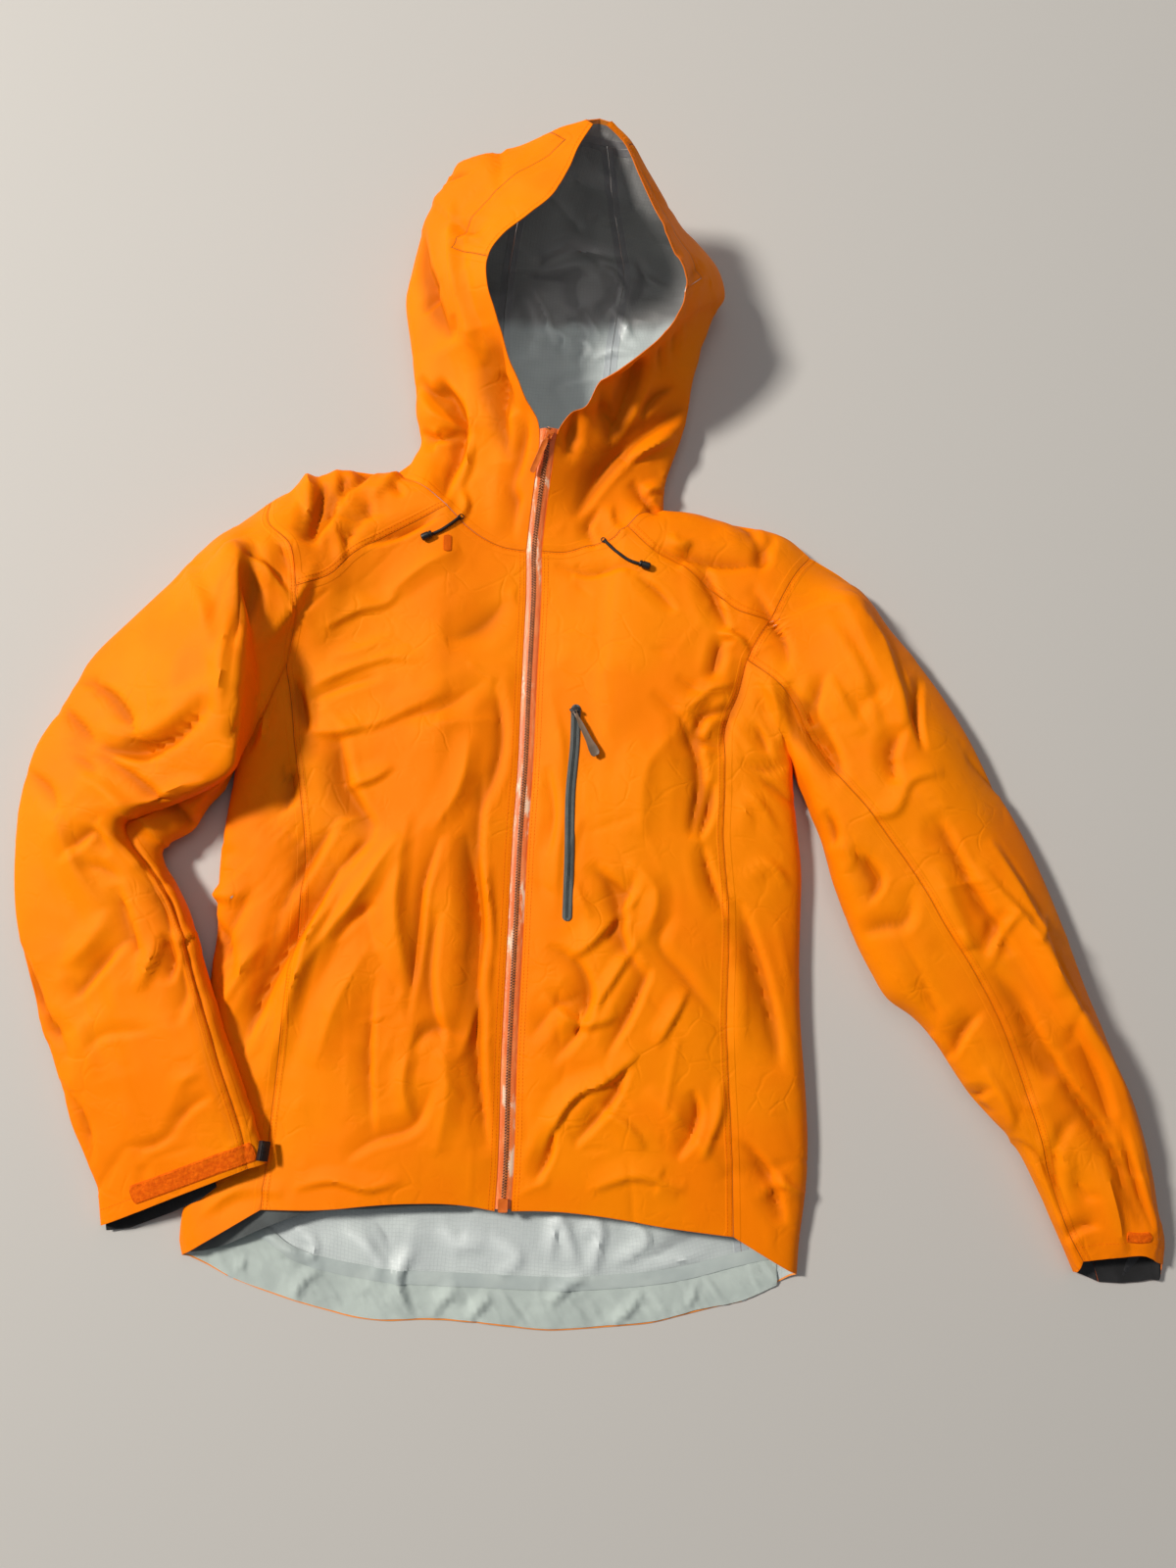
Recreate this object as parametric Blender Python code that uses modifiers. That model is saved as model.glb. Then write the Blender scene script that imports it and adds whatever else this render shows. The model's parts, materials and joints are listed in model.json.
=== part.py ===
"""Hooded shell jacket lying on its back, fronts up, as the thin sewn walls it is made of.

Axes: +X towards the wearer's left sleeve, +Y towards the hood, +Z up from the floor.
Tables give the lay of the garment in millimetres; lay_to_part() puts them in the part's
frame, in metres. "right" and "left" are the wearer's. Neighbouring pieces share one seam
curve, and each piece stops a little short of it.
"""
import math
from typing import NamedTuple

import bmesh
import bpy
import numpy as np
from mathutils import Matrix, Vector
from mathutils.bvhtree import BVHTree

# ---------------------------------------------------------------- driving sizes, millimetres
LAY_CENTRE = (1.0, -17.6)     # middle of the lay, which becomes the part's origin
CLOTH = 1.2                   # wall of every cloth piece
SEAM_GAP = 0.28               # each piece stops this far short of its seam curve
SHARP_SEAM_GAP = 0.75         # the same where two pieces meet at a steep angle
FLOOR = 0.5 * CLOTH           # mid-height of cloth that lies on the floor
LIFTED = FLOOR + 0.4          # mid-height of folded cloth that just clears the floor

ZIP_EDGE = 7.9                # centre of the zip to the edge of a front
TAPE_OUTER, TAPE_INNER = 7.3, 2.6
CHAIN_HALF, CHAIN_THICK = 2.0, 2.4
TRIM_GAP = 0.9                # clearance under flat trim laid on a faceted panel
CORD_DIAMETER = 3.0
FRONT_PUFF = 7.0              # how far the middle of each front stands above its borders
FACING_DEPTH_CUFF = 24.0
FACING_SHOWN_CUFF = 12.0      # how far the right cuff's facing shows beyond the edge

# samples along each seam; a panel's rows and columns follow from them
SIDE_ROWS, SLEEVE_ROWS = 17, 20
ARM_LOW, ARM_HIGH = 4, 4      # armhole below and above the yoke seam
YOKE_ROWS = 6
NECK_FRONT, NECK_BACK = 5, 7
HOOD_ROWS = 19
WRAP_COLUMNS = 7              # across a side panel, over its fold

# ---------------------------------------------------------------- the lay: x, y, z
ZIP_LINE = (                  # hem to the top of the collar
    (-69, -451, 20), (-67, -420, 21), (-64, -313, 24), (-59, -202, 26), (-55, -114, 28),
    (-51, -54, 28), (-48, 24, 28), (-46, 69, 28), (-44, 118, 28), (-44, 152, 30),
    (-41, 180, 34), (-37, 208, 44), (-32, 236, 57), (-29, 262, 69))

FRONT_HEM = {                 # zip to side seam
    "right": ((-77, -451, 20), (-102, -446, 22), (-167, -444, 25), (-232, -449, 26), (-284, -449, 24)),
    "left": ((-61, -451, 20), (-28, -451, 21), (23, -456, 22), (77, -465, 22), (136, -473, 21))}
BACK_HEM = (                  # right side seam to left side seam, on the floor
    (-315, -513), (-279, -526), (-235, -539), (-191, -549), (-125, -549), (-70, -554),
    (-34, -558), (26, -555), (69, -551), (104, -542), (148, -533))
SIDE_SEAM = {                 # front hem to the foot of the armhole
    "right": ((-284, -449, 24), (-281, -404, 19), (-275, -343, 21), (-268, -282, 23),
              (-261, -212, 25), (-255, -154, 26), (-255, -103, 27), (-261, -59, 28),
              (-267, -14, 29), (-274, 44, 32)),
    "left": ((136, -473, 21), (135, -390, 26), (133, -334, 28), (132, -290, 29),
             (135, -181, 30), (131, -118, 30), (134, -60, 31), (134, -20, 33),
             (145, 9, 34), (155, 47, 36))}
SIDE_SEAM_BACK = {            # back hem to the foot of the armhole, on the floor
    "right": ((-315, -513), (-290, -400), (-276, -250), (-264, -100), (-270, -10), (-274, 44)),
    "left": ((148, -533), (140, -400), (136, -200), (135, -60), (147, 5), (155, 47))}
TORSO_FOLD = {                # outer edge of the body, hem to armpit
    "right": ((-356, -491, 9), (-357, -448, 9), (-347, -423, 8), (-344, -380, 8),
              (-343, -319, 8), (-342, -257, 9), (-337, -217, 10), (-335, -176, 11),
              (-334, -140, 11), (-332, -112, 11), (-327, -80, 11), (-321, -39, 12)),
    "left": ((193, -508, 8), (196, -474, 10), (201, -439, 11), (203, -414, 11),
             (203, -336, 11), (201, -283, 11), (202, -212, 11), (204, -140, 11),
             (201, -99, 11), (199, -51, 11))}
ARMHOLE_LOW = {               # foot of the armhole to the yoke seam
    "right": ((-274, 44, 32), (-268, 68, 38), (-263, 94, 46), (-262, 113, 52)),
    "left": ((155, 47, 36), (166, 68, 38), (177, 84, 40))}
ARMHOLE_HIGH = {              # yoke seam to the shoulder fold
    "right": ((-262, 113, 52), (-265, 146, 58), (-290, 173, 46), (-297, 206, 20)),
    "left": ((177, 84, 40), (185, 100, 40), (195, 120, 38), (218, 149, 18))}
YOKE_SEAM = {                 # neck to armhole
    "right": ((-126, 195, 39), (-150, 183, 38), (-177, 169, 38), (-209, 150, 42),
              (-226, 130, 46), (-262, 113, 52)),
    "left": ((44, 176, 36), (67, 153, 38), (109, 128, 38), (142, 96, 39), (177, 84, 40))}
SHOULDER_FOLD = {             # neck to armhole, the top edge of the lay
    "right": ((-175, 231, 16), (-205, 235, 18), (-233, 236, 20), (-275, 218, 20), (-297, 206, 20)),
    "left": ((79, 194, 16), (101, 194, 16), (143, 183, 16), (195, 170, 16), (218, 149, 18))}
NECK_FRONT_SEAM = {           # zip to yoke seam
    "right": ((-52, 152, 30), (-62, 153, 30), (-81, 160, 31), (-99, 169, 33), (-126, 195, 39)),
    "left": ((-36, 152, 30), (-16, 152, 30), (7, 158, 31), (23, 161, 32), (44, 176, 36))}
NECK_SIDE_SEAM = {            # yoke seam over the shoulder fold to the back
    "right": ((-126, 195, 39), (-141, 209, 38), (-160, 222, 30), (-175, 231, 16),
              (-160, 224, 3), (-140, 214, 1), (-118, 202, 1)),
    "left": ((44, 176, 36), (56, 188, 35), (68, 194, 28), (79, 194, 16),
             (68, 193, 3), (54, 190, 1), (38, 186, 1))}
NECK_BACK_SEAM = ((-118, 202, 1), (-80, 192, 1), (-40, 188, 1), (0, 187, 1), (38, 186, 1))


class SleeveSection(NamedTuple):
    """One section across a sleeve; the ridge is the highest line of its upper side."""
    outer: tuple      # fold at the outer edge
    ridge: tuple
    seam: tuple       # seam with the underarm piece, on the upper side
    inner: tuple      # fold at the inner edge
    under: float      # mid-height of the lower side near the inner edge


SLEEVE = {            # shoulder to cuff
    "right": (
        SleeveSection((-330, 180, 20), (-298, 136, 68), (-287, 11, 34), (-319, -42, 14), 1),
        SleeveSection((-375, 135, 20), (-302, 79, 82), (-296, -5, 34), (-322, -47, 15), 1),
        SleeveSection((-420, 90, 20), (-304, 20, 88), (-304, -24, 34), (-324, -53, 16), 1),
        SleeveSection((-457, 52, 20), (-308, -23, 86), (-311, -42, 36), (-327, -62, 17), 1),
        SleeveSection((-482, 7, 20), (-312, -56, 80), (-319, -59, 40), (-333, -74, 17), 1),
        SleeveSection((-504, -28, 20), (-336, -73, 72), (-344, -77, 40), (-346, -88, 17), 1),
        SleeveSection((-516, -67, 20), (-377, -88, 66), (-381, -93, 38), (-361, -111, 17), 1),
        SleeveSection((-520, -109, 20), (-421, -101, 58), (-417, -109, 36), (-388, -129, 18), 1),
        SleeveSection((-519, -158, 20), (-423, -131, 50), (-398, -135, 40), (-380, -146, 20), 2),
        SleeveSection((-513, -203, 20), (-389, -164, 48), (-374, -166, 40), (-361, -177, 23), 6),
        SleeveSection((-502, -248, 20), (-371, -207, 47), (-357, -208, 41), (-348, -211, 25), 12),
        SleeveSection((-486, -293, 20), (-357, -251, 46), (-343, -252, 41), (-333, -252, 27), 19),
        SleeveSection((-468, -339, 19), (-342, -300, 45), (-328, -298, 41), (-318, -297, 28), 20),
        SleeveSection((-451, -391, 17), (-329, -345, 43), (-313, -341, 40), (-302, -339, 28), 20),
        SleeveSection((-436, -420, 15), (-314, -379, 40), (-301, -373, 38), (-290, -371, 28), 20),
        SleeveSection((-429, -465, 10), (-315, -420, 34), (-294, -412, 33), (-279, -408, 27), 20)),
    "left": (
        SleeveSection((252, 129, 14), (234, 101, 46), (177, 30, 40), (202, -62, 12), 1),
        SleeveSection((287, 85, 14), (259, 60, 50), (193, 10, 43), (207, -76, 13), 1),
        SleeveSection((318, 46, 14), (280, 14, 52), (206, -19, 45), (215, -98, 14), 1),
        SleeveSection((353, -6, 15), (300, -36, 52), (229, -56, 47), (224, -125, 15), 1),
        SleeveSection((383, -65, 15), (323, -89, 52), (257, -89, 48), (233, -163, 16), 1),
        SleeveSection((408, -113, 15), (353, -140, 52), (287, -132, 48), (247, -201, 16), 1),
        SleeveSection((429, -163, 15), (375, -173, 51), (307, -162, 47), (262, -234, 16), 1),
        SleeveSection((446, -212, 15), (396, -199, 50), (327, -199, 46), (280, -264, 15), 1),
        SleeveSection((458, -255, 15), (415, -231, 49), (349, -234, 44), (307, -284, 14), 1),
        SleeveSection((473, -297, 14), (434, -265, 48), (367, -268, 42), (327, -308, 13), 1),
        SleeveSection((491, -340, 14), (454, -298, 46), (382, -303, 40), (344, -338, 13), 1),
        SleeveSection((503, -379, 13), (471, -336, 43), (394, -341, 38), (365, -365, 12), 1),
        SleeveSection((512, -418, 13), (483, -379, 39), (407, -380, 34), (388, -390, 12), 1),
        SleeveSection((517, -452, 12), (491, -422, 35), (417, -423, 30), (408, -427, 12), 1),
        SleeveSection((522, -475, 12), (498, -456, 30), (430, -462, 25), (424, -463, 11), 1),
        SleeveSection((521, -499, 9), (495, -488, 26), (446, -494, 20), (442, -506, 7), 1))}
CUFF_UNDER = {                # how the edge of a cuff's lower side runs, where it reaches beyond the upper one
    "right": (), "left": ((450, -514), (470, -517), (497, -517), (518, -513))}


class HoodSection(NamedTuple):
    """One section across the hood, from rim to rim round the back; the crown is its middle."""
    rim_right: tuple
    outer_right: tuple
    crown: tuple
    rim_left: tuple
    outer_left: tuple


HOOD = (              # neck to peak
    HoodSection((-45, 208, 44), (-153, 263, 16), (-27, 224, 1), (-29, 208, 44), (82, 228, 16)),
    HoodSection((-40, 236, 57), (-156, 288, 16), (-27, 259, 1), (-24, 236, 57), (92, 256, 16)),
    HoodSection((-37, 262, 69), (-158, 314, 18), (-27, 294, 1), (-21, 262, 69), (102, 287, 18)),
    HoodSection((-44, 270, 71), (-160, 333, 19), (-25, 312, 1), (-4, 265, 71), (104, 302, 19)),
    HoodSection((-54, 293, 78), (-164, 366, 20), (-22, 345, 1), (12, 290, 78), (108, 326, 20)),
    HoodSection((-69, 326, 88), (-168, 399, 24), (-20, 391, 1), (43, 310, 88), (117, 364, 24)),
    HoodSection((-79, 361, 98), (-166, 417, 28), (-17, 433, 1), (75, 336, 92), (129, 394, 28)),
    HoodSection((-85, 397, 105), (-161, 438, 32), (-15, 471, 1), (96, 367, 100), (137, 420, 32)),
    HoodSection((-80, 412, 108), (-154, 464, 38), (-12, 480, 16), (98, 382, 106), (123, 440, 38)),
    HoodSection((-55, 433, 114), (-141, 491, 48), (-7, 490, 40), (87, 400, 112), (101, 454, 52)),
    HoodSection((-28, 451, 120), (-117, 520, 62), (-2, 497, 62), (72, 432, 118), (84, 462, 80)),
    HoodSection((-11, 474, 125), (-62, 522, 84), (4, 506, 82), (55, 466, 124), (66, 480, 102)),
    HoodSection((0, 498, 128), (-25, 522, 108), (10, 515, 109), (39, 500, 129), (46, 507, 118)),
    HoodSection((12, 515, 131), (6, 521, 128), (17, 523, 127), (23, 515, 131), (28, 520, 128)))
BRIM_FROM_ROW = 0.62          # share of the hood's rows where the brim piece starts
BRIM_COLUMNS = 2              # then 4 in the row before the peak, and all of them at the peak

FACING_TOP = (                # upper edge of the facing inside the back hem
    (-293, -470), (-258, -491), (-192, -508), (-99, -514), (7, -517), (95, -508), (140, -497))

FRONT_FOLDS = {               # x0, y0, x1, y1, half width, height (a hollow is negative)
    "right": ((-185, -112, -262, -250, 22, -8), (-135, -250, -130, -400, 18, -4),
              (-262, 40, -165, 75, 16, 4), (-95, -130, -92, -330, 14, -6)),
    "left": ((95, 0, 120, -110, 18, 5), (20, -230, -25, -370, 18, -5),
             (60, -200, 15, -330, 16, 5), (105, -290, 90, -420, 16, -5))}

SLIDER_SIZE = (9.0, 11.0, 2.2)          # width, length, thickness of the main zip's slider plate
POCKET_SLIDER_SIZE = (8.0, 10.0, 2.0)
AXIS_ABOVE_PLATE = 1.3                  # pull's axis above the top of the slider's plate
LUG_THICK, EYE_RADIUS, EYE_LENGTH = 1.2, 1.1, 4.4
ZIP_PULL_OUTLINE = ((0.0, 1.9), (4.0, 1.9), (7.0, 2.7), (34.0, 2.7), (36.0, 1.7))
POCKET_PULL_OUTLINE = ((0.0, 1.7), (6.0, 1.8), (14.0, 2.4), (30.0, 3.0), (38.0, 4.3), (43.0, 4.3),
                       (45.5, 2.8))
POCKET_ZIP = ((-4, 5), (-5, -31), (-9, -76), (-10, -136), (-12, -194))
POCKET_ZIP_WIDTH = 8.0
POCKET_PULL = ((-1.5, -9), (19, -51))
ZIP_PULL = ((-33.0, 247.0), (-47.0, 214.0))
CORD_ROUTE = {
    "right": ((-113, 184), (-121, 177), (-131, 170), (-140, 166)),
    "left": ((22, 163), (34, 150), (46, 141), (56, 137))}
CORD_END_SIZE = (11.0, 7.0)   # length, diameter
KEEPER = ((-125, 166), (-125, 150))
CUFF_PATCH = {                # centre line along the cuff, then width
    "right": (((-398, -436), (-360, -422), (-320, -407), (-288, -396)), 17.0),
    "left": (((482, -471), (494, -472), (504, -471)), 9.0)}
CUFF_TAB_END = (-283, -397)
CUFF_TAB_SIZE = (9.0, 17.0, 5.0)


class Finish(NamedTuple):
    """Colour (linear RGB), roughness and metallic value of a material."""
    colour: tuple
    roughness: float
    metallic: float = 0.0


SHELL = Finish((1.0, 0.27, 0.006), 0.62)
TAPE = Finish((0.72, 0.19, 0.05), 0.35)
SLATE = Finish((0.10, 0.12, 0.135), 0.45)
BLACK = Finish((0.008, 0.008, 0.009), 0.5)
FACING = Finish((0.36, 0.42, 0.40), 0.6)
HOOK = Finish((0.80, 0.22, 0.03), 0.9)

LAID_OUT = []                 # (middle surface, polygons) of the pieces that trim lies on


# ---------------------------------------------------------------- curves and grids
def through(knots, values, at):
    """Smooth curve through values at knots, read at the places `at`."""
    knots, values, at = (np.asarray(item, dtype=float) for item in (knots, values, at))
    gaps = np.diff(knots)
    slopes = np.diff(values, axis=0) / gaps[:, None]
    inner = slopes[:-1] * gaps[1:, None] + slopes[1:] * gaps[:-1, None]
    inner /= (gaps[1:] + gaps[:-1])[:, None]
    tangents = np.vstack([slopes[:1], inner, slopes[-1:]])
    span = np.clip(np.searchsorted(knots, at, side="right") - 1, 0, len(gaps) - 1)
    t = ((at - knots[span]) / gaps[span])[:, None]
    width = gaps[span][:, None]
    return ((2 * t**3 - 3 * t**2 + 1) * values[span] + (t**3 - 2 * t**2 + t) * width * tangents[span]
            + (3 * t**2 - 2 * t**3) * values[span + 1] + (t**3 - t**2) * width * tangents[span + 1])


def chords(values):
    """Running straight-line length along the rows of a table."""
    steps = np.linalg.norm(np.diff(np.asarray(values, dtype=float), axis=0), axis=1)
    return np.concatenate([[0.0], np.cumsum(steps)])


def curve(table, count):
    """The table's smooth curve as `count` points, evenly spaced along it."""
    knots = chords(table)
    fine = through(knots, table, np.linspace(0, knots[-1], 40 * len(table)))
    reach = chords(fine)
    even = np.linspace(0, reach[-1], count)
    return np.stack([np.interp(even, reach, fine[:, axis]) for axis in range(fine.shape[1])], axis=1)


def on_floor(table, height=FLOOR):
    """A plan table with one height added."""
    return [(x, y, height) for x, y in table]


def join(*curves):
    """Curves end to end, with each shared point once."""
    return np.vstack([curves[0]] + [piece[1:] for piece in curves[1:]])


def patch(bottom, top, near, far):
    """Grid between four border curves: near and far run from bottom to top."""
    u = np.linspace(0, 1, len(bottom))[None, :, None]
    v = np.linspace(0, 1, len(near))[:, None, None]
    across = (1 - v) * bottom[None] + v * top[None]
    along = (1 - u) * near[:, None] + u * far[:, None]
    corners = ((1 - v) * ((1 - u) * bottom[0] + u * bottom[-1]) + v * ((1 - u) * top[0] + u * top[-1]))
    return across + along - corners


def wrap(start, fold, end, columns):
    """Row of points from start over a flat fold and back under to end."""
    half = columns // 2
    row = []
    for step in range(columns):
        if step <= half:
            turn, base = 0.5 * math.pi * step / half, start
        else:
            turn, base = 0.5 * math.pi * (columns - 1 - step) / half, end
        reach = math.sin(turn)
        height = fold[2] + (base[2] - fold[2]) * math.cos(turn) ** 0.8
        row.append((base[0] + (fold[0] - base[0]) * reach, base[1] + (fold[1] - base[1]) * reach, height))
    return np.array(row)


def lay_to_part(points):
    """Millimetres of the lay as metres in the part's frame."""
    moved = np.array(points, dtype=float)
    moved[..., 0] -= LAY_CENTRE[0]
    moved[..., 1] -= LAY_CENTRE[1]
    return moved * 0.001


# ---------------------------------------------------------------- objects
def fresh_scene():
    """Empty the scene and make the garment's collection."""
    for item in list(bpy.data.objects):
        bpy.data.objects.remove(item, do_unlink=True)
    garment = bpy.data.collections.new("shell_jacket")
    bpy.context.scene.collection.children.link(garment)
    return garment


def finish_for(name, finish):
    """A Principled material of its own for one piece."""
    material = bpy.data.materials.new(name)
    material.use_nodes = True
    shader = material.node_tree.nodes["Principled BSDF"]
    shader.inputs["Base Color"].default_value = (*finish.colour, 1.0)
    shader.inputs["Roughness"].default_value = finish.roughness
    shader.inputs["Metallic"].default_value = finish.metallic
    return material


def add_object(name, data, finish):
    """Put mesh or curve data in the garment's collection under its piece's name."""
    item = bpy.data.objects.new(name, data)
    item.data.materials.append(finish_for(name, finish))
    bpy.data.collections["shell_jacket"].objects.link(item)
    return item


def draw_in_border(mesh, gap):
    """Move a sheet's border inwards in its own plane by gap."""
    shift = {}
    for edge in mesh.edges:
        if len(edge.link_faces) != 1:
            continue
        face = edge.link_faces[0]
        along = (edge.verts[1].co - edge.verts[0].co).normalized()
        inward = face.normal.cross(along)
        if inward.dot(face.calc_center_median() - edge.verts[0].co) < 0:
            inward.negate()
        for vertex in edge.verts:
            shift.setdefault(vertex, []).append(inward)
    for vertex, sides in shift.items():
        total = sum(sides, Vector())
        spread = 1.0 + sides[0].dot(sides[-1]) if len(sides) > 1 else 1.0
        vertex.co += total * gap / max(spread, 0.6)


def sheet(name, grid, finish=SHELL, thickness=CLOTH, cells=None, gap=SEAM_GAP, even=True):
    """A cloth piece: the middle surface given by a grid of points, thickened by Solidify.

    cells(row, column) says which cells of the grid belong to the piece; all do if it is None.
    even keeps the wall's thickness at sharp folds.
    """
    points = lay_to_part(grid)
    rows, columns = points.shape[:2]
    mesh = bmesh.new()
    made = {}

    def corner(row, column):
        if (row, column) not in made:
            made[row, column] = mesh.verts.new(points[row, column])
        return made[row, column]

    for row in range(rows - 1):
        for column in range(columns - 1):
            if cells is None or cells(row, column):
                mesh.faces.new((corner(row, column), corner(row, column + 1),
                                corner(row + 1, column + 1), corner(row + 1, column)))
    mesh.normal_update()
    draw_in_border(mesh, gap * 0.001)
    mesh.normal_update()
    data = bpy.data.meshes.new(name)
    mesh.to_mesh(data)
    mesh.free()
    item = add_object(name, data, finish)
    wall = item.modifiers.new("wall", "SOLIDIFY")
    wall.thickness = thickness * 0.001
    wall.offset = 0.0
    wall.use_even_offset = even
    return item


def remember(grid):
    """Keep a laid-out middle surface, so that trim can be placed on it."""
    rows, columns = grid.shape[:2]
    quads = [(r * columns + c, r * columns + c + 1, (r + 1) * columns + c + 1, (r + 1) * columns + c)
             for r in range(rows - 1) for c in range(columns - 1)]
    LAID_OUT.append(BVHTree.FromPolygons([tuple(p) for p in grid.reshape(-1, 3)], quads))


def top_at(x, y):
    """Highest cloth under a point of the plan, and its normal there."""
    best = None
    for tree in LAID_OUT:
        spot, normal, _, _ = tree.ray_cast(Vector((x, y, 300.0)), Vector((0, 0, -1)))
        if spot is not None and (best is None or spot.z > best[0].z):
            best = (spot, normal if normal.z > 0 else -normal)
    return best


def ribbon_on_cloth(table, width, thickness, count, lanes=3):
    """Grid of a flat strip that follows the cloth under a plan line."""
    line = curve(table, count)
    lift = 0.5 * CLOTH + TRIM_GAP + 0.5 * thickness
    headings = np.gradient(line, axis=0)
    rows = []
    for place, heading in zip(line, headings):
        side = np.array((-heading[1], heading[0])) / np.linalg.norm(heading)
        spots = [top_at(*(place[:2] + side * width * share)) for share in np.linspace(-0.5, 0.5, lanes)]
        rows.append([tuple(spot + normal * lift) for spot, normal in spots])
    return np.array(rows)


# ---------------------------------------------------------------- cloth pieces
def armhole(side, low=True, high=True):
    """Armhole curve on the upper side, foot to shoulder fold."""
    pieces = []
    if low:
        pieces.append(curve(ARMHOLE_LOW[side], ARM_LOW))
    if high:
        pieces.append(curve(ARMHOLE_HIGH[side], ARM_HIGH))
    return join(*pieces)


def flatten(points, keep_last=False):
    """The same plan on the floor; the last point may keep its height, at a fold."""
    flat = points.copy()
    flat[:, 2] = FLOOR
    if keep_last:
        flat[-1] = points[-1]
        flat[-2, 2] = LIFTED + 0.5
    return flat


def fold_heights(side, x, y):
    """Height of the largest folds of a front at a point of the plan."""
    total = 0.0
    for x0, y0, x1, y1, half_width, height in FRONT_FOLDS[side]:
        along = np.array((x1 - x0, y1 - y0), dtype=float)
        share = np.clip(np.dot((x - x0, y - y0), along) / along.dot(along), 0.0, 1.0)
        apart = math.hypot(x - x0 - share * along[0], y - y0 - share * along[1])
        total += height * math.exp(-(apart / half_width) ** 2)
    return total


def zip_edge(side, count, start=0.0, end=1.0):
    """Edge of a front or of the collar beside the zip, hem to top."""
    offset = -ZIP_EDGE if side == "right" else ZIP_EDGE
    line = curve(ZIP_LINE, 200)
    reach = chords(line)
    even = np.linspace(start * reach[-1], end * reach[-1], count)
    points = np.stack([np.interp(even, reach, line[:, axis]) for axis in range(3)], axis=1)
    points[:, 0] += offset
    return points


def neck_share():
    """Share of the zip's length that lies below the neck seam."""
    line = curve(ZIP_LINE, 400)
    return chords(line)[np.argmin(abs(line[:, 1] - 152.0))] / chords(line)[-1]


def neck_front(side):
    """Front neck seam, zip to yoke seam, starting exactly at the zip edge."""
    seam = curve(NECK_FRONT_SEAM[side], NECK_FRONT)
    seam[0] = zip_edge(side, 2, 0.0, neck_share())[-1]
    return seam


def make_front(side):
    """A front: hem, side seam, lower armhole, yoke seam, neck seam and zip."""
    hem = curve(FRONT_HEM[side], NECK_FRONT + YOKE_ROWS - 1)
    top = join(neck_front(side), curve(YOKE_SEAM[side], YOKE_ROWS))
    far = join(curve(SIDE_SEAM[side], SIDE_ROWS), armhole(side, high=False))
    near = zip_edge(side, len(far), 0.0, neck_share())
    hem[0] = near[0]
    grid = patch(hem, top, near, far)
    rows, columns = grid.shape[:2]
    for row in range(rows):
        for column in range(columns):
            u, v = column / (columns - 1), row / (rows - 1)
            window = (math.sin(math.pi * u) * math.sin(math.pi * v)) ** 0.5 if 0 < v < 1 else 0.0
            x, y = grid[row, column, :2]
            grid[row, column, 2] += window * (FRONT_PUFF + fold_heights(side, x, y))
    remember(grid)
    return sheet(f"front_{side}", grid)


def make_back():
    """The back: one flat piece on the floor."""
    hem = curve(on_floor(BACK_HEM), 2 * YOKE_ROWS + NECK_BACK - 2)
    sides = [join(curve(on_floor(SIDE_SEAM_BACK[side]), SIDE_ROWS), flatten(armhole(side, high=False)))
             for side in ("right", "left")]
    yokes = [flatten(curve(YOKE_SEAM[side], YOKE_ROWS)) for side in ("right", "left")]
    neck = flatten(curve(NECK_BACK_SEAM, NECK_BACK))
    yokes[0][0], yokes[1][0] = neck[0], neck[-1]
    top = join(yokes[0][::-1], neck, yokes[1])
    grid = patch(hem, top, sides[0], sides[1])
    grid[..., 2] = FLOOR
    return sheet("back", grid)


def sleeve_lines(side):
    """Every sleeve line at the same rows: outer, ridge, seam, inner, under height."""
    foot, shoulder = armhole(side)[0], armhole(side)[-1]
    armpit = TORSO_FOLD[side][-1]
    middle = armhole(side)[ARM_LOW - 1]
    lines = {"outer": [shoulder], "ridge": [middle], "seam": [foot], "inner": [armpit]}
    under = [FLOOR]
    for section in SLEEVE[side]:
        for name in lines:
            lines[name].append(getattr(section, name))
        under.append(max(section.under, LIFTED))
    knots = 0.5 * (chords(lines["outer"]) + chords(lines["inner"]))
    rows = np.linspace(0, knots[-1], SLEEVE_ROWS)
    read = {name: through(knots, values, rows) for name, values in lines.items()}
    read["under"] = np.interp(rows, knots, under)
    return read


def back_seam_of_sleeve(side, lines):
    """Seam on the sleeve's lower side, from the foot of the armhole to the cuff."""
    seam = lines["inner"] + 0.30 * (lines["outer"] - lines["inner"])
    seam[:, 2] = lines["under"]
    foot = armhole(side)[0]
    for row in range(4):
        share = (row / 4.0) ** 0.8
        seam[row, :2] = (1 - share) * foot[:2] + share * seam[row, :2]
    seam[0, 2] = FLOOR
    if CUFF_UNDER[side]:
        seam[-1, 1] = np.interp(seam[-1, 0], *zip(*CUFF_UNDER[side]))
    return seam


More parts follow.
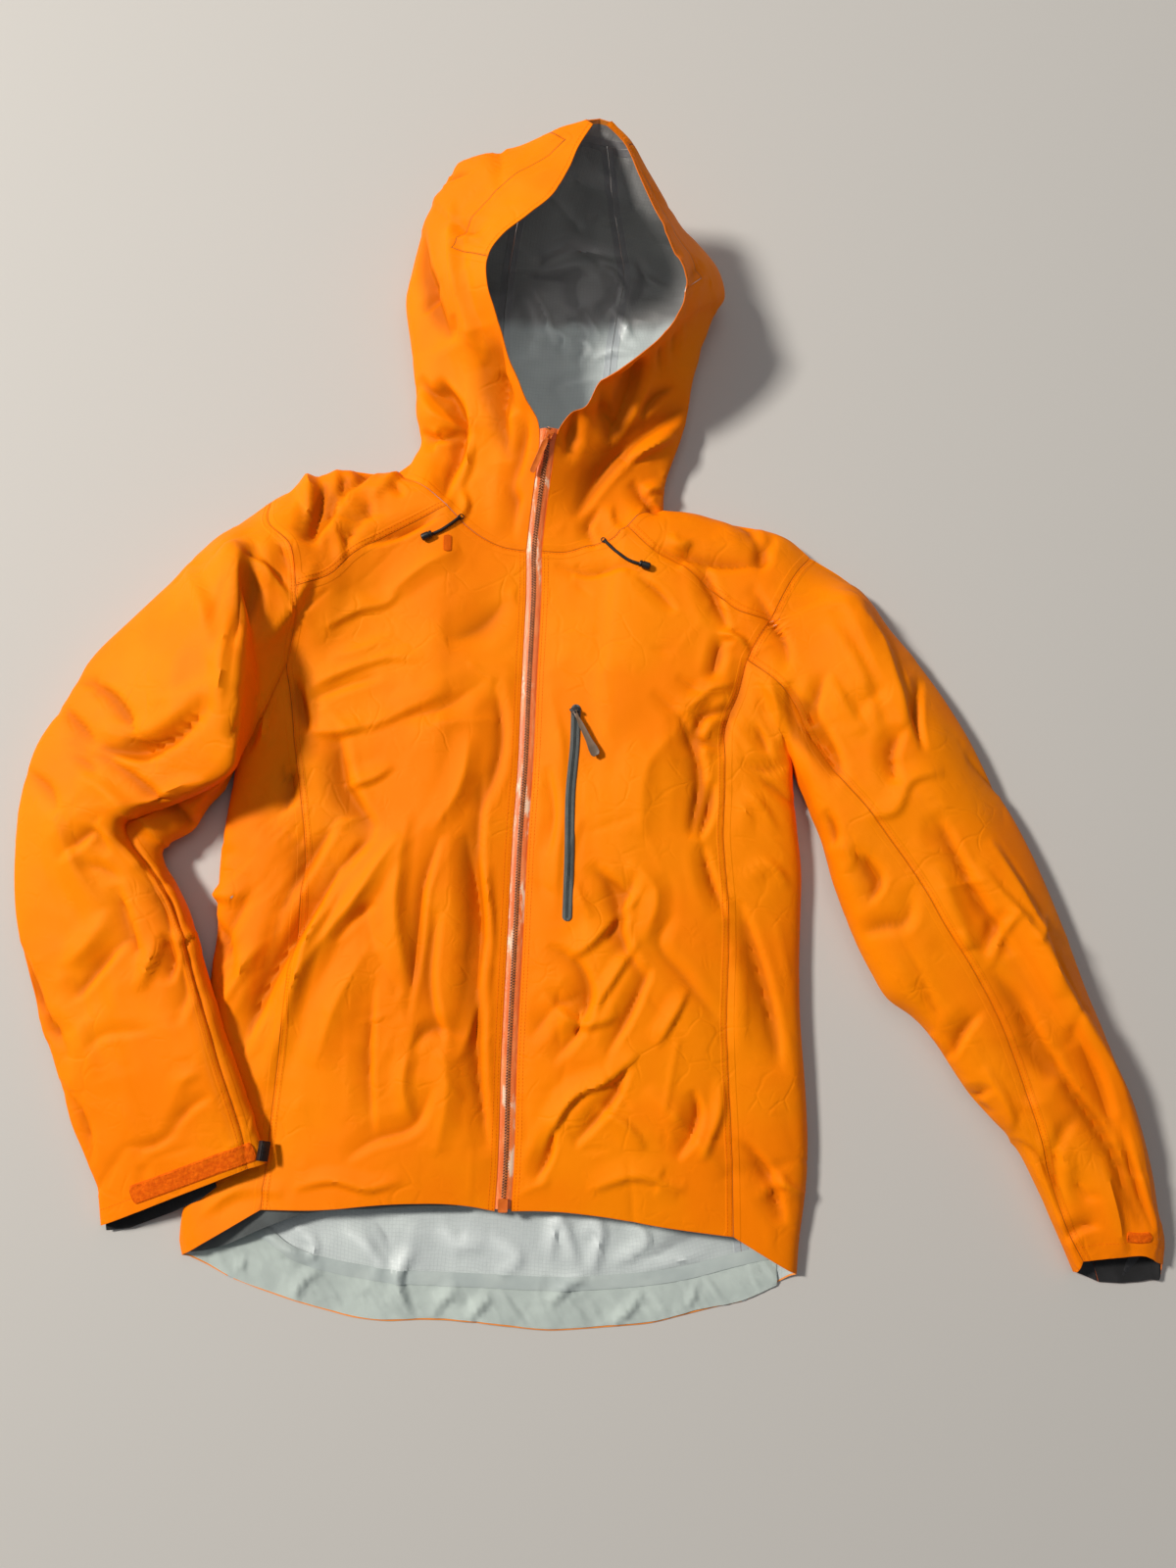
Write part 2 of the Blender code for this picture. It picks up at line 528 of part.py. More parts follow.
def sleeve_grid(side):
    """Points of a sleeve's main piece, from the seam on top, over the outer edge, to the seam below."""
    lines = sleeve_lines(side)
    seam_below = back_seam_of_sleeve(side, lines)
    top_row = armhole(side)
    low_row = flatten(armhole(side), keep_last=True)
    grid = [np.vstack([top_row, low_row[::-1][1:]])]
    across = np.interp(np.linspace(0, 1, ARM_LOW + ARM_HIGH - 1),
                       (0, 1 / 6, 2 / 6, 3 / 6, 4 / 6, 5 / 6, 1), (0, 0.5, 1, 1.6, 2.2, 3.1, 4))
    for row in range(1, SLEEVE_ROWS):
        outer, ridge, seam = (lines[name][row] for name in ("outer", "ridge", "seam"))
        swell = ridge + 0.55 * (outer - ridge)
        swell[2] = outer[2] + 0.72 * (ridge[2] - outer[2])
        brink = outer + 0.07 * (ridge - outer)
        brink[2] = outer[2] + 0.3 * (ridge[2] - outer[2])
        upper = through(range(5), [seam, ridge, swell, brink, outer], across)
        below = seam_below[row]
        sole = outer + 0.45 * (below - outer)
        sole[2] = LIFTED + 0.35 * (below[2] - LIFTED)
        edge = outer + 0.05 * (below - outer)
        edge[2] = 0.5 * (outer[2] + LIFTED) * 0.6
        lower = through(range(4), [outer, edge, sole, below],
                        np.interp(across[::-1], (0, 4), (3, 0)))
        if row == SLEEVE_ROWS - 1 and CUFF_UNDER[side]:
            lower[1:-1, 1] = np.interp(lower[1:-1, 0], *zip(*CUFF_UNDER[side]))
        grid.append(np.vstack([upper, lower[1:]]))
    return np.array(grid)


def make_sleeve(side):
    """A sleeve's main piece."""
    grid = sleeve_grid(side)
    remember(grid)
    return sheet(f"sleeve_{side}", grid, gap=SHARP_SEAM_GAP)


def make_side(side):
    """Side and underarm in one piece: hem to armpit, then along the sleeve to the cuff."""
    lines = sleeve_lines(side)
    start = join(curve(SIDE_SEAM[side], SIDE_ROWS), lines["seam"])
    fold = join(curve(TORSO_FOLD[side], SIDE_ROWS), lines["inner"])
    end = join(curve(on_floor(SIDE_SEAM_BACK[side]), SIDE_ROWS), back_seam_of_sleeve(side, lines))
    grid = np.array([wrap(start[row], fold[row], end[row], WRAP_COLUMNS) for row in range(len(start))])
    remember(grid)
    return sheet(f"side_{side}", grid, gap=SHARP_SEAM_GAP, even=False)


def make_yoke(side):
    """A yoke, over the shoulder fold from the front yoke seam to the back one."""
    front = curve(YOKE_SEAM[side], YOKE_ROWS)
    back = flatten(front)
    fold = curve(SHOULDER_FOLD[side], YOKE_ROWS)
    neck = curve(NECK_SIDE_SEAM[side], 2 * ARM_HIGH - 1)
    shoulder = armhole(side, low=False)
    arm = np.vstack([shoulder, flatten(shoulder, keep_last=True)[::-1][1:]])
    front[0], back[0] = neck[0], neck[-1]
    grid = np.array([wrap(front[row], fold[row], back[row], 2 * ARM_HIGH - 1) for row in range(YOKE_ROWS)])
    for row in range(YOKE_ROWS):
        share = row / (YOKE_ROWS - 1)
        grid[row] += max(0.0, 1 - 2 * share) * (neck - grid[0]) if row else 0.0
        grid[row] += max(0.0, 2 * share - 1) * (arm - grid[-1]) if row < YOKE_ROWS - 1 else 0.0
    grid[0], grid[-1] = neck, arm
    remember(grid)
    return sheet(f"yoke_{side}", grid, gap=SHARP_SEAM_GAP)


def hood_row(section):
    """Points across one hood section, from rim to rim."""
    def half(rim, outer, crown):
        rim, outer, crown = (np.array(point, dtype=float) for point in (rim, outer, crown))
        swell = rim + 0.5 * (outer - rim)
        swell[2] = outer[2] + 0.62 * (rim[2] - outer[2])
        brink = outer + 0.1 * (rim - outer)
        brink[2] = outer[2] + 0.28 * (rim[2] - outer[2])
        tuck = outer + 0.12 * (crown - outer)
        tuck[2] = crown[2] + 0.35 * (outer[2] - crown[2])
        floor = outer + 0.45 * (crown - outer)
        floor[2] = crown[2] + 0.04 * (outer[2] - crown[2])
        across = np.concatenate([np.linspace(0, 3, NECK_FRONT + ARM_HIGH - 1),
                                 3 + np.linspace(0, 2, ARM_HIGH)[1:],
                                 5 + np.linspace(0, 1, NECK_BACK // 2 + 1)[1:]])
        return through(range(7), [rim, swell, brink, outer, tuck, floor, crown], across)
    right = half(section.rim_right, section.outer_right, section.crown)
    left = half(section.rim_left, section.outer_left, section.crown)
    return np.vstack([right, left[::-1][1:]])


def hood_grid():
    """The whole hood and collar as one grid, neck seam to peak."""
    necks = {side: join(neck_front(side), curve(NECK_SIDE_SEAM[side], 2 * ARM_HIGH - 1))
             for side in ("right", "left")}
    base = join(necks["right"], flatten(curve(NECK_BACK_SEAM, NECK_BACK)), necks["left"][::-1])
    sections = np.array([base] + [hood_row(section) for section in HOOD])
    crown = sections[:, len(base) // 2]
    knots = 0.5 * chords(crown) + 0.5 * chords(sections[:, 0])
    rows = np.linspace(0, knots[-1], HOOD_ROWS)
    flat = through(knots, sections.reshape(len(sections), -1), rows)
    grid = flat.reshape(HOOD_ROWS, -1, 3)
    grid[..., 2] = np.maximum(grid[..., 2], FLOOR)
    line = curve(ZIP_LINE, 400)
    for row in range(1, HOOD_ROWS):
        for column, offset in ((0, -ZIP_EDGE), (-1, ZIP_EDGE)):
            if grid[row, column, 1] < ZIP_LINE[-1][1]:
                spot = line[np.argmin(abs(line[:, 1] - grid[row, column, 1]))]
                grid[row, column] = (spot[0] + offset, grid[row, column, 1], spot[2])
    return grid


def make_hood():
    """Hood sides with their half of the collar, the crown between them, and the brim."""
    grid = hood_grid()
    remember(grid)
    last = grid.shape[1] - 1
    side_columns = NECK_FRONT + 2 * ARM_HIGH - 2
    brim_row = round(BRIM_FROM_ROW * (HOOD_ROWS - 1))

    def in_brim(row, column):
        width = last if row == HOOD_ROWS - 2 else BRIM_COLUMNS
        return row >= brim_row and (column < width or column >= last - width)

    def in_side(row, column):
        return column < side_columns and not in_brim(row, column)

    sheet("hood_brim", grid, cells=in_brim, gap=SHARP_SEAM_GAP)
    sheet("hood_side_right", grid, cells=in_side)
    sheet("hood_side_left", grid, cells=lambda row, column: in_side(row, last - 1 - column))
    sheet("hood_crown", grid,
          cells=lambda row, column: side_columns <= column < last - side_columns and not in_brim(row, column))


def make_facings():
    """Facing inside the back hem, and inside each cuff's lower side."""
    count = 26
    height = FLOOR + 0.5 * CLOTH + 0.4 + 0.5
    hem = curve(on_floor(BACK_HEM, height), count)
    top = curve(on_floor(FACING_TOP, height), count)
    hem[:, 1] += 1.5
    hem[0, 0] += 2.0
    hem[-1, 0] -= 2.0
    steps = np.linspace(0, 1, 3)[:, None, None]
    sheet("hem_facing", hem[None] * (1 - steps) + top[None] * steps, FACING, thickness=1.0)
    lines = sleeve_lines("left")
    below = back_seam_of_sleeve("left", lines)[-1]
    start = np.array((below[0] - 3.0, below[1] + 4.0, height + 1.4))
    end = np.array((510.0, -510.0, height + 1.4))
    row = np.linspace(start, end, 5)
    deeper = row + np.array((-6.0, FACING_DEPTH_CUFF, 0.0))
    sheet("cuff_facing_left", np.array([row, 0.5 * (row + deeper), deeper]), BLACK, thickness=1.0)
    lower = sleeve_grid("right")[-2:, ARM_LOW + ARM_HIGH:] + np.array((0.0, 0.0, 0.5 * CLOTH + 0.5 + 0.9))
    heading = lower[1] - lower[0]
    heading /= np.linalg.norm(heading, axis=1)[:, None]
    window = np.array((0.5, 1.0, 1.0, 0.8, 0.35))[:, None]
    beyond = lower[1] + heading * FACING_SHOWN_CUFF * window
    inside = lower[1] - heading * FACING_DEPTH_CUFF * 0.6
    sheet("cuff_facing_right", np.array([inside, lower[1], beyond]), BLACK, thickness=1.0)


# ---------------------------------------------------------------- zips, cords and trim
def strip_beside_zip(inner, outer, count, start=0.004, end=0.996):
    """Grid of a strip between two offsets from the zip's centre line."""
    line = zip_edge("left", count, start, end)
    line[:, 0] -= ZIP_EDGE
    return np.stack([line + np.array((offset, 0.0, 0.0)) for offset in (inner, outer)], axis=1)


def box(name, size, finish, bevel=0.4):
    """A small block with rounded edges, centred at its origin; sizes in millimetres."""
    bpy.ops.mesh.primitive_cube_add(size=1.0)
    item = bpy.context.object
    item.name = item.data.name = name
    item.data.transform(Matrix.Diagonal((*(0.001 * side for side in size), 1.0)))
    item.data.materials.append(finish_for(name, finish))
    for holder in item.users_collection:
        holder.objects.unlink(item)
    bpy.data.collections["shell_jacket"].objects.link(item)
    edge = item.modifiers.new("edge", "BEVEL")
    edge.width = bevel * 0.001
    edge.segments = 1
    return item


def pose(item, place, heading, normal):
    """Stand an object at a place, its +Y along heading and its +Z along normal."""
    normal = Vector(normal).normalized()
    heading = (Vector(heading) - normal * Vector(heading).dot(normal)).normalized()
    side = heading.cross(normal)
    frame = Matrix((side, heading, normal)).transposed().to_4x4()
    frame.translation = Vector(lay_to_part(place))
    item.matrix_world = frame


def turned_pin(name, radius, length):
    """Mesh of a short pin lying along X; sizes in millimetres."""
    mesh = bmesh.new()
    bmesh.ops.create_cone(mesh, cap_ends=True, segments=16, radius1=radius * 0.001, radius2=radius * 0.001,
                          depth=length * 0.001, matrix=Matrix.Rotation(math.pi / 2, 4, "Y"))
    data = bpy.data.meshes.new(name)
    mesh.to_mesh(data)
    mesh.free()
    return data


def weld_on(item, data, placed):
    """Join a mesh, standing at the matrix `placed`, to an object as one solid."""
    helper = bpy.data.objects.new(data.name, data)
    bpy.data.collections["cutters"].objects.link(helper)
    helper.hide_render = True
    helper.display_type = "WIRE"
    helper.matrix_world = placed
    bond = item.modifiers.new("bond", "BOOLEAN")
    bond.operation = "UNION"
    bond.object = helper


def make_slider(name, size, place, heading, normal, finish):
    """A slider: a plate on the chain with two lugs, one each side of the pull's axis."""
    slider = box(name, size, finish)
    pose(slider, place, heading, normal)
    for sign in (-1, 1):
        offset = Matrix.Translation((sign * 0.001 * (0.5 * EYE_LENGTH + 0.4 + 0.5 * LUG_THICK), 0.0,
                                     0.001 * (0.5 * size[2] + AXIS_ABOVE_PLATE)))
        weld_on(slider, turned_pin(f"{name}_lug", 0.5 * size[2] + AXIS_ABOVE_PLATE - 0.5, LUG_THICK),
                slider.matrix_world @ offset)
    return slider


def make_pull(name, slider, plate_thick, outline, thick, finish):
    """A pull tab: an eye on the axis, with a flat tongue drawn as one outline.

    outline: (distance from the axis, half width) rows down the tongue. The object's origin
    and X axis are the hinge axis.
    """
    mesh = bmesh.new()
    ring = [(half, -distance) for distance, half in outline]
    ring += [(-half, -distance) for distance, half in reversed(outline)]
    mesh.faces.new([mesh.verts.new((x * 0.001, y * 0.001, 0.0)) for x, y in ring])
    data = bpy.data.meshes.new(name)
    mesh.to_mesh(data)
    mesh.free()
    pull = add_object(name, data, finish)
    wall = pull.modifiers.new("wall", "SOLIDIFY")
    wall.thickness = thick * 0.001
    wall.offset = 0.0
    axis_height = 0.001 * (0.5 * plate_thick + AXIS_ABOVE_PLATE)
    pull.matrix_world = slider.matrix_world @ Matrix.Translation((0.0, 0.0, axis_height))
    weld_on(pull, turned_pin(f"{name}_eye", EYE_RADIUS, EYE_LENGTH), pull.matrix_world.copy())
    return pull


def make_main_zip():
    """Two tapes, the closed chain, the box at the hem, the slider and its pull."""
    count = 34
    sheet("zip_tape_right", strip_beside_zip(-TAPE_OUTER, -TAPE_INNER, count), TAPE, thickness=1.2, gap=0.0)
    sheet("zip_tape_left", strip_beside_zip(TAPE_INNER, TAPE_OUTER, count), TAPE, thickness=1.2, gap=0.0)
    sheet("zip_chain", strip_beside_zip(-CHAIN_HALF, CHAIN_HALF, count), TAPE, thickness=CHAIN_THICK, gap=0.0)
    end_box = box("zip_box", (9.0, 11.0, 2.6), TAPE)
    place = np.array(ZIP_LINE[0], dtype=float) + (0.3, 6.0, 0.5 * CHAIN_THICK + 2.0)
    pose(end_box, place, (0.02, 1.0, 0.0), (0, 0, 1))
    line = curve(ZIP_LINE, 400)
    spot = line[np.argmin(abs(line[:, 1] - 252.0))]
    ahead = line[np.argmin(abs(line[:, 1] - 260.0))] - line[np.argmin(abs(line[:, 1] - 244.0))]
    plan = Vector((ZIP_PULL[0][0] - ZIP_PULL[1][0], ZIP_PULL[0][1] - ZIP_PULL[1][1], 0.0)).normalized()
    slope = ahead[2] / math.hypot(ahead[0], ahead[1])
    normal = Vector((0.0, -slope, 1.0)).normalized()
    lift = 0.5 * CHAIN_THICK + 0.5 + 1.1
    slider = make_slider("zip_slider", SLIDER_SIZE, spot + np.array(normal) * lift, plan, normal, TAPE)
    make_pull("zip_pull", slider, SLIDER_SIZE[2], ZIP_PULL_OUTLINE, 1.4, TAPE)


def make_pocket_zip():
    """Chest pocket zip: a closed tape with its slider and pull."""
    sheet("pocket_zip", ribbon_on_cloth(POCKET_ZIP, POCKET_ZIP_WIDTH, 1.6, 24), SLATE, thickness=1.6, gap=0.0)
    spot, normal = top_at(POCKET_ZIP[0][0] - 0.3, POCKET_ZIP[0][1] - 8.0)
    heading = (POCKET_PULL[0][0] - POCKET_PULL[1][0], POCKET_PULL[0][1] - POCKET_PULL[1][1], 0.0)
    lift = 0.5 * CLOTH + TRIM_GAP + 1.6 + 0.5 + 1.0
    slider = make_slider("pocket_slider", POCKET_SLIDER_SIZE, np.array(spot + normal * lift), heading,
                         normal, BLACK)
    make_pull("pocket_pull", slider, POCKET_SLIDER_SIZE[2], POCKET_PULL_OUTLINE, 1.6, SLATE)


def make_drawcord(side):
    """Free end of a hood drawcord and the moulded end on it."""
    route = curve([(x, y, 0.0) for x, y in CORD_ROUTE[side]], 7)
    radius = 0.5 * CORD_DIAMETER
    for point in route:
        spot, normal = top_at(point[0], point[1])
        point[:] = spot + normal * (0.5 * CLOTH + 0.5 + radius + 0.4)
    data = bpy.data.curves.new(f"drawcord_{side}", "CURVE")
    data.dimensions = "3D"
    data.bevel_depth = radius * 0.001
    data.bevel_resolution = 2
    data.use_fill_caps = True
    spline = data.splines.new("POLY")
    spline.points.add(len(route) - 1)
    for point, place in zip(spline.points, lay_to_part(route)):
        point.co = (*place, 1.0)
    add_object(f"drawcord_{side}", data, BLACK)
    length, width = CORD_END_SIZE
    heading = Vector(route[-1] - route[-2]).normalized()
    mesh = bmesh.new()
    bmesh.ops.create_cone(mesh, cap_ends=True, segments=16, radius1=0.0005 * width, radius2=0.0005 * width,
                          depth=0.001 * length, matrix=Matrix.Rotation(math.pi / 2, 4, "X"))
    end_data = bpy.data.meshes.new(f"cord_end_{side}")
    mesh.to_mesh(end_data)
    mesh.free()
    end = add_object(f"cord_end_{side}", end_data, BLACK)
    centre = Vector(route[-1]) + heading * (0.5 * length + 0.35)
    spot, normal = top_at(centre.x, centre.y)
    centre.z = max(centre.z, spot.z + 0.5 * CLOTH + 0.6 + 0.5 * width)
    pose(end, np.array(centre), heading, normal)
    edge = end.modifiers.new("edge", "BEVEL")
    edge.width = 0.0008
    edge.segments = 1
    edge.limit_method = "ANGLE"


def make_trim():
    """Cuff patches, the rubber end of the cuff tab, and the cord keeper."""
    for side, (line, width) in CUFF_PATCH.items():
        sheet(f"cuff_patch_{side}", ribbon_on_cloth(line, width, 1.2, 8 if side == "right" else 4),
              HOOK, thickness=1.2, gap=0.0)
    spot, normal = top_at(*CUFF_TAB_END)
    end = box("cuff_tab_end_right", CUFF_TAB_SIZE, BLACK, bevel=1.5)
    pose(end, np.array(spot + normal * (0.5 * CLOTH + 0.8 + 0.5 * CUFF_TAB_SIZE[2])), (0.36, 1.0, 0.0), normal)
    sheet("cord_keeper_right", ribbon_on_cloth(KEEPER, 7.0, 1.0, 4), SHELL, thickness=1.0, gap=0.0)


def main():
    """Build the jacket, cloth first, then what is sewn on it."""
    fresh_scene()
    cutters = bpy.data.collections.new("cutters")
    bpy.context.scene.collection.children.link(cutters)
    make_back()
    for side in ("right", "left"):
        make_front(side)
        make_side(side)
        make_sleeve(side)
        make_yoke(side)
    make_hood()
    make_facings()
    make_main_zip()
    make_pocket_zip()
    for side in ("right", "left"):
        make_drawcord(side)
    make_trim()


main()
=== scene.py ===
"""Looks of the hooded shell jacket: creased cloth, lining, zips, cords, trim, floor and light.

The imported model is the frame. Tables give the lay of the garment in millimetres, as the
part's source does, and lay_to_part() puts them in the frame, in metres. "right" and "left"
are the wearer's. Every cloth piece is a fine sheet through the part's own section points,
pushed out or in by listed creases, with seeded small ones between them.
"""
import itertools
import json
import logging
import math
from dataclasses import dataclass, field
from enum import Enum
from typing import Callable, Iterable, NamedTuple, Optional, Sequence

import bmesh
import bpy
import numpy as np
from mathutils import Matrix, Vector
from mathutils.bvhtree import BVHTree
from mathutils.kdtree import KDTree


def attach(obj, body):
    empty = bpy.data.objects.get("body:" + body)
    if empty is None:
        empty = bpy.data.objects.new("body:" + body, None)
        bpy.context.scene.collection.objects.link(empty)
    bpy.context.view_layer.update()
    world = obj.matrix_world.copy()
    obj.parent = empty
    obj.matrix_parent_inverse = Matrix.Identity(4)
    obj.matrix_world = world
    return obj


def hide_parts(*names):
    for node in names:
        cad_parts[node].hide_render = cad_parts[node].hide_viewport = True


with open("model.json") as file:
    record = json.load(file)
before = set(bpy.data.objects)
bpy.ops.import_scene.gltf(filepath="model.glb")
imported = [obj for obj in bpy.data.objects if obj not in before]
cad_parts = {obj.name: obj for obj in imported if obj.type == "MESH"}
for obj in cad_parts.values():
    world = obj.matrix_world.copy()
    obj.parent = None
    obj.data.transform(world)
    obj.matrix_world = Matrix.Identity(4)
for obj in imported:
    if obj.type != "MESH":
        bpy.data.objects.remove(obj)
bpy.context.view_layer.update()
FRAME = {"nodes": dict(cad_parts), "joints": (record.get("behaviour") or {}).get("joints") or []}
LOG = logging.getLogger("shell_jacket")
BODY = "jacket"

# ---------------------------------------------------------------- driving sizes, millimetres
MM = 0.001                    # a millimetre, in metres
LAY_CENTRE = (1.0, -17.6)     # middle of the lay, which is the frame's origin
CLOTH = 1.2                   # wall of the frame's cloth pieces
FLOOR = 0.5 * CLOTH           # mid-height of cloth that lies on the floor
LIFTED = FLOOR + 0.4          # mid-height of folded cloth that just clears the floor
SHELL_WALL = 0.8              # wall of the finished cloth
CLOTH_TOP = 0.5 * SHELL_WALL  # middle of the cloth to its outer face
LEAST_WIDTH = 0.0102          # narrowest strip, in metres, that counts as a sheet
SLIM = 0.4                    # a piece that fills less of its width by its length is cut aslant
FILLED = 0.9                  # and this is how much of a strip of its own width it fills
SEAM_GAP = 0.2                # each piece stops this far short of its seam
ZIP_EDGE = 7.1                # centre of the zip to the edge of a front
FRONT_PUFF = 7.0              # how far the middle of each front stands above its borders
NECK_SEAM_Y = 152.0           # where the neck seam meets the zip
FAR = 999.0                   # distance to a border that a piece doesn't have

# samples along each seam; a panel's rows and columns follow from them
SIDE_ROWS, SLEEVE_ROWS = 17, 20
ARM_LOW, ARM_HIGH = 4, 4      # armhole below and above the yoke seam
YOKE_ROWS = 6
NECK_FRONT, NECK_BACK = 5, 7
HOOD_ROWS = 19
WRAP_COLUMNS = 7              # across a side panel, over its fold
SEAM_BELOW = 0.30             # seam on a sleeve's lower side, as a share from its inner to its outer edge
GUSSET_ROWS = 4               # rows in which that seam leaves the foot of the armhole
SIDES = ("right", "left")

# ---------------------------------------------------------------- the lay: x, y, z
ZIP_LINE = (                  # hem to the top of the collar
    (-69, -451, 20), (-67, -420, 21), (-64, -313, 24), (-59, -202, 26), (-55, -114, 28),
    (-51, -54, 28), (-48, 24, 28), (-46, 69, 28), (-44, 118, 28), (-44, 152, 30),
    (-41, 180, 34), (-37, 208, 44), (-32, 236, 57), (-29, 262, 69))

FRONT_HEM = {                 # zip to side seam
    "right": ((-77, -451, 20), (-102, -446, 22), (-167, -444, 25), (-232, -449, 26), (-284, -449, 24)),
    "left": ((-61, -451, 20), (-28, -451, 21), (23, -456, 22), (77, -465, 22), (136, -473, 21))}
BACK_HEM = (                  # right side seam to left side seam, on the floor
    (-315, -513), (-279, -526), (-235, -539), (-191, -549), (-125, -549), (-70, -554),
    (-34, -558), (26, -555), (69, -551), (104, -542), (148, -533))
SIDE_SEAM = {                 # front hem to the foot of the armhole
    "right": ((-284, -449, 24), (-281, -404, 19), (-275, -343, 21), (-268, -282, 23),
              (-261, -212, 25), (-255, -154, 26), (-255, -103, 27), (-261, -59, 28),
              (-267, -14, 29), (-274, 44, 32)),
    "left": ((136, -473, 21), (135, -390, 26), (133, -334, 28), (132, -290, 29),
             (135, -181, 30), (131, -118, 30), (134, -60, 31), (134, -20, 33),
             (145, 9, 34), (155, 47, 36))}
SIDE_SEAM_BACK = {            # back hem to the foot of the armhole, on the floor
    "right": ((-315, -513), (-290, -400), (-276, -250), (-264, -100), (-270, -10), (-274, 44)),
    "left": ((148, -533), (140, -400), (136, -200), (135, -60), (147, 5), (155, 47))}
TORSO_FOLD = {                # outer edge of the body, hem to armpit
    "right": ((-356, -491, 9), (-357, -448, 9), (-347, -423, 8), (-344, -380, 8),
              (-343, -319, 8), (-342, -257, 9), (-337, -217, 10), (-335, -176, 11),
              (-334, -140, 11), (-332, -112, 11), (-327, -80, 11), (-321, -39, 12)),
    "left": ((193, -508, 8), (196, -474, 10), (201, -439, 11), (203, -414, 11),
             (203, -336, 11), (201, -283, 11), (202, -212, 11), (204, -140, 11),
             (201, -99, 11), (199, -51, 11))}
ARMHOLE_LOW = {               # foot of the armhole to the yoke seam
    "right": ((-274, 44, 32), (-268, 68, 38), (-263, 94, 46), (-262, 113, 52)),
    "left": ((155, 47, 36), (166, 68, 38), (177, 84, 40))}
ARMHOLE_HIGH = {              # yoke seam to the shoulder fold
    "right": ((-262, 113, 52), (-265, 146, 58), (-290, 173, 46), (-297, 206, 20)),
    "left": ((177, 84, 40), (185, 100, 40), (195, 120, 38), (218, 149, 18))}
YOKE_SEAM = {                 # neck to armhole
    "right": ((-126, 195, 39), (-150, 183, 38), (-177, 169, 38), (-209, 150, 42),
              (-226, 130, 46), (-262, 113, 52)),
    "left": ((44, 176, 36), (67, 153, 38), (109, 128, 38), (142, 96, 39), (177, 84, 40))}
SHOULDER_FOLD = {             # neck to armhole, the top edge of the lay
    "right": ((-175, 231, 16), (-205, 235, 18), (-233, 236, 20), (-275, 218, 20), (-297, 206, 20)),
    "left": ((79, 194, 16), (101, 194, 16), (143, 183, 16), (195, 170, 16), (218, 149, 18))}
NECK_FRONT_SEAM = {           # zip to yoke seam
    "right": ((-52, 152, 30), (-62, 153, 30), (-81, 160, 31), (-99, 169, 33), (-126, 195, 39)),
    "left": ((-36, 152, 30), (-16, 152, 30), (7, 158, 31), (23, 161, 32), (44, 176, 36))}
NECK_SIDE_SEAM = {            # yoke seam over the shoulder fold to the back
    "right": ((-126, 195, 39), (-141, 209, 38), (-160, 222, 30), (-175, 231, 16),
              (-160, 224, 3), (-140, 214, 1), (-118, 202, 1)),
    "left": ((44, 176, 36), (56, 188, 35), (68, 194, 28), (79, 194, 16),
             (68, 193, 3), (54, 190, 1), (38, 186, 1))}
NECK_BACK_SEAM = ((-118, 202, 1), (-80, 192, 1), (-40, 188, 1), (0, 187, 1), (38, 186, 1))


class SleeveSection(NamedTuple):
    """One section across a sleeve; the ridge is the highest line of its upper side."""
    outer: tuple      # fold at the outer edge
    ridge: tuple
    seam: tuple       # seam with the underarm piece, on the upper side
    inner: tuple      # fold at the inner edge
    under: float      # mid-height of the lower side near the inner edge


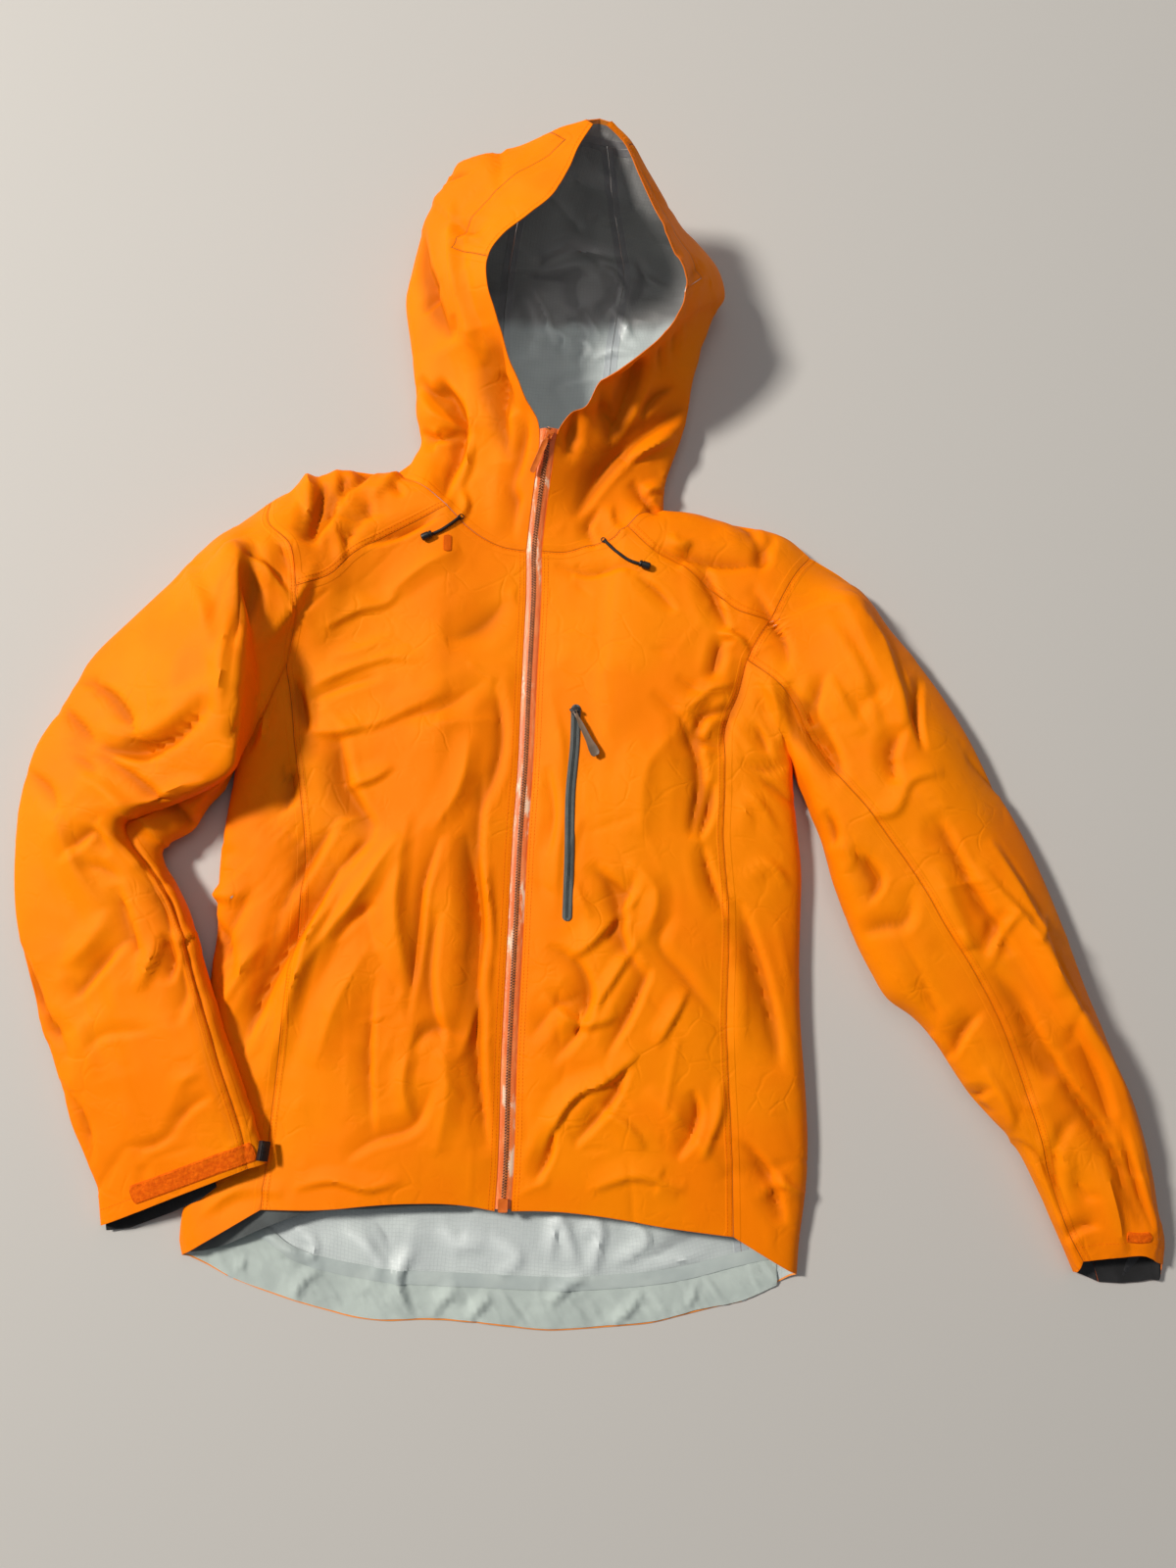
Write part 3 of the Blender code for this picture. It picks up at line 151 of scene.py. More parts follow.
SLEEVE = {            # shoulder to cuff
    "right": (
        SleeveSection((-330, 180, 20), (-298, 136, 68), (-287, 11, 34), (-319, -42, 14), 1),
        SleeveSection((-375, 135, 20), (-302, 79, 82), (-296, -5, 34), (-322, -47, 15), 1),
        SleeveSection((-420, 90, 20), (-304, 20, 88), (-304, -24, 34), (-324, -53, 16), 1),
        SleeveSection((-457, 52, 20), (-308, -23, 86), (-311, -42, 36), (-327, -62, 17), 1),
        SleeveSection((-482, 7, 20), (-312, -56, 80), (-319, -59, 40), (-333, -74, 17), 1),
        SleeveSection((-504, -28, 20), (-336, -73, 72), (-344, -77, 40), (-346, -88, 17), 1),
        SleeveSection((-516, -67, 20), (-377, -88, 66), (-381, -93, 38), (-361, -111, 17), 1),
        SleeveSection((-520, -109, 20), (-421, -101, 58), (-417, -109, 36), (-388, -129, 18), 1),
        SleeveSection((-519, -158, 20), (-423, -131, 50), (-398, -135, 40), (-380, -146, 20), 2),
        SleeveSection((-513, -203, 20), (-389, -164, 48), (-374, -166, 40), (-361, -177, 23), 6),
        SleeveSection((-502, -248, 20), (-371, -207, 47), (-357, -208, 41), (-348, -211, 25), 12),
        SleeveSection((-486, -293, 20), (-357, -251, 46), (-343, -252, 41), (-333, -252, 27), 19),
        SleeveSection((-468, -339, 19), (-342, -300, 45), (-328, -298, 41), (-318, -297, 28), 20),
        SleeveSection((-451, -391, 17), (-329, -345, 43), (-313, -341, 40), (-302, -339, 28), 20),
        SleeveSection((-436, -420, 15), (-314, -379, 40), (-301, -373, 38), (-290, -371, 28), 20),
        SleeveSection((-429, -465, 10), (-315, -420, 34), (-294, -412, 33), (-279, -408, 27), 20)),
    "left": (
        SleeveSection((252, 129, 14), (234, 101, 46), (177, 30, 40), (202, -62, 12), 1),
        SleeveSection((287, 85, 14), (259, 60, 50), (193, 10, 43), (207, -76, 13), 1),
        SleeveSection((318, 46, 14), (280, 14, 52), (206, -19, 45), (215, -98, 14), 1),
        SleeveSection((353, -6, 15), (300, -36, 52), (229, -56, 47), (224, -125, 15), 1),
        SleeveSection((383, -65, 15), (323, -89, 52), (257, -89, 48), (233, -163, 16), 1),
        SleeveSection((408, -113, 15), (353, -140, 52), (287, -132, 48), (247, -201, 16), 1),
        SleeveSection((429, -163, 15), (375, -173, 51), (307, -162, 47), (262, -234, 16), 1),
        SleeveSection((446, -212, 15), (396, -199, 50), (327, -199, 46), (280, -264, 15), 1),
        SleeveSection((458, -255, 15), (415, -231, 49), (349, -234, 44), (307, -284, 14), 1),
        SleeveSection((473, -297, 14), (434, -265, 48), (367, -268, 42), (327, -308, 13), 1),
        SleeveSection((491, -340, 14), (454, -298, 46), (382, -303, 40), (344, -338, 13), 1),
        SleeveSection((503, -379, 13), (471, -336, 43), (394, -341, 38), (365, -365, 12), 1),
        SleeveSection((512, -418, 13), (483, -379, 39), (407, -380, 34), (388, -390, 12), 1),
        SleeveSection((517, -452, 12), (491, -422, 35), (417, -423, 30), (408, -427, 12), 1),
        SleeveSection((522, -475, 12), (498, -456, 30), (430, -462, 25), (424, -463, 11), 1),
        SleeveSection((521, -499, 9), (495, -488, 26), (446, -494, 20), (442, -506, 7), 1))}
CUFF_UNDER = {                # edge of a cuff's lower side, where it reaches beyond the upper one
    "right": (), "left": ((450, -514), (470, -517), (497, -517), (518, -513))}


class HoodSection(NamedTuple):
    """One section across the hood, from rim to rim round the back; the crown is its middle."""
    rim_right: tuple
    outer_right: tuple
    crown: tuple
    rim_left: tuple
    outer_left: tuple


HOOD = (              # neck to peak
    HoodSection((-45, 208, 44), (-153, 263, 16), (-27, 224, 1), (-29, 208, 44), (82, 228, 16)),
    HoodSection((-40, 236, 57), (-156, 288, 16), (-27, 259, 1), (-24, 236, 57), (92, 256, 16)),
    HoodSection((-37, 262, 69), (-158, 314, 18), (-27, 294, 1), (-21, 262, 69), (102, 287, 18)),
    HoodSection((-44, 270, 71), (-160, 333, 19), (-25, 312, 1), (-4, 265, 71), (104, 302, 19)),
    HoodSection((-54, 293, 78), (-164, 366, 20), (-22, 345, 1), (12, 290, 78), (108, 326, 20)),
    HoodSection((-69, 326, 88), (-168, 399, 24), (-20, 391, 1), (43, 310, 88), (117, 364, 24)),
    HoodSection((-79, 361, 98), (-166, 417, 28), (-17, 433, 1), (75, 336, 92), (129, 394, 28)),
    HoodSection((-85, 397, 105), (-161, 438, 32), (-15, 471, 1), (96, 367, 100), (137, 420, 32)),
    HoodSection((-80, 412, 108), (-154, 464, 38), (-12, 480, 16), (98, 382, 106), (123, 440, 38)),
    HoodSection((-55, 433, 114), (-141, 491, 48), (-7, 490, 40), (87, 400, 112), (101, 454, 52)),
    HoodSection((-28, 451, 120), (-117, 520, 62), (-2, 497, 62), (72, 432, 118), (84, 462, 80)),
    HoodSection((-11, 474, 125), (-62, 522, 84), (4, 506, 82), (55, 466, 124), (66, 480, 102)),
    HoodSection((0, 498, 128), (-25, 522, 108), (10, 515, 109), (39, 500, 129), (46, 507, 118)),
    HoodSection((12, 515, 131), (6, 521, 128), (17, 523, 127), (23, 515, 131), (28, 520, 128)))

FACING_TOP = (                # upper edge of the facing inside the back hem
    (-293, -470), (-258, -491), (-192, -508), (-99, -514), (7, -517), (95, -508), (140, -497))

POCKET_ZIP = ((-4, 5), (-5, -31), (-9, -76), (-10, -136), (-12, -194))
POCKET_PULL = ((-1.5, -9), (19, -51))
POCKET_SLIDER = ((-4, 8), (-3, -12))
ZIP_PULL = ((-33.0, 247.0), (-47.0, 214.0))


class Quiet(NamedTuple):
    """Plan line beside which the creases fade."""
    line: tuple
    start: float      # distance at which the fewest are left
    end: float        # distance from which all are
    least: float      # share that is left at the start


QUIET = (
    Quiet(tuple(point[:2] for point in ZIP_LINE), ZIP_EDGE + 1.0, ZIP_EDGE + 16.0, 0.0),
    Quiet(POCKET_ZIP, 3.0, 16.0, 0.35), Quiet(POCKET_PULL, 9.0, 22.0, 0.0),
    Quiet(POCKET_SLIDER, 9.0, 22.0, 0.0), Quiet(ZIP_PULL, 8.0, 20.0, 0.0))
CORD_ROUTE = {
    "right": ((-113, 184), (-121, 177), (-131, 170), (-140, 166)),
    "left": ((22, 163), (34, 150), (46, 141), (56, 137))}
CORD_END_SIZE = (11.0, 7.0)   # length, diameter
KEEPER = ((-125, 166), (-125, 150))
CUFF_PATCH = {                # centre line along the cuff, then width
    "right": (((-398, -436), (-360, -422), (-320, -407), (-288, -396)), 17.0),
    "left": (((482, -471), (494, -472), (504, -471)), 9.0)}
CUFF_TAB_END = (-283, -397)
CUFF_TAB_SIZE = (9.0, 17.0, 5.0)
FRONT_HEM_BAND = (            # dark facing under the right front's hem, partly painted shadow: x, hem y, its lower edge y, z
    (-350, -487, -489, 9), (-341, -481, -488, 10), (-315, -464, -481, 14), (-289, -452, -469, 19),
    (-255, -450, -456, 21), (-168, -444, -449, 22), (-110, -446, -449, 20))
WORN_AND_GLINT_STRETCHES = (            # middle and half length, along Y, of the zip tape's places of wear and painted glint
    (214, 4), (153, 18), (23, 10), (-86, 36), (-190, 31), (-353, 8), (-408, 12))


# ---------------------------------------------------------------- curves and grids
def through(knots: Sequence, values: Sequence, at: Sequence) -> np.ndarray:
    """Smooth curve through values at knots, read at other places.

    Args:
        knots: rising places of the values.
        values: one row for each knot.
        at: the places to read.

    Returns:
        One row for each place.
    """
    knots, values, at = (np.asarray(item, dtype=float) for item in (knots, values, at))
    gaps = np.diff(knots)
    slopes = np.diff(values, axis=0) / gaps[:, None]
    inner = slopes[:-1] * gaps[1:, None] + slopes[1:] * gaps[:-1, None]
    inner /= (gaps[1:] + gaps[:-1])[:, None]
    tangents = np.vstack([slopes[:1], inner, slopes[-1:]])
    span = np.clip(np.searchsorted(knots, at, side="right") - 1, 0, len(gaps) - 1)
    t = ((at - knots[span]) / gaps[span])[:, None]
    width = gaps[span][:, None]
    return ((2 * t**3 - 3 * t**2 + 1) * values[span] + (t**3 - 2 * t**2 + t) * width * tangents[span]
            + (3 * t**2 - 2 * t**3) * values[span + 1] + (t**3 - t**2) * width * tangents[span + 1])


def chords(values: Sequence) -> np.ndarray:
    """Running straight-line length along the rows of a table."""
    steps = np.linalg.norm(np.diff(np.asarray(values, dtype=float), axis=0), axis=1)
    return np.concatenate([[0.0], np.cumsum(steps)])


def curve(table: Sequence, count: int) -> np.ndarray:
    """The table's smooth curve as `count` points, evenly spaced along it.

    Args:
        table: points that it passes through.
        count: how many points to return.

    Returns:
        The points, one to a row.
    """
    knots = chords(table)
    fine = through(knots, table, np.linspace(0, knots[-1], 40 * len(table)))
    reach = chords(fine)
    even = np.linspace(0, reach[-1], count)
    return np.stack([np.interp(even, reach, fine[:, axis]) for axis in range(fine.shape[1])], axis=1)


def on_floor(table: Sequence, height: float = FLOOR) -> list:
    """A plan table with one height added."""
    return [(x, y, height) for x, y in table]


def join(*curves: np.ndarray) -> np.ndarray:
    """Curves end to end, with each shared point once."""
    return np.vstack([curves[0]] + [piece[1:] for piece in curves[1:]])


def patch(bottom: np.ndarray, top: np.ndarray, near: np.ndarray, far: np.ndarray) -> np.ndarray:
    """Grid between four border curves: near and far run from bottom to top.

    Args:
        bottom: its first row.
        top: its last row.
        near: its first column.
        far: its last column.

    Returns:
        Rows of points; the borders pass through the four curves.
    """
    u = np.linspace(0, 1, len(bottom))[None, :, None]
    v = np.linspace(0, 1, len(near))[:, None, None]
    across = (1 - v) * bottom[None] + v * top[None]
    along = (1 - u) * near[:, None] + u * far[:, None]
    corners = ((1 - v) * ((1 - u) * bottom[0] + u * bottom[-1]) + v * ((1 - u) * top[0] + u * top[-1]))
    return across + along - corners


def wrap(start: np.ndarray, fold: np.ndarray, end: np.ndarray, columns: int) -> np.ndarray:
    """Row of points from start over a flat fold and back under to end.

    Args:
        start: point on the upper side.
        fold: point that it folds over.
        end: point on the lower side.
        columns: how many points to make.

    Returns:
        The row of points.
    """
    half = columns // 2
    row = []
    for step in range(columns):
        if step <= half:
            turn, base = 0.5 * math.pi * step / half, start
        else:
            turn, base = 0.5 * math.pi * (columns - 1 - step) / half, end
        reach = math.sin(turn)
        height = fold[2] + (base[2] - fold[2]) * math.cos(turn) ** 0.8
        row.append((base[0] + (fold[0] - base[0]) * reach, base[1] + (fold[1] - base[1]) * reach, height))
    return np.array(row)


def lay_to_part(points: Sequence) -> np.ndarray:
    """Millimetres of the lay as metres in the frame.

    Args:
        points: places in the lay, the last axis being x, y and z.

    Returns:
        The same places in the frame.
    """
    moved = np.array(points, dtype=float)
    moved[..., 0] -= LAY_CENTRE[0]
    moved[..., 1] -= LAY_CENTRE[1]
    return moved * MM


def ease(values: np.ndarray, low: float, high: float) -> np.ndarray:
    """Smooth step from 0 at low to 1 at high."""
    t = np.clip((values - low) / (high - low), 0.0, 1.0)
    return t * t * (3 - 2 * t)


def refined(grid: np.ndarray, row_parts: int, column_parts: int, turns: dict) -> np.ndarray:
    """Fine smooth grid through a coarse one.

    Args:
        grid: coarse rows of coarse points.
        row_parts: fine cells in each coarse row.
        column_parts: fine cells in each coarse column.
        turns: for a border (bottom, top, near or far), the samples where its seam changes
            from one neighbour to the next, so that it turns sharply there as theirs do.

    Returns:
        The fine grid, which passes through every coarse point.
    """
    rows, columns = grid.shape[:2]
    fine_rows = np.linspace(0, rows - 1, (rows - 1) * row_parts + 1)
    fine_columns = np.linspace(0, columns - 1, (columns - 1) * column_parts + 1)
    tall = through(range(rows), grid.reshape(rows, -1), fine_rows).reshape(len(fine_rows), columns, 3)
    wide = through(range(columns), tall.transpose(1, 0, 2).reshape(columns, -1), fine_columns)
    fine = wide.reshape(len(fine_columns), len(fine_rows), 3).transpose(1, 0, 2).copy()
    borders = {"bottom": (grid[0], fine_columns, fine_rows),
               "top": (grid[-1], fine_columns, rows - 1 - fine_rows),
               "near": (grid[:, 0], fine_rows, fine_columns),
               "far": (grid[:, -1], fine_rows, columns - 1 - fine_columns)}
    for border, stops in turns.items():
        coarse, at, away = borders[border]
        sharp = through(range(len(coarse)), coarse, at)
        for start, end in zip(stops[:-1], stops[1:]):
            here = (at >= start - 1e-9) & (at <= end + 1e-9)
            sharp[here] = through(range(start, end + 1), coarse[start:end + 1], at[here])
        change = sharp - through(range(len(coarse)), coarse, at)
        fade = np.clip(1 - away / 1.5, 0, 1) ** 2
        if border in ("bottom", "top"):
            fine += fade[:, None, None] * change[None]
        else:
            fine += fade[None, :, None] * change[:, None]
    return fine


def grid_normals(grid: np.ndarray) -> np.ndarray:
    """Unit normals of a grid's points, columns turned towards rows."""
    normal = np.cross(np.gradient(grid, axis=1), np.gradient(grid, axis=0))
    return normal / np.maximum(np.linalg.norm(normal, axis=2), 1e-9)[..., None]


# ---------------------------------------------------------------- seeded unevenness
DRAWS = 4096                  # how many random values a pattern has


def cell_key(cell: np.ndarray) -> np.ndarray:
    """Which of a pattern's random values each cell of space takes."""
    return (cell[:, 0] * 73856093 ^ cell[:, 1] * 19349663 ^ cell[:, 2] * 83492791) & (DRAWS - 1)


def noise(points: np.ndarray, size: float, seed: int) -> np.ndarray:
    """Smooth unevenness between -1 and 1.

    Args:
        points: places in millimetres.
        size: width of one hump.
        seed: which pattern.

    Returns:
        One value for each place.
    """
    table = np.random.default_rng(seed).uniform(-1, 1, DRAWS)
    base = np.floor(points / size).astype(np.int64)
    part = points / size - base
    part = part * part * (3 - 2 * part)
    total = np.zeros(len(points))
    for corner in itertools.product((0, 1), repeat=3):
        value = table[cell_key(base + np.array(corner))]
        total += value * np.prod(np.where(corner, part, 1 - part), axis=1)
    return total


def crumples(points: np.ndarray, size: float, half_width: float, seed: int) -> np.ndarray:
    """Net of short sharp creases, most of them faint, between -1 and 1.

    The creases run along the borders of the cells round seeded places, and each border has
    its own strength.

    Args:
        points: places in millimetres.
        size: usual distance between two creases.
        half_width: half width of a crease.
        seed: which net.

    Returns:
        One value for each place.
    """
    draw = np.random.default_rng(seed)
    jitter = draw.uniform(0.05, 0.95, (DRAWS, 3))
    strength = draw.normal(0.0, 1.0, DRAWS)
    strength *= 0.3 * abs(strength) ** 1.4
    base = np.floor(points / size).astype(np.int64)
    first = np.full(len(points), 1e9)
    second, third = first.copy(), first.copy()
    first_key = np.zeros(len(points), dtype=np.int64)
    second_key = first_key.copy()
    for step in itertools.product((-1, 0, 1), repeat=3):
        cell = base + np.array(step)
        key = cell_key(cell)
        apart = np.linalg.norm((cell + jitter[key]) * size - points, axis=1)
        nearer = apart < first
        between = ~nearer & (apart < second)
        third = np.where(nearer | between, second, np.minimum(third, apart))
        second = np.where(nearer, first, np.where(between, apart, second))
        second_key = np.where(nearer, first_key, np.where(between, key, second_key))
        first = np.where(nearer, apart, first)
        first_key = np.where(nearer, key, first_key)
    ends = 1 - np.exp(-(third - second) / half_width)
    height = ends * np.clip(strength[(first_key + second_key) & (DRAWS - 1)], -1, 1)
    return height * np.exp(-(second - first) / half_width)


# ---------------------------------------------------------------- listed creases
class Fold(NamedTuple):
    """A crease: a ridge, or a trough where the height is negative."""
    line: tuple           # plan points along it
    half_width: float
    height: float
    lean: float           # how much steeper the flank away from the window is


@dataclass(frozen=True)
class CreaseForm:
    """How the placed creases rise and fall away."""
    depth: float = 2.15            # their heights are drawn out by this
    steepest: float = 1.2          # most height for each millimetre of half width
    crest: float = 0.7             # rounded off this far from the middle line, in millimetres
    least_flank: float = 2.6       # narrowest flank, in millimetres
    reach: float = 3.4             # half widths from the middle line to where a crease has gone
    slant: tuple = (1.2, 0.12, 0.52)   # factor on the lean, what is added to it, and the most it comes to
    fall: float = 1.08             # how suddenly a flank falls
    dip: tuple = (0.16, 2.0, 0.8)  # hollow along a crease's foot: depth, distance and width in half widths


FORM = CreaseForm()


def crease_heights(folds: Iterable, x: np.ndarray, y: np.ndarray) -> np.ndarray:
    """Height that a group of creases gives at points of the plan.

    Args:
        folds: the creases.
        x: across the lay, in millimetres.
        y: along the lay.

    Returns:
        One height for each point.
    """
    factor, least, most = FORM.slant
    dip, dip_at, dip_width = FORM.dip
    total = np.zeros_like(x)
    for fold in folds:
        line = curve(fold.line, 16)
        reach = FORM.reach * fold.half_width
        near = np.flatnonzero((x > line[:, 0].min() - reach) & (x < line[:, 0].max() + reach)
                              & (y > line[:, 1].min() - reach) & (y < line[:, 1].max() + reach))
        if not len(near):
            continue
        spot = np.stack([x[near], y[near]], axis=1)[:, None]
        step = np.diff(line, axis=0)[None]
        share = np.clip(((spot - line[:-1]) * step).sum(2) / (step**2).sum(2), 0, 1)
        apart = spot - line[:-1] - share[..., None] * step
        gap = np.linalg.norm(apart, axis=2)
        best = gap.argmin(axis=1)
        row = np.arange(len(near))
        along = (best + share[row, best]) / step.shape[1]
        away = np.sign(apart[row, best, 0] - 0.35 * apart[row, best, 1])
        fade = np.sin(math.pi * np.clip(along, 0, 1)) ** 0.7
        slant = min(factor * (fold.lean + least), most)
        width = np.maximum(fold.half_width * (1 - slant * away) * (0.75 + 0.25 * fade), FORM.least_flank)
        t = (np.hypot(gap[row, best], FORM.crest) - FORM.crest) / width
        height = min(FORM.depth * abs(fold.height), FORM.steepest * fold.half_width)
        profile = np.exp(-t**FORM.fall) - dip * np.exp(-((t - dip_at) / dip_width) ** 2)
        total[near] += math.copysign(height, fold.height) * fade * profile
    return total


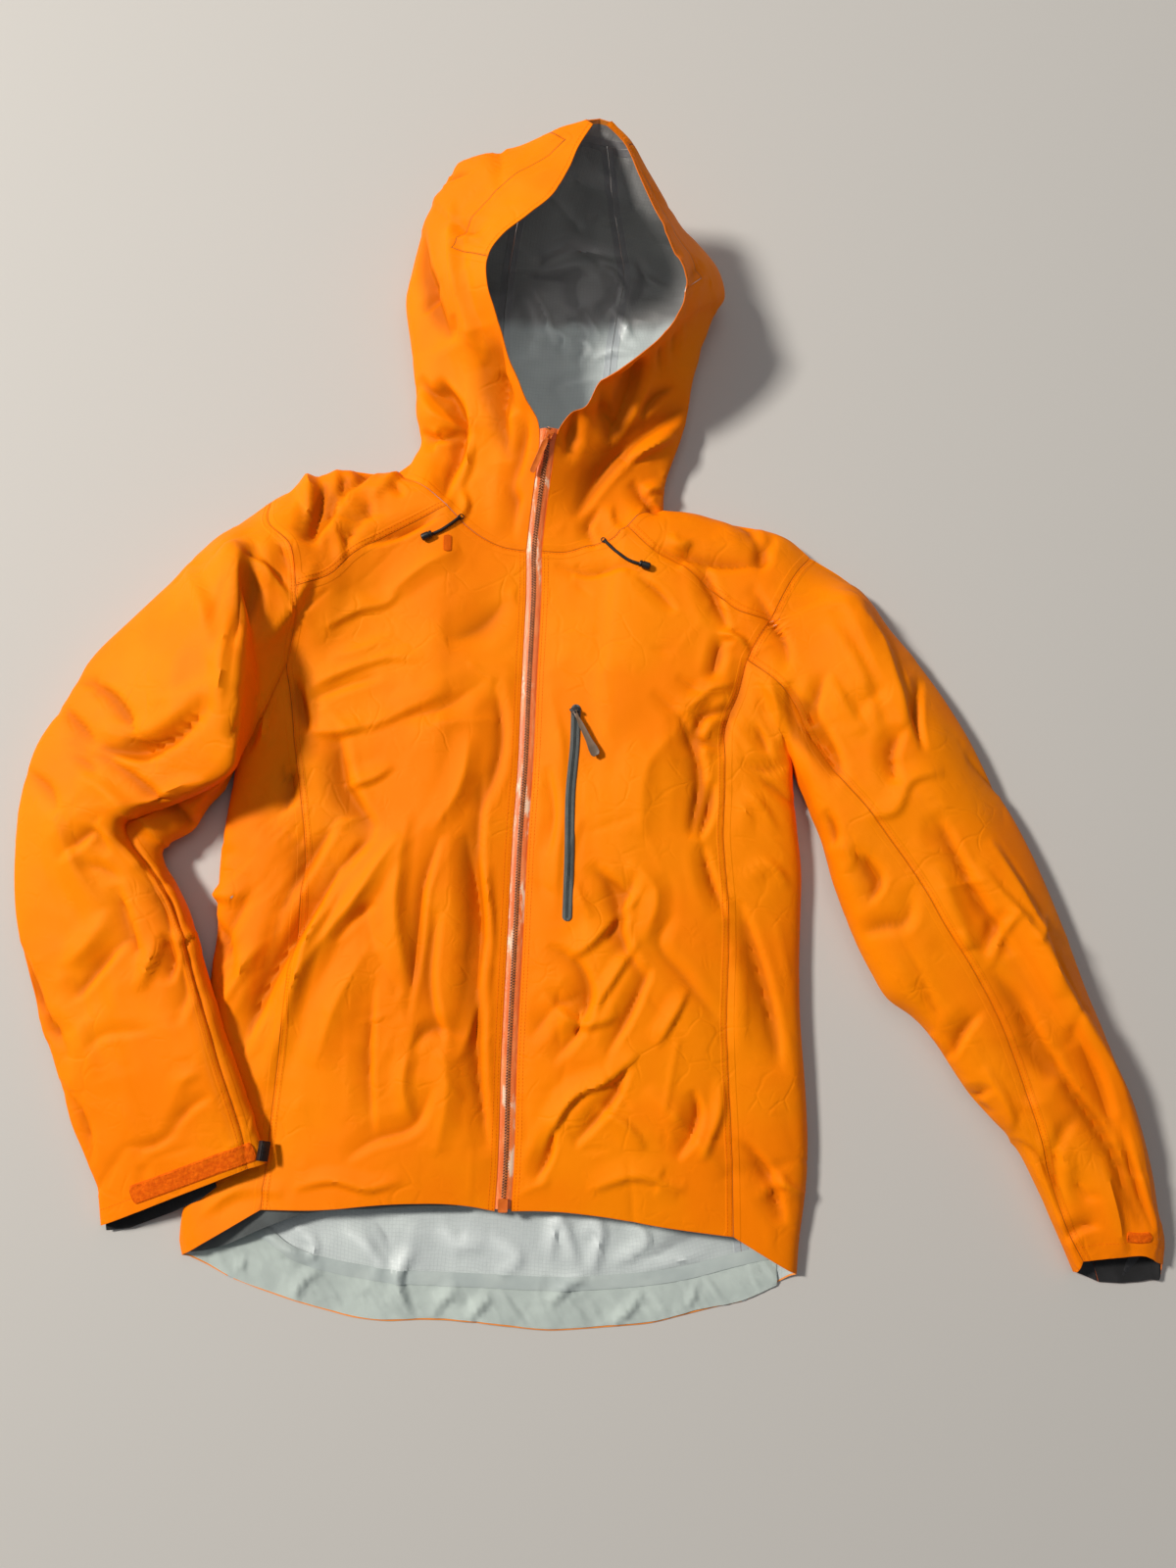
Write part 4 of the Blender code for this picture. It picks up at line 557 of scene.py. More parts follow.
FOLDS = {
    "front_right": (
        Fold(((-250, 23), (-226, 34), (-180, 49), (-146, 48)), 5.4, 1.6, 0.3),
        Fold(((-255, 8), (-221, 23), (-185, 32)), 4.5, -1.6, 0),
        Fold(((-224, -19), (-188, -12), (-156, 2), (-120, 18)), 7.2, 1.6, 0.3),
        Fold(((-235, 49), (-212, 55), (-174, 69)), 5.4, 1.3, 0),
        Fold(((-239, 77), (-208, 95), (-177, 105), (-170, 116)), 6.3, 1.6, 0.3),
        Fold(((-181, 109), (-149, 135), (-113, 154)), 9.0, 2, 0),
        Fold(((-175, -9), (-129, 2), (-84, 32)), 9.0, -2, 0),
        Fold(((-219, -72), (-187, -62), (-172, -51)), 5.4, 2, 0.4),
        Fold(((-224, -19), (-217, -69), (-187, -114)), 12.6, -4.5, 0.3),
        Fold(((-187, -114), (-216, -141), (-235, -172), (-261, -212), (-285, -256), (-307, -317)),
             10.8, -8, 0.45),
        Fold(((-263, -141), (-275, -185), (-294, -230), (-313, -283)), 14.4, 4, 0),
        Fold(((-183, -150), (-225, -199), (-255, -247), (-272, -300), (-286, -343)), 10.8, 3.5, 0),
        Fold(((-164, -114), (-195, -159), (-216, -194)), 9.0, 3, 0),
        Fold(((-127, -114), (-144, -168), (-148, -212), (-156, -282)), 7.2, -3, 0.3),
        Fold(((-105, -114), (-89, -203), (-92, -247), (-90, -343), (-80, -403)), 9.0, -5, 0.35),
        Fold(((-85, -141), (-86, -212), (-99, -291), (-111, -321)), 5.4, 2.6, 0),
        Fold(((-80, 32), (-73, -32), (-92, -96)), 9.0, -3, 0.2),
        Fold(((-136, -114), (-110, -69), (-102, -23)), 8.1, 2, 0),
        Fold(((-186, -247), (-190, -317), (-185, -385)), 6.3, -2.2, 0.3),
        Fold(((-147, -282), (-157, -351), (-146, -377)), 5.4, 1.8, 0),
        Fold(((-211, -406), (-185, -389), (-150, -377), (-129, -338)), 6.3, -2, 0.2),
        Fold(((-185, -177), (-205, -193), (-223, -214)), 3.6, -1.5, 0),
        Fold(((-254, -430), (-219, -423), (-189, -430), (-158, -423)), 4.5, 2, 0.3),
        Fold(((-338, -455), (-308, -433), (-263, -434)), 5.4, 2, 0),
        Fold(((-324, -272), (-311, -247), (-293, -214)), 4.5, 2, 0.4),
        Fold(((-326, -214), (-312, -185), (-297, -159)), 6.3, -2, 0),
        Fold(((-298, -103), (-272, -114), (-252, -136)), 4.5, -1.6, 0),
        Fold(((-126, 64), (-94, 79), (-67, 108)), 12.6, -2.2, 0),
        Fold(((-160, -321), (-134, -291), (-101, -295)), 5.4, -1.4, 0),
        Fold(((-239, -325), (-218, -265), (-188, -212)), 12.6, 2.2, 0),
        Fold(((-128, -402), (-120, -351), (-123, -299)), 9.0, 1.6, 0),
        Fold(((-222, -98), (-267, -169), (-297, -256)), 11, -4.5, 0.35),
        Fold(((-204, -116), (-239, -191), (-263, -286)), 10, 3.4, 0.3),
        Fold(((-90, -58), (-94, -147), (-83, -234)), 8, -2.6, 0.3),
        Fold(((-157, -94), (-167, -182), (-151, -269)), 10, 2.6, 0.3),
        Fold(((-250, 197), (-214, 183), (-180, 190)), 6, -1.8, 0.2),
        Fold(((-129, -182), (-136, -252), (-121, -312)), 8, -2.4, 0.3),
    ),
    "front_left": (
        Fold(((-11, -228), (7, -216), (29, -194), (53, -170)), 7.2, 2.8, 0.3),
        Fold(((-29, -216), (-2, -234), (7, -256), (-2, -291), (-26, -321)), 7.2, -3, 0.2),
        Fold(((53, -210), (29, -247), (11, -275)), 3.6, 2.6, 0.4),
        Fold(((64, -234), (42, -281), (23, -314)), 5.4, -3, 0.2),
        Fold(((97, -254), (82, -282), (67, -306)), 4.5, 2, 0.3),
        Fold(((53, -310), (24, -336), (-2, -347), (-24, -377), (-35, -401)), 5.4, 3, 0.4),
        Fold(((44, -320), (29, -352), (7, -378), (-6, -392)), 5.4, -3, 0.2),
        Fold(((14, -359), (42, -376), (58, -395)), 4.5, 2, 0.3),
        Fold(((85, -405), (99, -385), (105, -359), (100, -344)), 6.3, -4, 0.3),
        Fold(((107, -406), (125, -355), (125, -334)), 4.5, 2, 0),
        Fold(((108, -121), (118, -96), (122, -66)), 6.3, -4, 0.3),
        Fold(((111, -123), (121, -159), (133, -190)), 5.4, -4, 0.3),
        Fold(((144, -121), (159, -82), (180, -112)), 4.5, 1.8, 0),
        Fold(((147, -163), (173, -144), (191, -163)), 4.5, 1.6, 0),
        Fold(((143, -172), (158, -221), (175, -291), (180, -330)), 9.0, -4, 0.3),
        Fold(((147, -390), (168, -419), (181, -462)), 7.2, -4, 0.3),
        Fold(((202, -437), (177, -427), (157, -442)), 4.5, 2.4, 0.3),
        Fold(((87, -186), (71, -212), (95, -247), (132, -292)), 7.2, -2, 0),
        Fold(((-41, -426), (-28, -402), (-23, -375)), 5.4, -3, 0.3),
        Fold(((7, -258), (-24, -273), (-46, -301)), 9.0, -2, 0),
        Fold(((11, -141), (34, -177), (26, -214)), 9.0, -3, 0.2),
        Fold(((-31, -52), (-24, -96), (-29, -134)), 5.4, -2, 0),
        Fold(((97, -11), (63, -51), (56, -119)), 14.4, 2, 0),
        Fold(((-24, 141), (7, 130), (44, 136), (69, 124)), 4.5, -1.6, 0.2),
        Fold(((53, 126), (73, 111), (89, 92)), 4.5, -2, 0.3),
        Fold(((-30, 23), (-16, -33), (-18, -114), (-23, -194)), 7.2, 1.4, 0),
        Fold(((59, -342), (94, -377), (129, -419)), 10.8, 2, 0),
        Fold(((7, -432), (50, -419), (94, -432)), 6.3, 1.8, 0.3),
        Fold(((136, -199), (146, -256), (141, -317)), 5.4, 1.8, 0),
        Fold(((43, -141), (67, -163), (60, -212)), 8.1, 2, 0),
        Fold(((0, -98), (-13, -147), (11, -191)), 8, 2.6, 0.3),
        Fold(((53, -147), (35, -200), (60, -252)), 9, -3, 0.3),
        Fold(((91, -3), (110, -58), (100, -120)), 8, -3.6, 0.3),
        Fold(((-35, -260), (0, -286), (35, -279)), 7, 2.6, 0.3),
        Fold(((135, 221), (159, 183), (175, 135)), 7, -2.4, 0.2),
    ),
    "armpit_left": (
        Fold(((130, 72), (150, 63), (156, 52)), 4.5, 5, 0.3),
        Fold(((114, 138), (124, 111), (138, 73)), 6.3, -6, 0.4),
        Fold(((159, 117), (176, 88), (189, 63), (193, 35)), 5.4, -3.5, 0.3),
        Fold(((131, 70), (127, 45), (120, 27)), 5.4, -4, 0),
        Fold(((154, 48), (150, 13), (135, -19), (130, -49)), 5.4, -4, 0.3),
        Fold(((141, 2), (112, -10), (107, -24), (130, -36)), 6.3, -4, 0.2),
        Fold(((102, 3), (121, 19), (143, 25)), 5.4, 2, 0),
        Fold(((161, -12), (168, -25), (175, -43)), 4.5, -3, 0.3),
        Fold(((160, 32), (175, 22), (184, -10), (187, -36)), 5.4, 3, 0),
        Fold(((149, -50), (167, -56), (194, -49)), 3.6, -5, 0.3),
        Fold(((159, -60), (183, -74), (203, -89)), 3.6, -4, 0.3),
        Fold(((89, 31), (111, 17), (136, 11)), 5.4, -1.6, 0),
        Fold(((66, 17), (88, -2), (99, -17)), 5.4, -1.4, 0),
        Fold(((67, 157), (104, 142), (145, 136), (184, 143)), 6.3, -3, 0.3),
        Fold(((85, 167), (92, 157), (105, 157)), 4.5, 3, 0),
        Fold(((168, 129), (175, 155), (186, 170)), 5.4, -2.4, 0),
    ),
    "sleeve_left": (
        Fold(((257, 95), (275, 67), (286, 29), (298, -12), (307, -42)), 9.0, 3, 0.4),
        Fold(((315, 30), (308, -12), (311, -42)), 5.4, -5, 0.3),
        Fold(((294, -19), (283, -44), (287, -73)), 6.3, -4, 0.3),
        Fold(((225, 31), (217, 7), (212, -18)), 4.5, -3, 0.3),
        Fold(((228, 31), (240, 6), (259, -24)), 6.3, 2.6, 0.3),
        Fold(((188, 21), (200, -16), (226, -40), (234, -65)), 9.0, -4, 0.3),
        Fold(((223, -95), (230, -119), (229, -130)), 5.4, -3, 0),
        Fold(((226, -125), (241, -131), (246, -142), (236, -145)), 2.7, 1.6, 0),
        Fold(((245, -129), (262, -146), (269, -159), (260, -177)), 7.2, -4, 0.3),
        Fold(((253, -206), (272, -199), (293, -194), (295, -164)), 8.1, -2.4, 0.2),
        Fold(((339, -201), (349, -219)), 3.6, 1.6, 0),
        Fold(((390, -184), (376, -207), (366, -236)), 3.6, 2.4, 0.5),
        Fold(((382, -186), (369, -205), (361, -225)), 4.5, -2, 0.2),
        Fold(((420, -188), (404, -214)), 3.6, 1.6, 0.3),
        Fold(((354, -140), (374, -169), (392, -190), (407, -212), (427, -248), (446, -282), (466, -314),
              (485, -351)), 7.2, 3, 0.45),
        Fold(((393, -274), (420, -318), (440, -351), (457, -374), (471, -400), (483, -436), (498, -465)),
             7.2, -6.5, 0.4),
        Fold(((284, -199), (306, -247), (326, -292)), 3.6, -1.6, 0.3),
        Fold(((357, -275), (344, -290), (329, -324)), 6.3, -3, 0.3),
        Fold(((318, -293), (328, -305), (332, -326)), 3.6, 2, 0.3),
        Fold(((367, -340), (355, -355), (370, -367)), 4.5, -2.2, 0.2),
        Fold(((359, -323), (377, -350), (388, -381)), 4.5, 2, 0.3),
        Fold(((389, -389), (405, -400), (417, -424)), 3.6, -1.6, 0.2),
        Fold(((439, -364), (425, -388), (421, -418), (430, -456)), 4.5, -3, 0.4),
        Fold(((434, -412), (451, -436), (459, -437)), 3.6, -1.6, 0.2),
        Fold(((475, -366), (484, -400), (497, -443), (507, -466)), 5.4, -4, 0.3),
        Fold(((429, -477), (440, -466), (460, -460)), 4.5, -2, 0.2),
        Fold(((461, -401), (471, -443), (481, -488)), 7.2, 3, 0.3),
        Fold(((364, -236), (391, -272), (407, -315), (420, -336)), 10.8, -3, 0.2),
        Fold(((256, -99), (283, -97), (298, -69), (330, -60)), 5.4, 1.8, 0.3),
        Fold(((281, 19), (258, 1), (247, -21)), 8.1, -1.6, 0),
        Fold(((320, -142), (336, -186), (357, -234)), 9.0, 2, 0),
        Fold(((400, -345), (419, -384), (440, -427)), 6.3, 2, 0),
        Fold(((238, 118), (260, 61), (276, 19)), 10.8, 1.6, 0),
        Fold(((191, 23), (216, -15), (241, -67)), 9, -4, 0.3),
        Fold(((227, 87), (256, 32), (273, -31)), 10, 2.6, 0.3),
        Fold(((320, -98), (353, -169), (386, -225)), 9, -3.6, 0.3),
        Fold(((368, -121), (405, -191), (428, -260)), 9, 3.2, 0.4),
        Fold(((435, -285), (459, -336), (473, -386)), 8, -3.6, 0.3),
    ),
    "sleeve_right": (
        Fold(((-473, 28), (-433, 15), (-412, -5), (-399, -28), (-373, -53)), 6.3, -3, 0.3),
        Fold(((-424, -20), (-399, -37), (-382, -62)), 6.3, -2, 0.2),
        Fold(((-512, -54), (-480, -79), (-472, -99)), 5.4, -2, 0.2),
        Fold(((-464, -43), (-441, -59), (-435, -71)), 5.4, -1.6, 0),
        Fold(((-450, -103), (-425, -117), (-391, -151), (-360, -175)), 3.6, 1.6, 0.2),
        Fold(((-474, -140), (-449, -121), (-437, -114), (-423, -135)), 7.2, -2.4, 0.2),
        Fold(((-451, -143), (-427, -149), (-409, -159)), 5.4, -1.6, 0),
        Fold(((-417, -162), (-408, -190), (-397, -216), (-391, -228)), 5.4, -4, 0.4),
        Fold(((-456, -266), (-432, -238), (-404, -206)), 8.1, -3, 0.3),
        Fold(((-392, -257), (-383, -234), (-375, -206)), 4.5, 3, 0.4),
        Fold(((-375, -205), (-364, -225), (-367, -250)), 7.2, -4, 0.3),
        Fold(((-363, -214), (-349, -207), (-342, -226)), 4.5, 2, 0.2),
        Fold(((-359, -288), (-351, -257), (-357, -229)), 7.2, -2, 0.2),
        Fold(((-510, -214), (-484, -273), (-452, -320)), 4.5, -3, 0.4),
        Fold(((-444, -319), (-431, -299), (-396, -292), (-379, -290)), 4.5, -1.2, 0.2),
        Fold(((-364, -382), (-344, -358), (-325, -347)), 4.5, -1.6, 0.2),
        Fold(((-403, -391), (-383, -393), (-355, -378)), 3.6, -1.4, 0.2),
        Fold(((-387, -92), (-355, -76), (-329, -71)), 3.6, 2.4, 0.3),
        Fold(((-470, -335), (-444, -368), (-434, -411)), 5.4, -2, 0.3),
        Fold(((-318, -132), (-354, -140), (-381, -164)), 5.4, -1.4, 0),
        Fold(((-348, 70), (-363, 15), (-351, -38)), 16.2, 1.6, 0),
        Fold(((-425, -186), (-438, -212), (-461, -234)), 9.0, 1.8, 0),
        Fold(((-474, -265), (-450, -290), (-430, -333)), 7.2, 1.6, 0),
        Fold(((-335, -328), (-349, -332), (-357, -349)), 5.4, 1.2, 0),
        Fold(((-438, -37), (-400, -46), (-361, -34), (-324, -2)), 8.5, -4.5, 0.3),
        Fold(((-435, -23), (-396, -30), (-357, -14), (-323, 20)), 8, 3, 0),
        Fold(((-434, -44), (-399, -66), (-362, -99), (-339, -134)), 7, -3.2, 0.3),
        Fold(((-451, -61), (-418, -84), (-384, -121), (-369, -149)), 8, 3, 0.2),
        Fold(((-483, 6), (-457, -16), (-437, -37)), 6.5, -2.6, 0.3),
        Fold(((-396, -143), (-372, -182), (-364, -220)), 8, -3, 0.3),
        Fold(((-370, -138), (-338, -169), (-296, -173)), 6, 2.6, 0.3),
        Fold(((-346, -186), (-321, -216), (-313, -254)), 7, -2.8, 0.3),
        Fold(((-478, -94), (-453, -147), (-429, -182)), 9, 2.4, 0.3),
        Fold(((-372, 141), (-339, 86), (-325, 31)), 9, 2.4, 0.2),
    ),
    "shoulder_right": (
        Fold(((-301, 140), (-278, 113), (-267, 101)), 4.5, 4, 0.3),
        Fold(((-280, 162), (-273, 142), (-266, 120)), 4.5, -4, 0.3),
        Fold(((-234, 238), (-229, 199), (-231, 169)), 4.5, 5, 0.4),
        Fold(((-243, 221), (-247, 190), (-246, 149)), 7.2, -5, 0.3),
        Fold(((-230, 169), (-223, 155), (-225, 135)), 3.6, 4, 0.3),
        Fold(((-203, 183), (-215, 165), (-223, 149)), 4.5, -3, 0.3),
        Fold(((-199, 211), (-201, 181)), 5.4, -2.4, 0.2),
        Fold(((-204, 155), (-168, 167), (-133, 186)), 5.4, -3, 0.4),
        Fold(((-177, 220), (-168, 204)), 3.6, -2.6, 0),
        Fold(((-274, 215), (-262, 190), (-265, 164)), 7.2, -2.6, 0.2),
        Fold(((-296, 9), (-295, -14), (-287, -36)), 5.4, 6, 0.3),
        Fold(((-267, 34), (-259, 6), (-253, -21)), 7.2, -5, 0.3),
        Fold(((-299, 14), (-297, -10), (-309, -39)), 4.5, -5, 0.3),
        Fold(((-279, -46), (-266, -68), (-276, -100)), 7.2, -3, 0.2),
        Fold(((-311, 82), (-315, 31), (-316, -13)), 5.4, 3, 0.3),
        Fold(((-252, -18), (-224, -21), (-200, -16)), 5.4, 2, 0.3),
        Fold(((-224, 230), (-236, 185), (-256, 154)), 10, -5.5, 0.3),
        Fold(((-272, 248), (-254, 211), (-260, 170)), 8, 4, 0.4),
        Fold(((-196, 263), (-206, 230), (-225, 205)), 8, -3.4, 0.3),
        Fold(((-303, 163), (-296, 112), (-308, 45)), 9, -4, 0.3),
        Fold(((-242, 137), (-267, 92), (-299, 51)), 8, 3, 0.3),
        Fold(((-163, 263), (-181, 222), (-205, 197)), 7, 2.6, 0.3),
    ),
    "hood": (
        Fold(((-133, 321), (-122, 292), (-109, 261), (-122, 231), (-129, 199)), 8.1, -7, 0.35),
        Fold(((-114, 278), (-104, 248), (-116, 212)), 4.5, 3, 0.3),
        Fold(((-45, 292), (-55, 226), (-63, 164)), 7.2, -6, 0.4),
        Fold(((107, 300), (82, 279), (49, 253), (18, 220), (-7, 181)), 9.0, -8, 0.35),
        Fold(((49, 223), (60, 207), (77, 187)), 5.4, -4, 0.3),
        Fold(((77, 316), (69, 351), (46, 347)), 3.6, -2.4, 0.2),
        Fold(((20, 315), (25, 275), (42, 265)), 6.3, -3, 0.2),
        Fold(((-154, 326), (-143, 309), (-126, 301)), 7.2, -3, 0.3),
        Fold(((-82, 311), (-66, 294), (-61, 274)), 6.3, -3.4, 0.3),
        Fold(((-142, 420), (-136, 395), (-153, 382)), 4.5, -2, 0.2),
        Fold(((-116, 369), (-118, 348)), 4.5, -1.8, 0.2),
        Fold(((-47, 571), (-76, 555), (-115, 538)), 3.6, 1.6, 0.3),
        Fold(((-76, 548), (-73, 477)), 3.6, -2, 0.2),
        Fold(((-148, 496), (-122, 456), (-82, 437)), 4.5, -1.6, 0.2),
        Fold(((-114, 447), (-101, 436), (-87, 436)), 2.7, -2.4, 0.2),
        Fold(((-120, 434), (-104, 431), (-89, 423)), 2.7, 2, 0.2),
        Fold(((-153, 275), (-137, 265), (-116, 266)), 4.5, -3, 0.3),
        Fold(((44, 240), (68, 255), (92, 268)), 6.3, 3, 0.3),
        Fold(((58, 209), (71, 216), (80, 217)), 3.6, 2.6, 0.2),
        Fold(((91, 312), (74, 299), (58, 280)), 5.4, -3, 0.3),
        Fold(((98, 358), (94, 376), (87, 334)), 5.4, -2.4, 0.2),
        Fold(((113, 416), (99, 376), (98, 358)), 6.3, -2.4, 0.2),
        Fold(((16, 155), (7, 174), (18, 193)), 4.5, -2, 0.2),
        Fold(((44, 168), (31, 178), (27, 198)), 4.5, 2, 0.2),
        Fold(((-114, 212), (-108, 197), (-116, 182)), 3.6, 2, 0.2),
        Fold(((-43, 434), (-67, 394), (-53, 374)), 10.8, 0.01, 0),
        Fold(((-71, 371), (-75, 311), (-70, 236)), 10, -6, 0.3),
        Fold(((20, 349), (3, 295), (-15, 234)), 13, -9, 0.3),
        Fold(((46, 374), (19, 330), (0, 253)), 8, 4, 0.4),
        Fold(((63, 349), (51, 301), (26, 253)), 9, -5, 0.3),
        Fold(((-122, 477), (-114, 398), (-92, 322)), 9, 4, 0.4),
        Fold(((-153, 467), (-144, 408), (-122, 349)), 8, -4, 0.3),
        Fold(((-137, 318), (-112, 280), (-119, 244)), 7, -4, 0.3),
        Fold(((-157, 315), (-141, 291), (-110, 268)), 6, 3, 0.3),
        Fold(((-98, 503), (-124, 506), (-151, 518)), 5, -3, 0.3),
        Fold(((-108, 522), (-132, 520), (-155, 530)), 4, 2.6, 0.3),
        Fold(((84, 438), (63, 416), (37, 396)), 6, 3, 0.3),
        Fold(((93, 408), (67, 386), (46, 359)), 6, -3.2, 0.3),
    ),
    "back_inside": (
        Fold(((-292, -470), (-258, -489), (-231, -499)), 3.6, 2, 0.2),
        Fold(((-259, -467), (-239, -484), (-242, -498)), 3.6, 2.4, 0.3),
        Fold(((-192, -457), (-177, -477), (-168, -499)), 4.5, -2, 0.2),
        Fold(((-214, -471), (-196, -481), (-171, -511)), 4.5, 3, 0.3),
        Fold(((-148, -486), (-162, -510), (-151, -548)), 4.5, 2.6, 0.4),
        Fold(((-100, -548), (-90, -537), (-79, -528)), 3.6, 2, 0.3),
        Fold(((-28, -498), (-18, -463), (-2, -503)), 4.5, 2.4, 0.3),
        Fold(((0, -477), (17, -467), (11, -510)), 4.5, 2.4, 0.3),
        Fold(((51, -503), (87, -481), (115, -467)), 6.3, -2.4, 0.3),
        Fold(((42, -460), (62, -481), (29, -501)), 4.5, 3, 0.3),
        Fold(((42, -510), (86, -499), (131, -486)), 5.4, 2, 0.2),
        Fold(((159, -510), (175, -494), (184, -489)), 3.6, 2, 0.2),
        Fold(((95, -540), (103, -525), (106, -513)), 3.6, 2.2, 0.3),
        Fold(((29, -552), (47, -537), (56, -522)), 3.6, 2.2, 0.3),
        Fold(((-28, -537), (-11, -520), (7, -510)), 4.5, 2, 0.2),
        Fold(((-342, -506), (-334, -498), (-329, -493)), 2.7, 2, 0.2),
        Fold(((-311, -510), (-304, -500), (-302, -493)), 2.7, 2, 0.2),
        Fold(((-257, -531), (-247, -514), (-231, -505)), 3.6, 1.8, 0.2),
        Fold(((-134, -547), (-123, -533), (-108, -518)), 4.5, 1.6, 0.2),
        Fold(((-82, -477), (-55, -497), (-77, -510)), 6.3, 1.8, 0.2),
        Fold(((-126, -467), (-108, -484), (-82, -480)), 6.3, 1.6, 0.2),
    ),
    "hood_inside": (
        Fold(((-26, 501), (9, 489), (48, 479)), 5.4, 3, 0.3),
        Fold(((7, 517), (35, 510), (59, 499)), 6.3, 3, 0.3),
        Fold(((27, 523), (44, 515), (54, 507)), 3.6, 2, 0.3),
        Fold(((-43, 487), (-1, 489), (11, 482)), 4.5, 1.8, 0.3),
        Fold(((58, 514), (52, 501), (65, 490)), 4.5, 2, 0.2),
        Fold(((-76, 452), (-32, 444), (11, 448)), 4.5, -2, 0.2),
        Fold(((9, 466), (34, 444), (46, 414)), 6.3, 2.4, 0.3),
        Fold(((51, 466), (66, 442), (93, 427)), 5.4, 2, 0.3),
        Fold(((-14, 396), (1, 392), (9, 373)), 3.1, 3, 0.3),
        Fold(((-5, 418), (7, 400), (19, 379)), 3.1, 3, 0.3),
        Fold(((16, 417), (36, 400), (56, 373)), 3.1, 3, 0.3),
        Fold(((30, 410), (46, 396), (43, 375)), 3.1, 3, 0.3),
        Fold(((50, 401), (69, 396), (79, 405)), 3.1, 3, 0.3),
        Fold(((-8, 381), (9, 369), (-5, 351)), 3.6, 3, 0.3),
        Fold(((-32, 391), (-17, 380), (-20, 363)), 3.6, 2, 0.3),
        Fold(((-40, 417), (-32, 396), (-44, 375)), 3.6, 1.8, 0.3),
        Fold(((7, 355), (31, 365), (56, 363)), 4.5, 2, 0.3),
        Fold(((-32, 324), (-3, 334), (26, 340)), 5.4, 1.2, 0.2),
        Fold(((-61, 427), (-47, 396), (-51, 360)), 7.2, 1.6, 0.2),
        Fold(((-97, 512), (-39, 527), (24, 518), (87, 496)), 11, -5, 0.3),
        Fold(((-92, 491), (-29, 504), (39, 487)), 9, 4, 0.3),
        Fold(((-39, 586), (20, 550), (70, 527)), 9, 3.6, 0.3),
        Fold(((-25, 613), (29, 586), (66, 562)), 7, -3, 0.3),
        Fold(((-39, 459), (0, 471), (39, 465), (79, 469)), 9, 5, 0.3),
        Fold(((0, 457), (-8, 434), (0, 402)), 6, -3.4, 0.3),
        Fold(((29, 452), (39, 430), (21, 394)), 6, 3.4, 0.3),
        Fold(((53, 457), (60, 436), (48, 414)), 5, -3, 0.3),
        Fold(((-53, 441), (-38, 406), (-27, 370)), 7, 3, 0.3),
    ),
}


# ---------------------------------------------------------------- the lay's section grids
def armhole(side: str, low: bool = True, high: bool = True) -> np.ndarray:
    """Armhole curve on the upper side, foot to shoulder fold.

    Args:
        side: right or left.
        low: whether the part below the yoke seam is in it.
        high: whether the part above it is.

    Returns:
        Its points, one to a row.
    """
    pieces = []
    if low:
        pieces.append(curve(ARMHOLE_LOW[side], ARM_LOW))
    if high:
        pieces.append(curve(ARMHOLE_HIGH[side], ARM_HIGH))
    return join(*pieces)


def flatten(points: np.ndarray, keep_last: bool = False) -> np.ndarray:
    """The same plan on the floor; the last point may keep its height, at a fold.

    Args:
        points: a curve.
        keep_last: whether its last point is on a fold.

    Returns:
        The flattened curve.
    """
    flat = points.copy()
    flat[:, 2] = FLOOR
    if keep_last:
        flat[-1] = points[-1]
        flat[-2, 2] = LIFTED + 0.5
    return flat


def zip_edge(side: str, count: int, start: float = 0.0, end: float = 1.0) -> np.ndarray:
    """Edge of a front or of the collar beside the zip, hem to top.

    Args:
        side: right or left.
        count: how many points to return.
        start: where it starts, as a share of the zip's length.
        end: where it ends.

    Returns:
        Its points, one to a row.
    """
    offset = -ZIP_EDGE if side == "right" else ZIP_EDGE
    line = curve(ZIP_LINE, 200)
    reach = chords(line)
    even = np.linspace(start * reach[-1], end * reach[-1], count)
    points = np.stack([np.interp(even, reach, line[:, axis]) for axis in range(3)], axis=1)
    points[:, 0] += offset
    return points


def neck_share() -> float:
    """Share of the zip's length that lies below the neck seam."""
    line = curve(ZIP_LINE, 400)
    return chords(line)[np.argmin(abs(line[:, 1] - NECK_SEAM_Y))] / chords(line)[-1]


def neck_front(side: str) -> np.ndarray:
    """Front neck seam, zip to yoke seam, starting exactly at the zip edge.

    Args:
        side: right or left.

    Returns:
        Its points, one to a row.
    """
    seam = curve(NECK_FRONT_SEAM[side], NECK_FRONT)
    seam[0] = zip_edge(side, 2, 0.0, neck_share())[-1]
    return seam


def front_grid(side: str) -> np.ndarray:
    """A front: hem, side seam, lower armhole, yoke seam, neck seam and zip.

    Args:
        side: right or left.

    Returns:
        Coarse rows of points, hem to shoulder.
    """
    hem = curve(FRONT_HEM[side], NECK_FRONT + YOKE_ROWS - 1)
    top = join(neck_front(side), curve(YOKE_SEAM[side], YOKE_ROWS))
    far = join(curve(SIDE_SEAM[side], SIDE_ROWS), armhole(side, high=False))
    near = zip_edge(side, len(far), 0.0, neck_share())
    hem[0] = near[0]
    grid = patch(hem, top, near, far)
    u = np.linspace(0, 1, grid.shape[1])[None, :]
    v = np.linspace(0, 1, grid.shape[0])[:, None]
    grid[..., 2] += FRONT_PUFF * np.sqrt(np.maximum(np.sin(math.pi * u) * np.sin(math.pi * v), 0.0))
    return grid


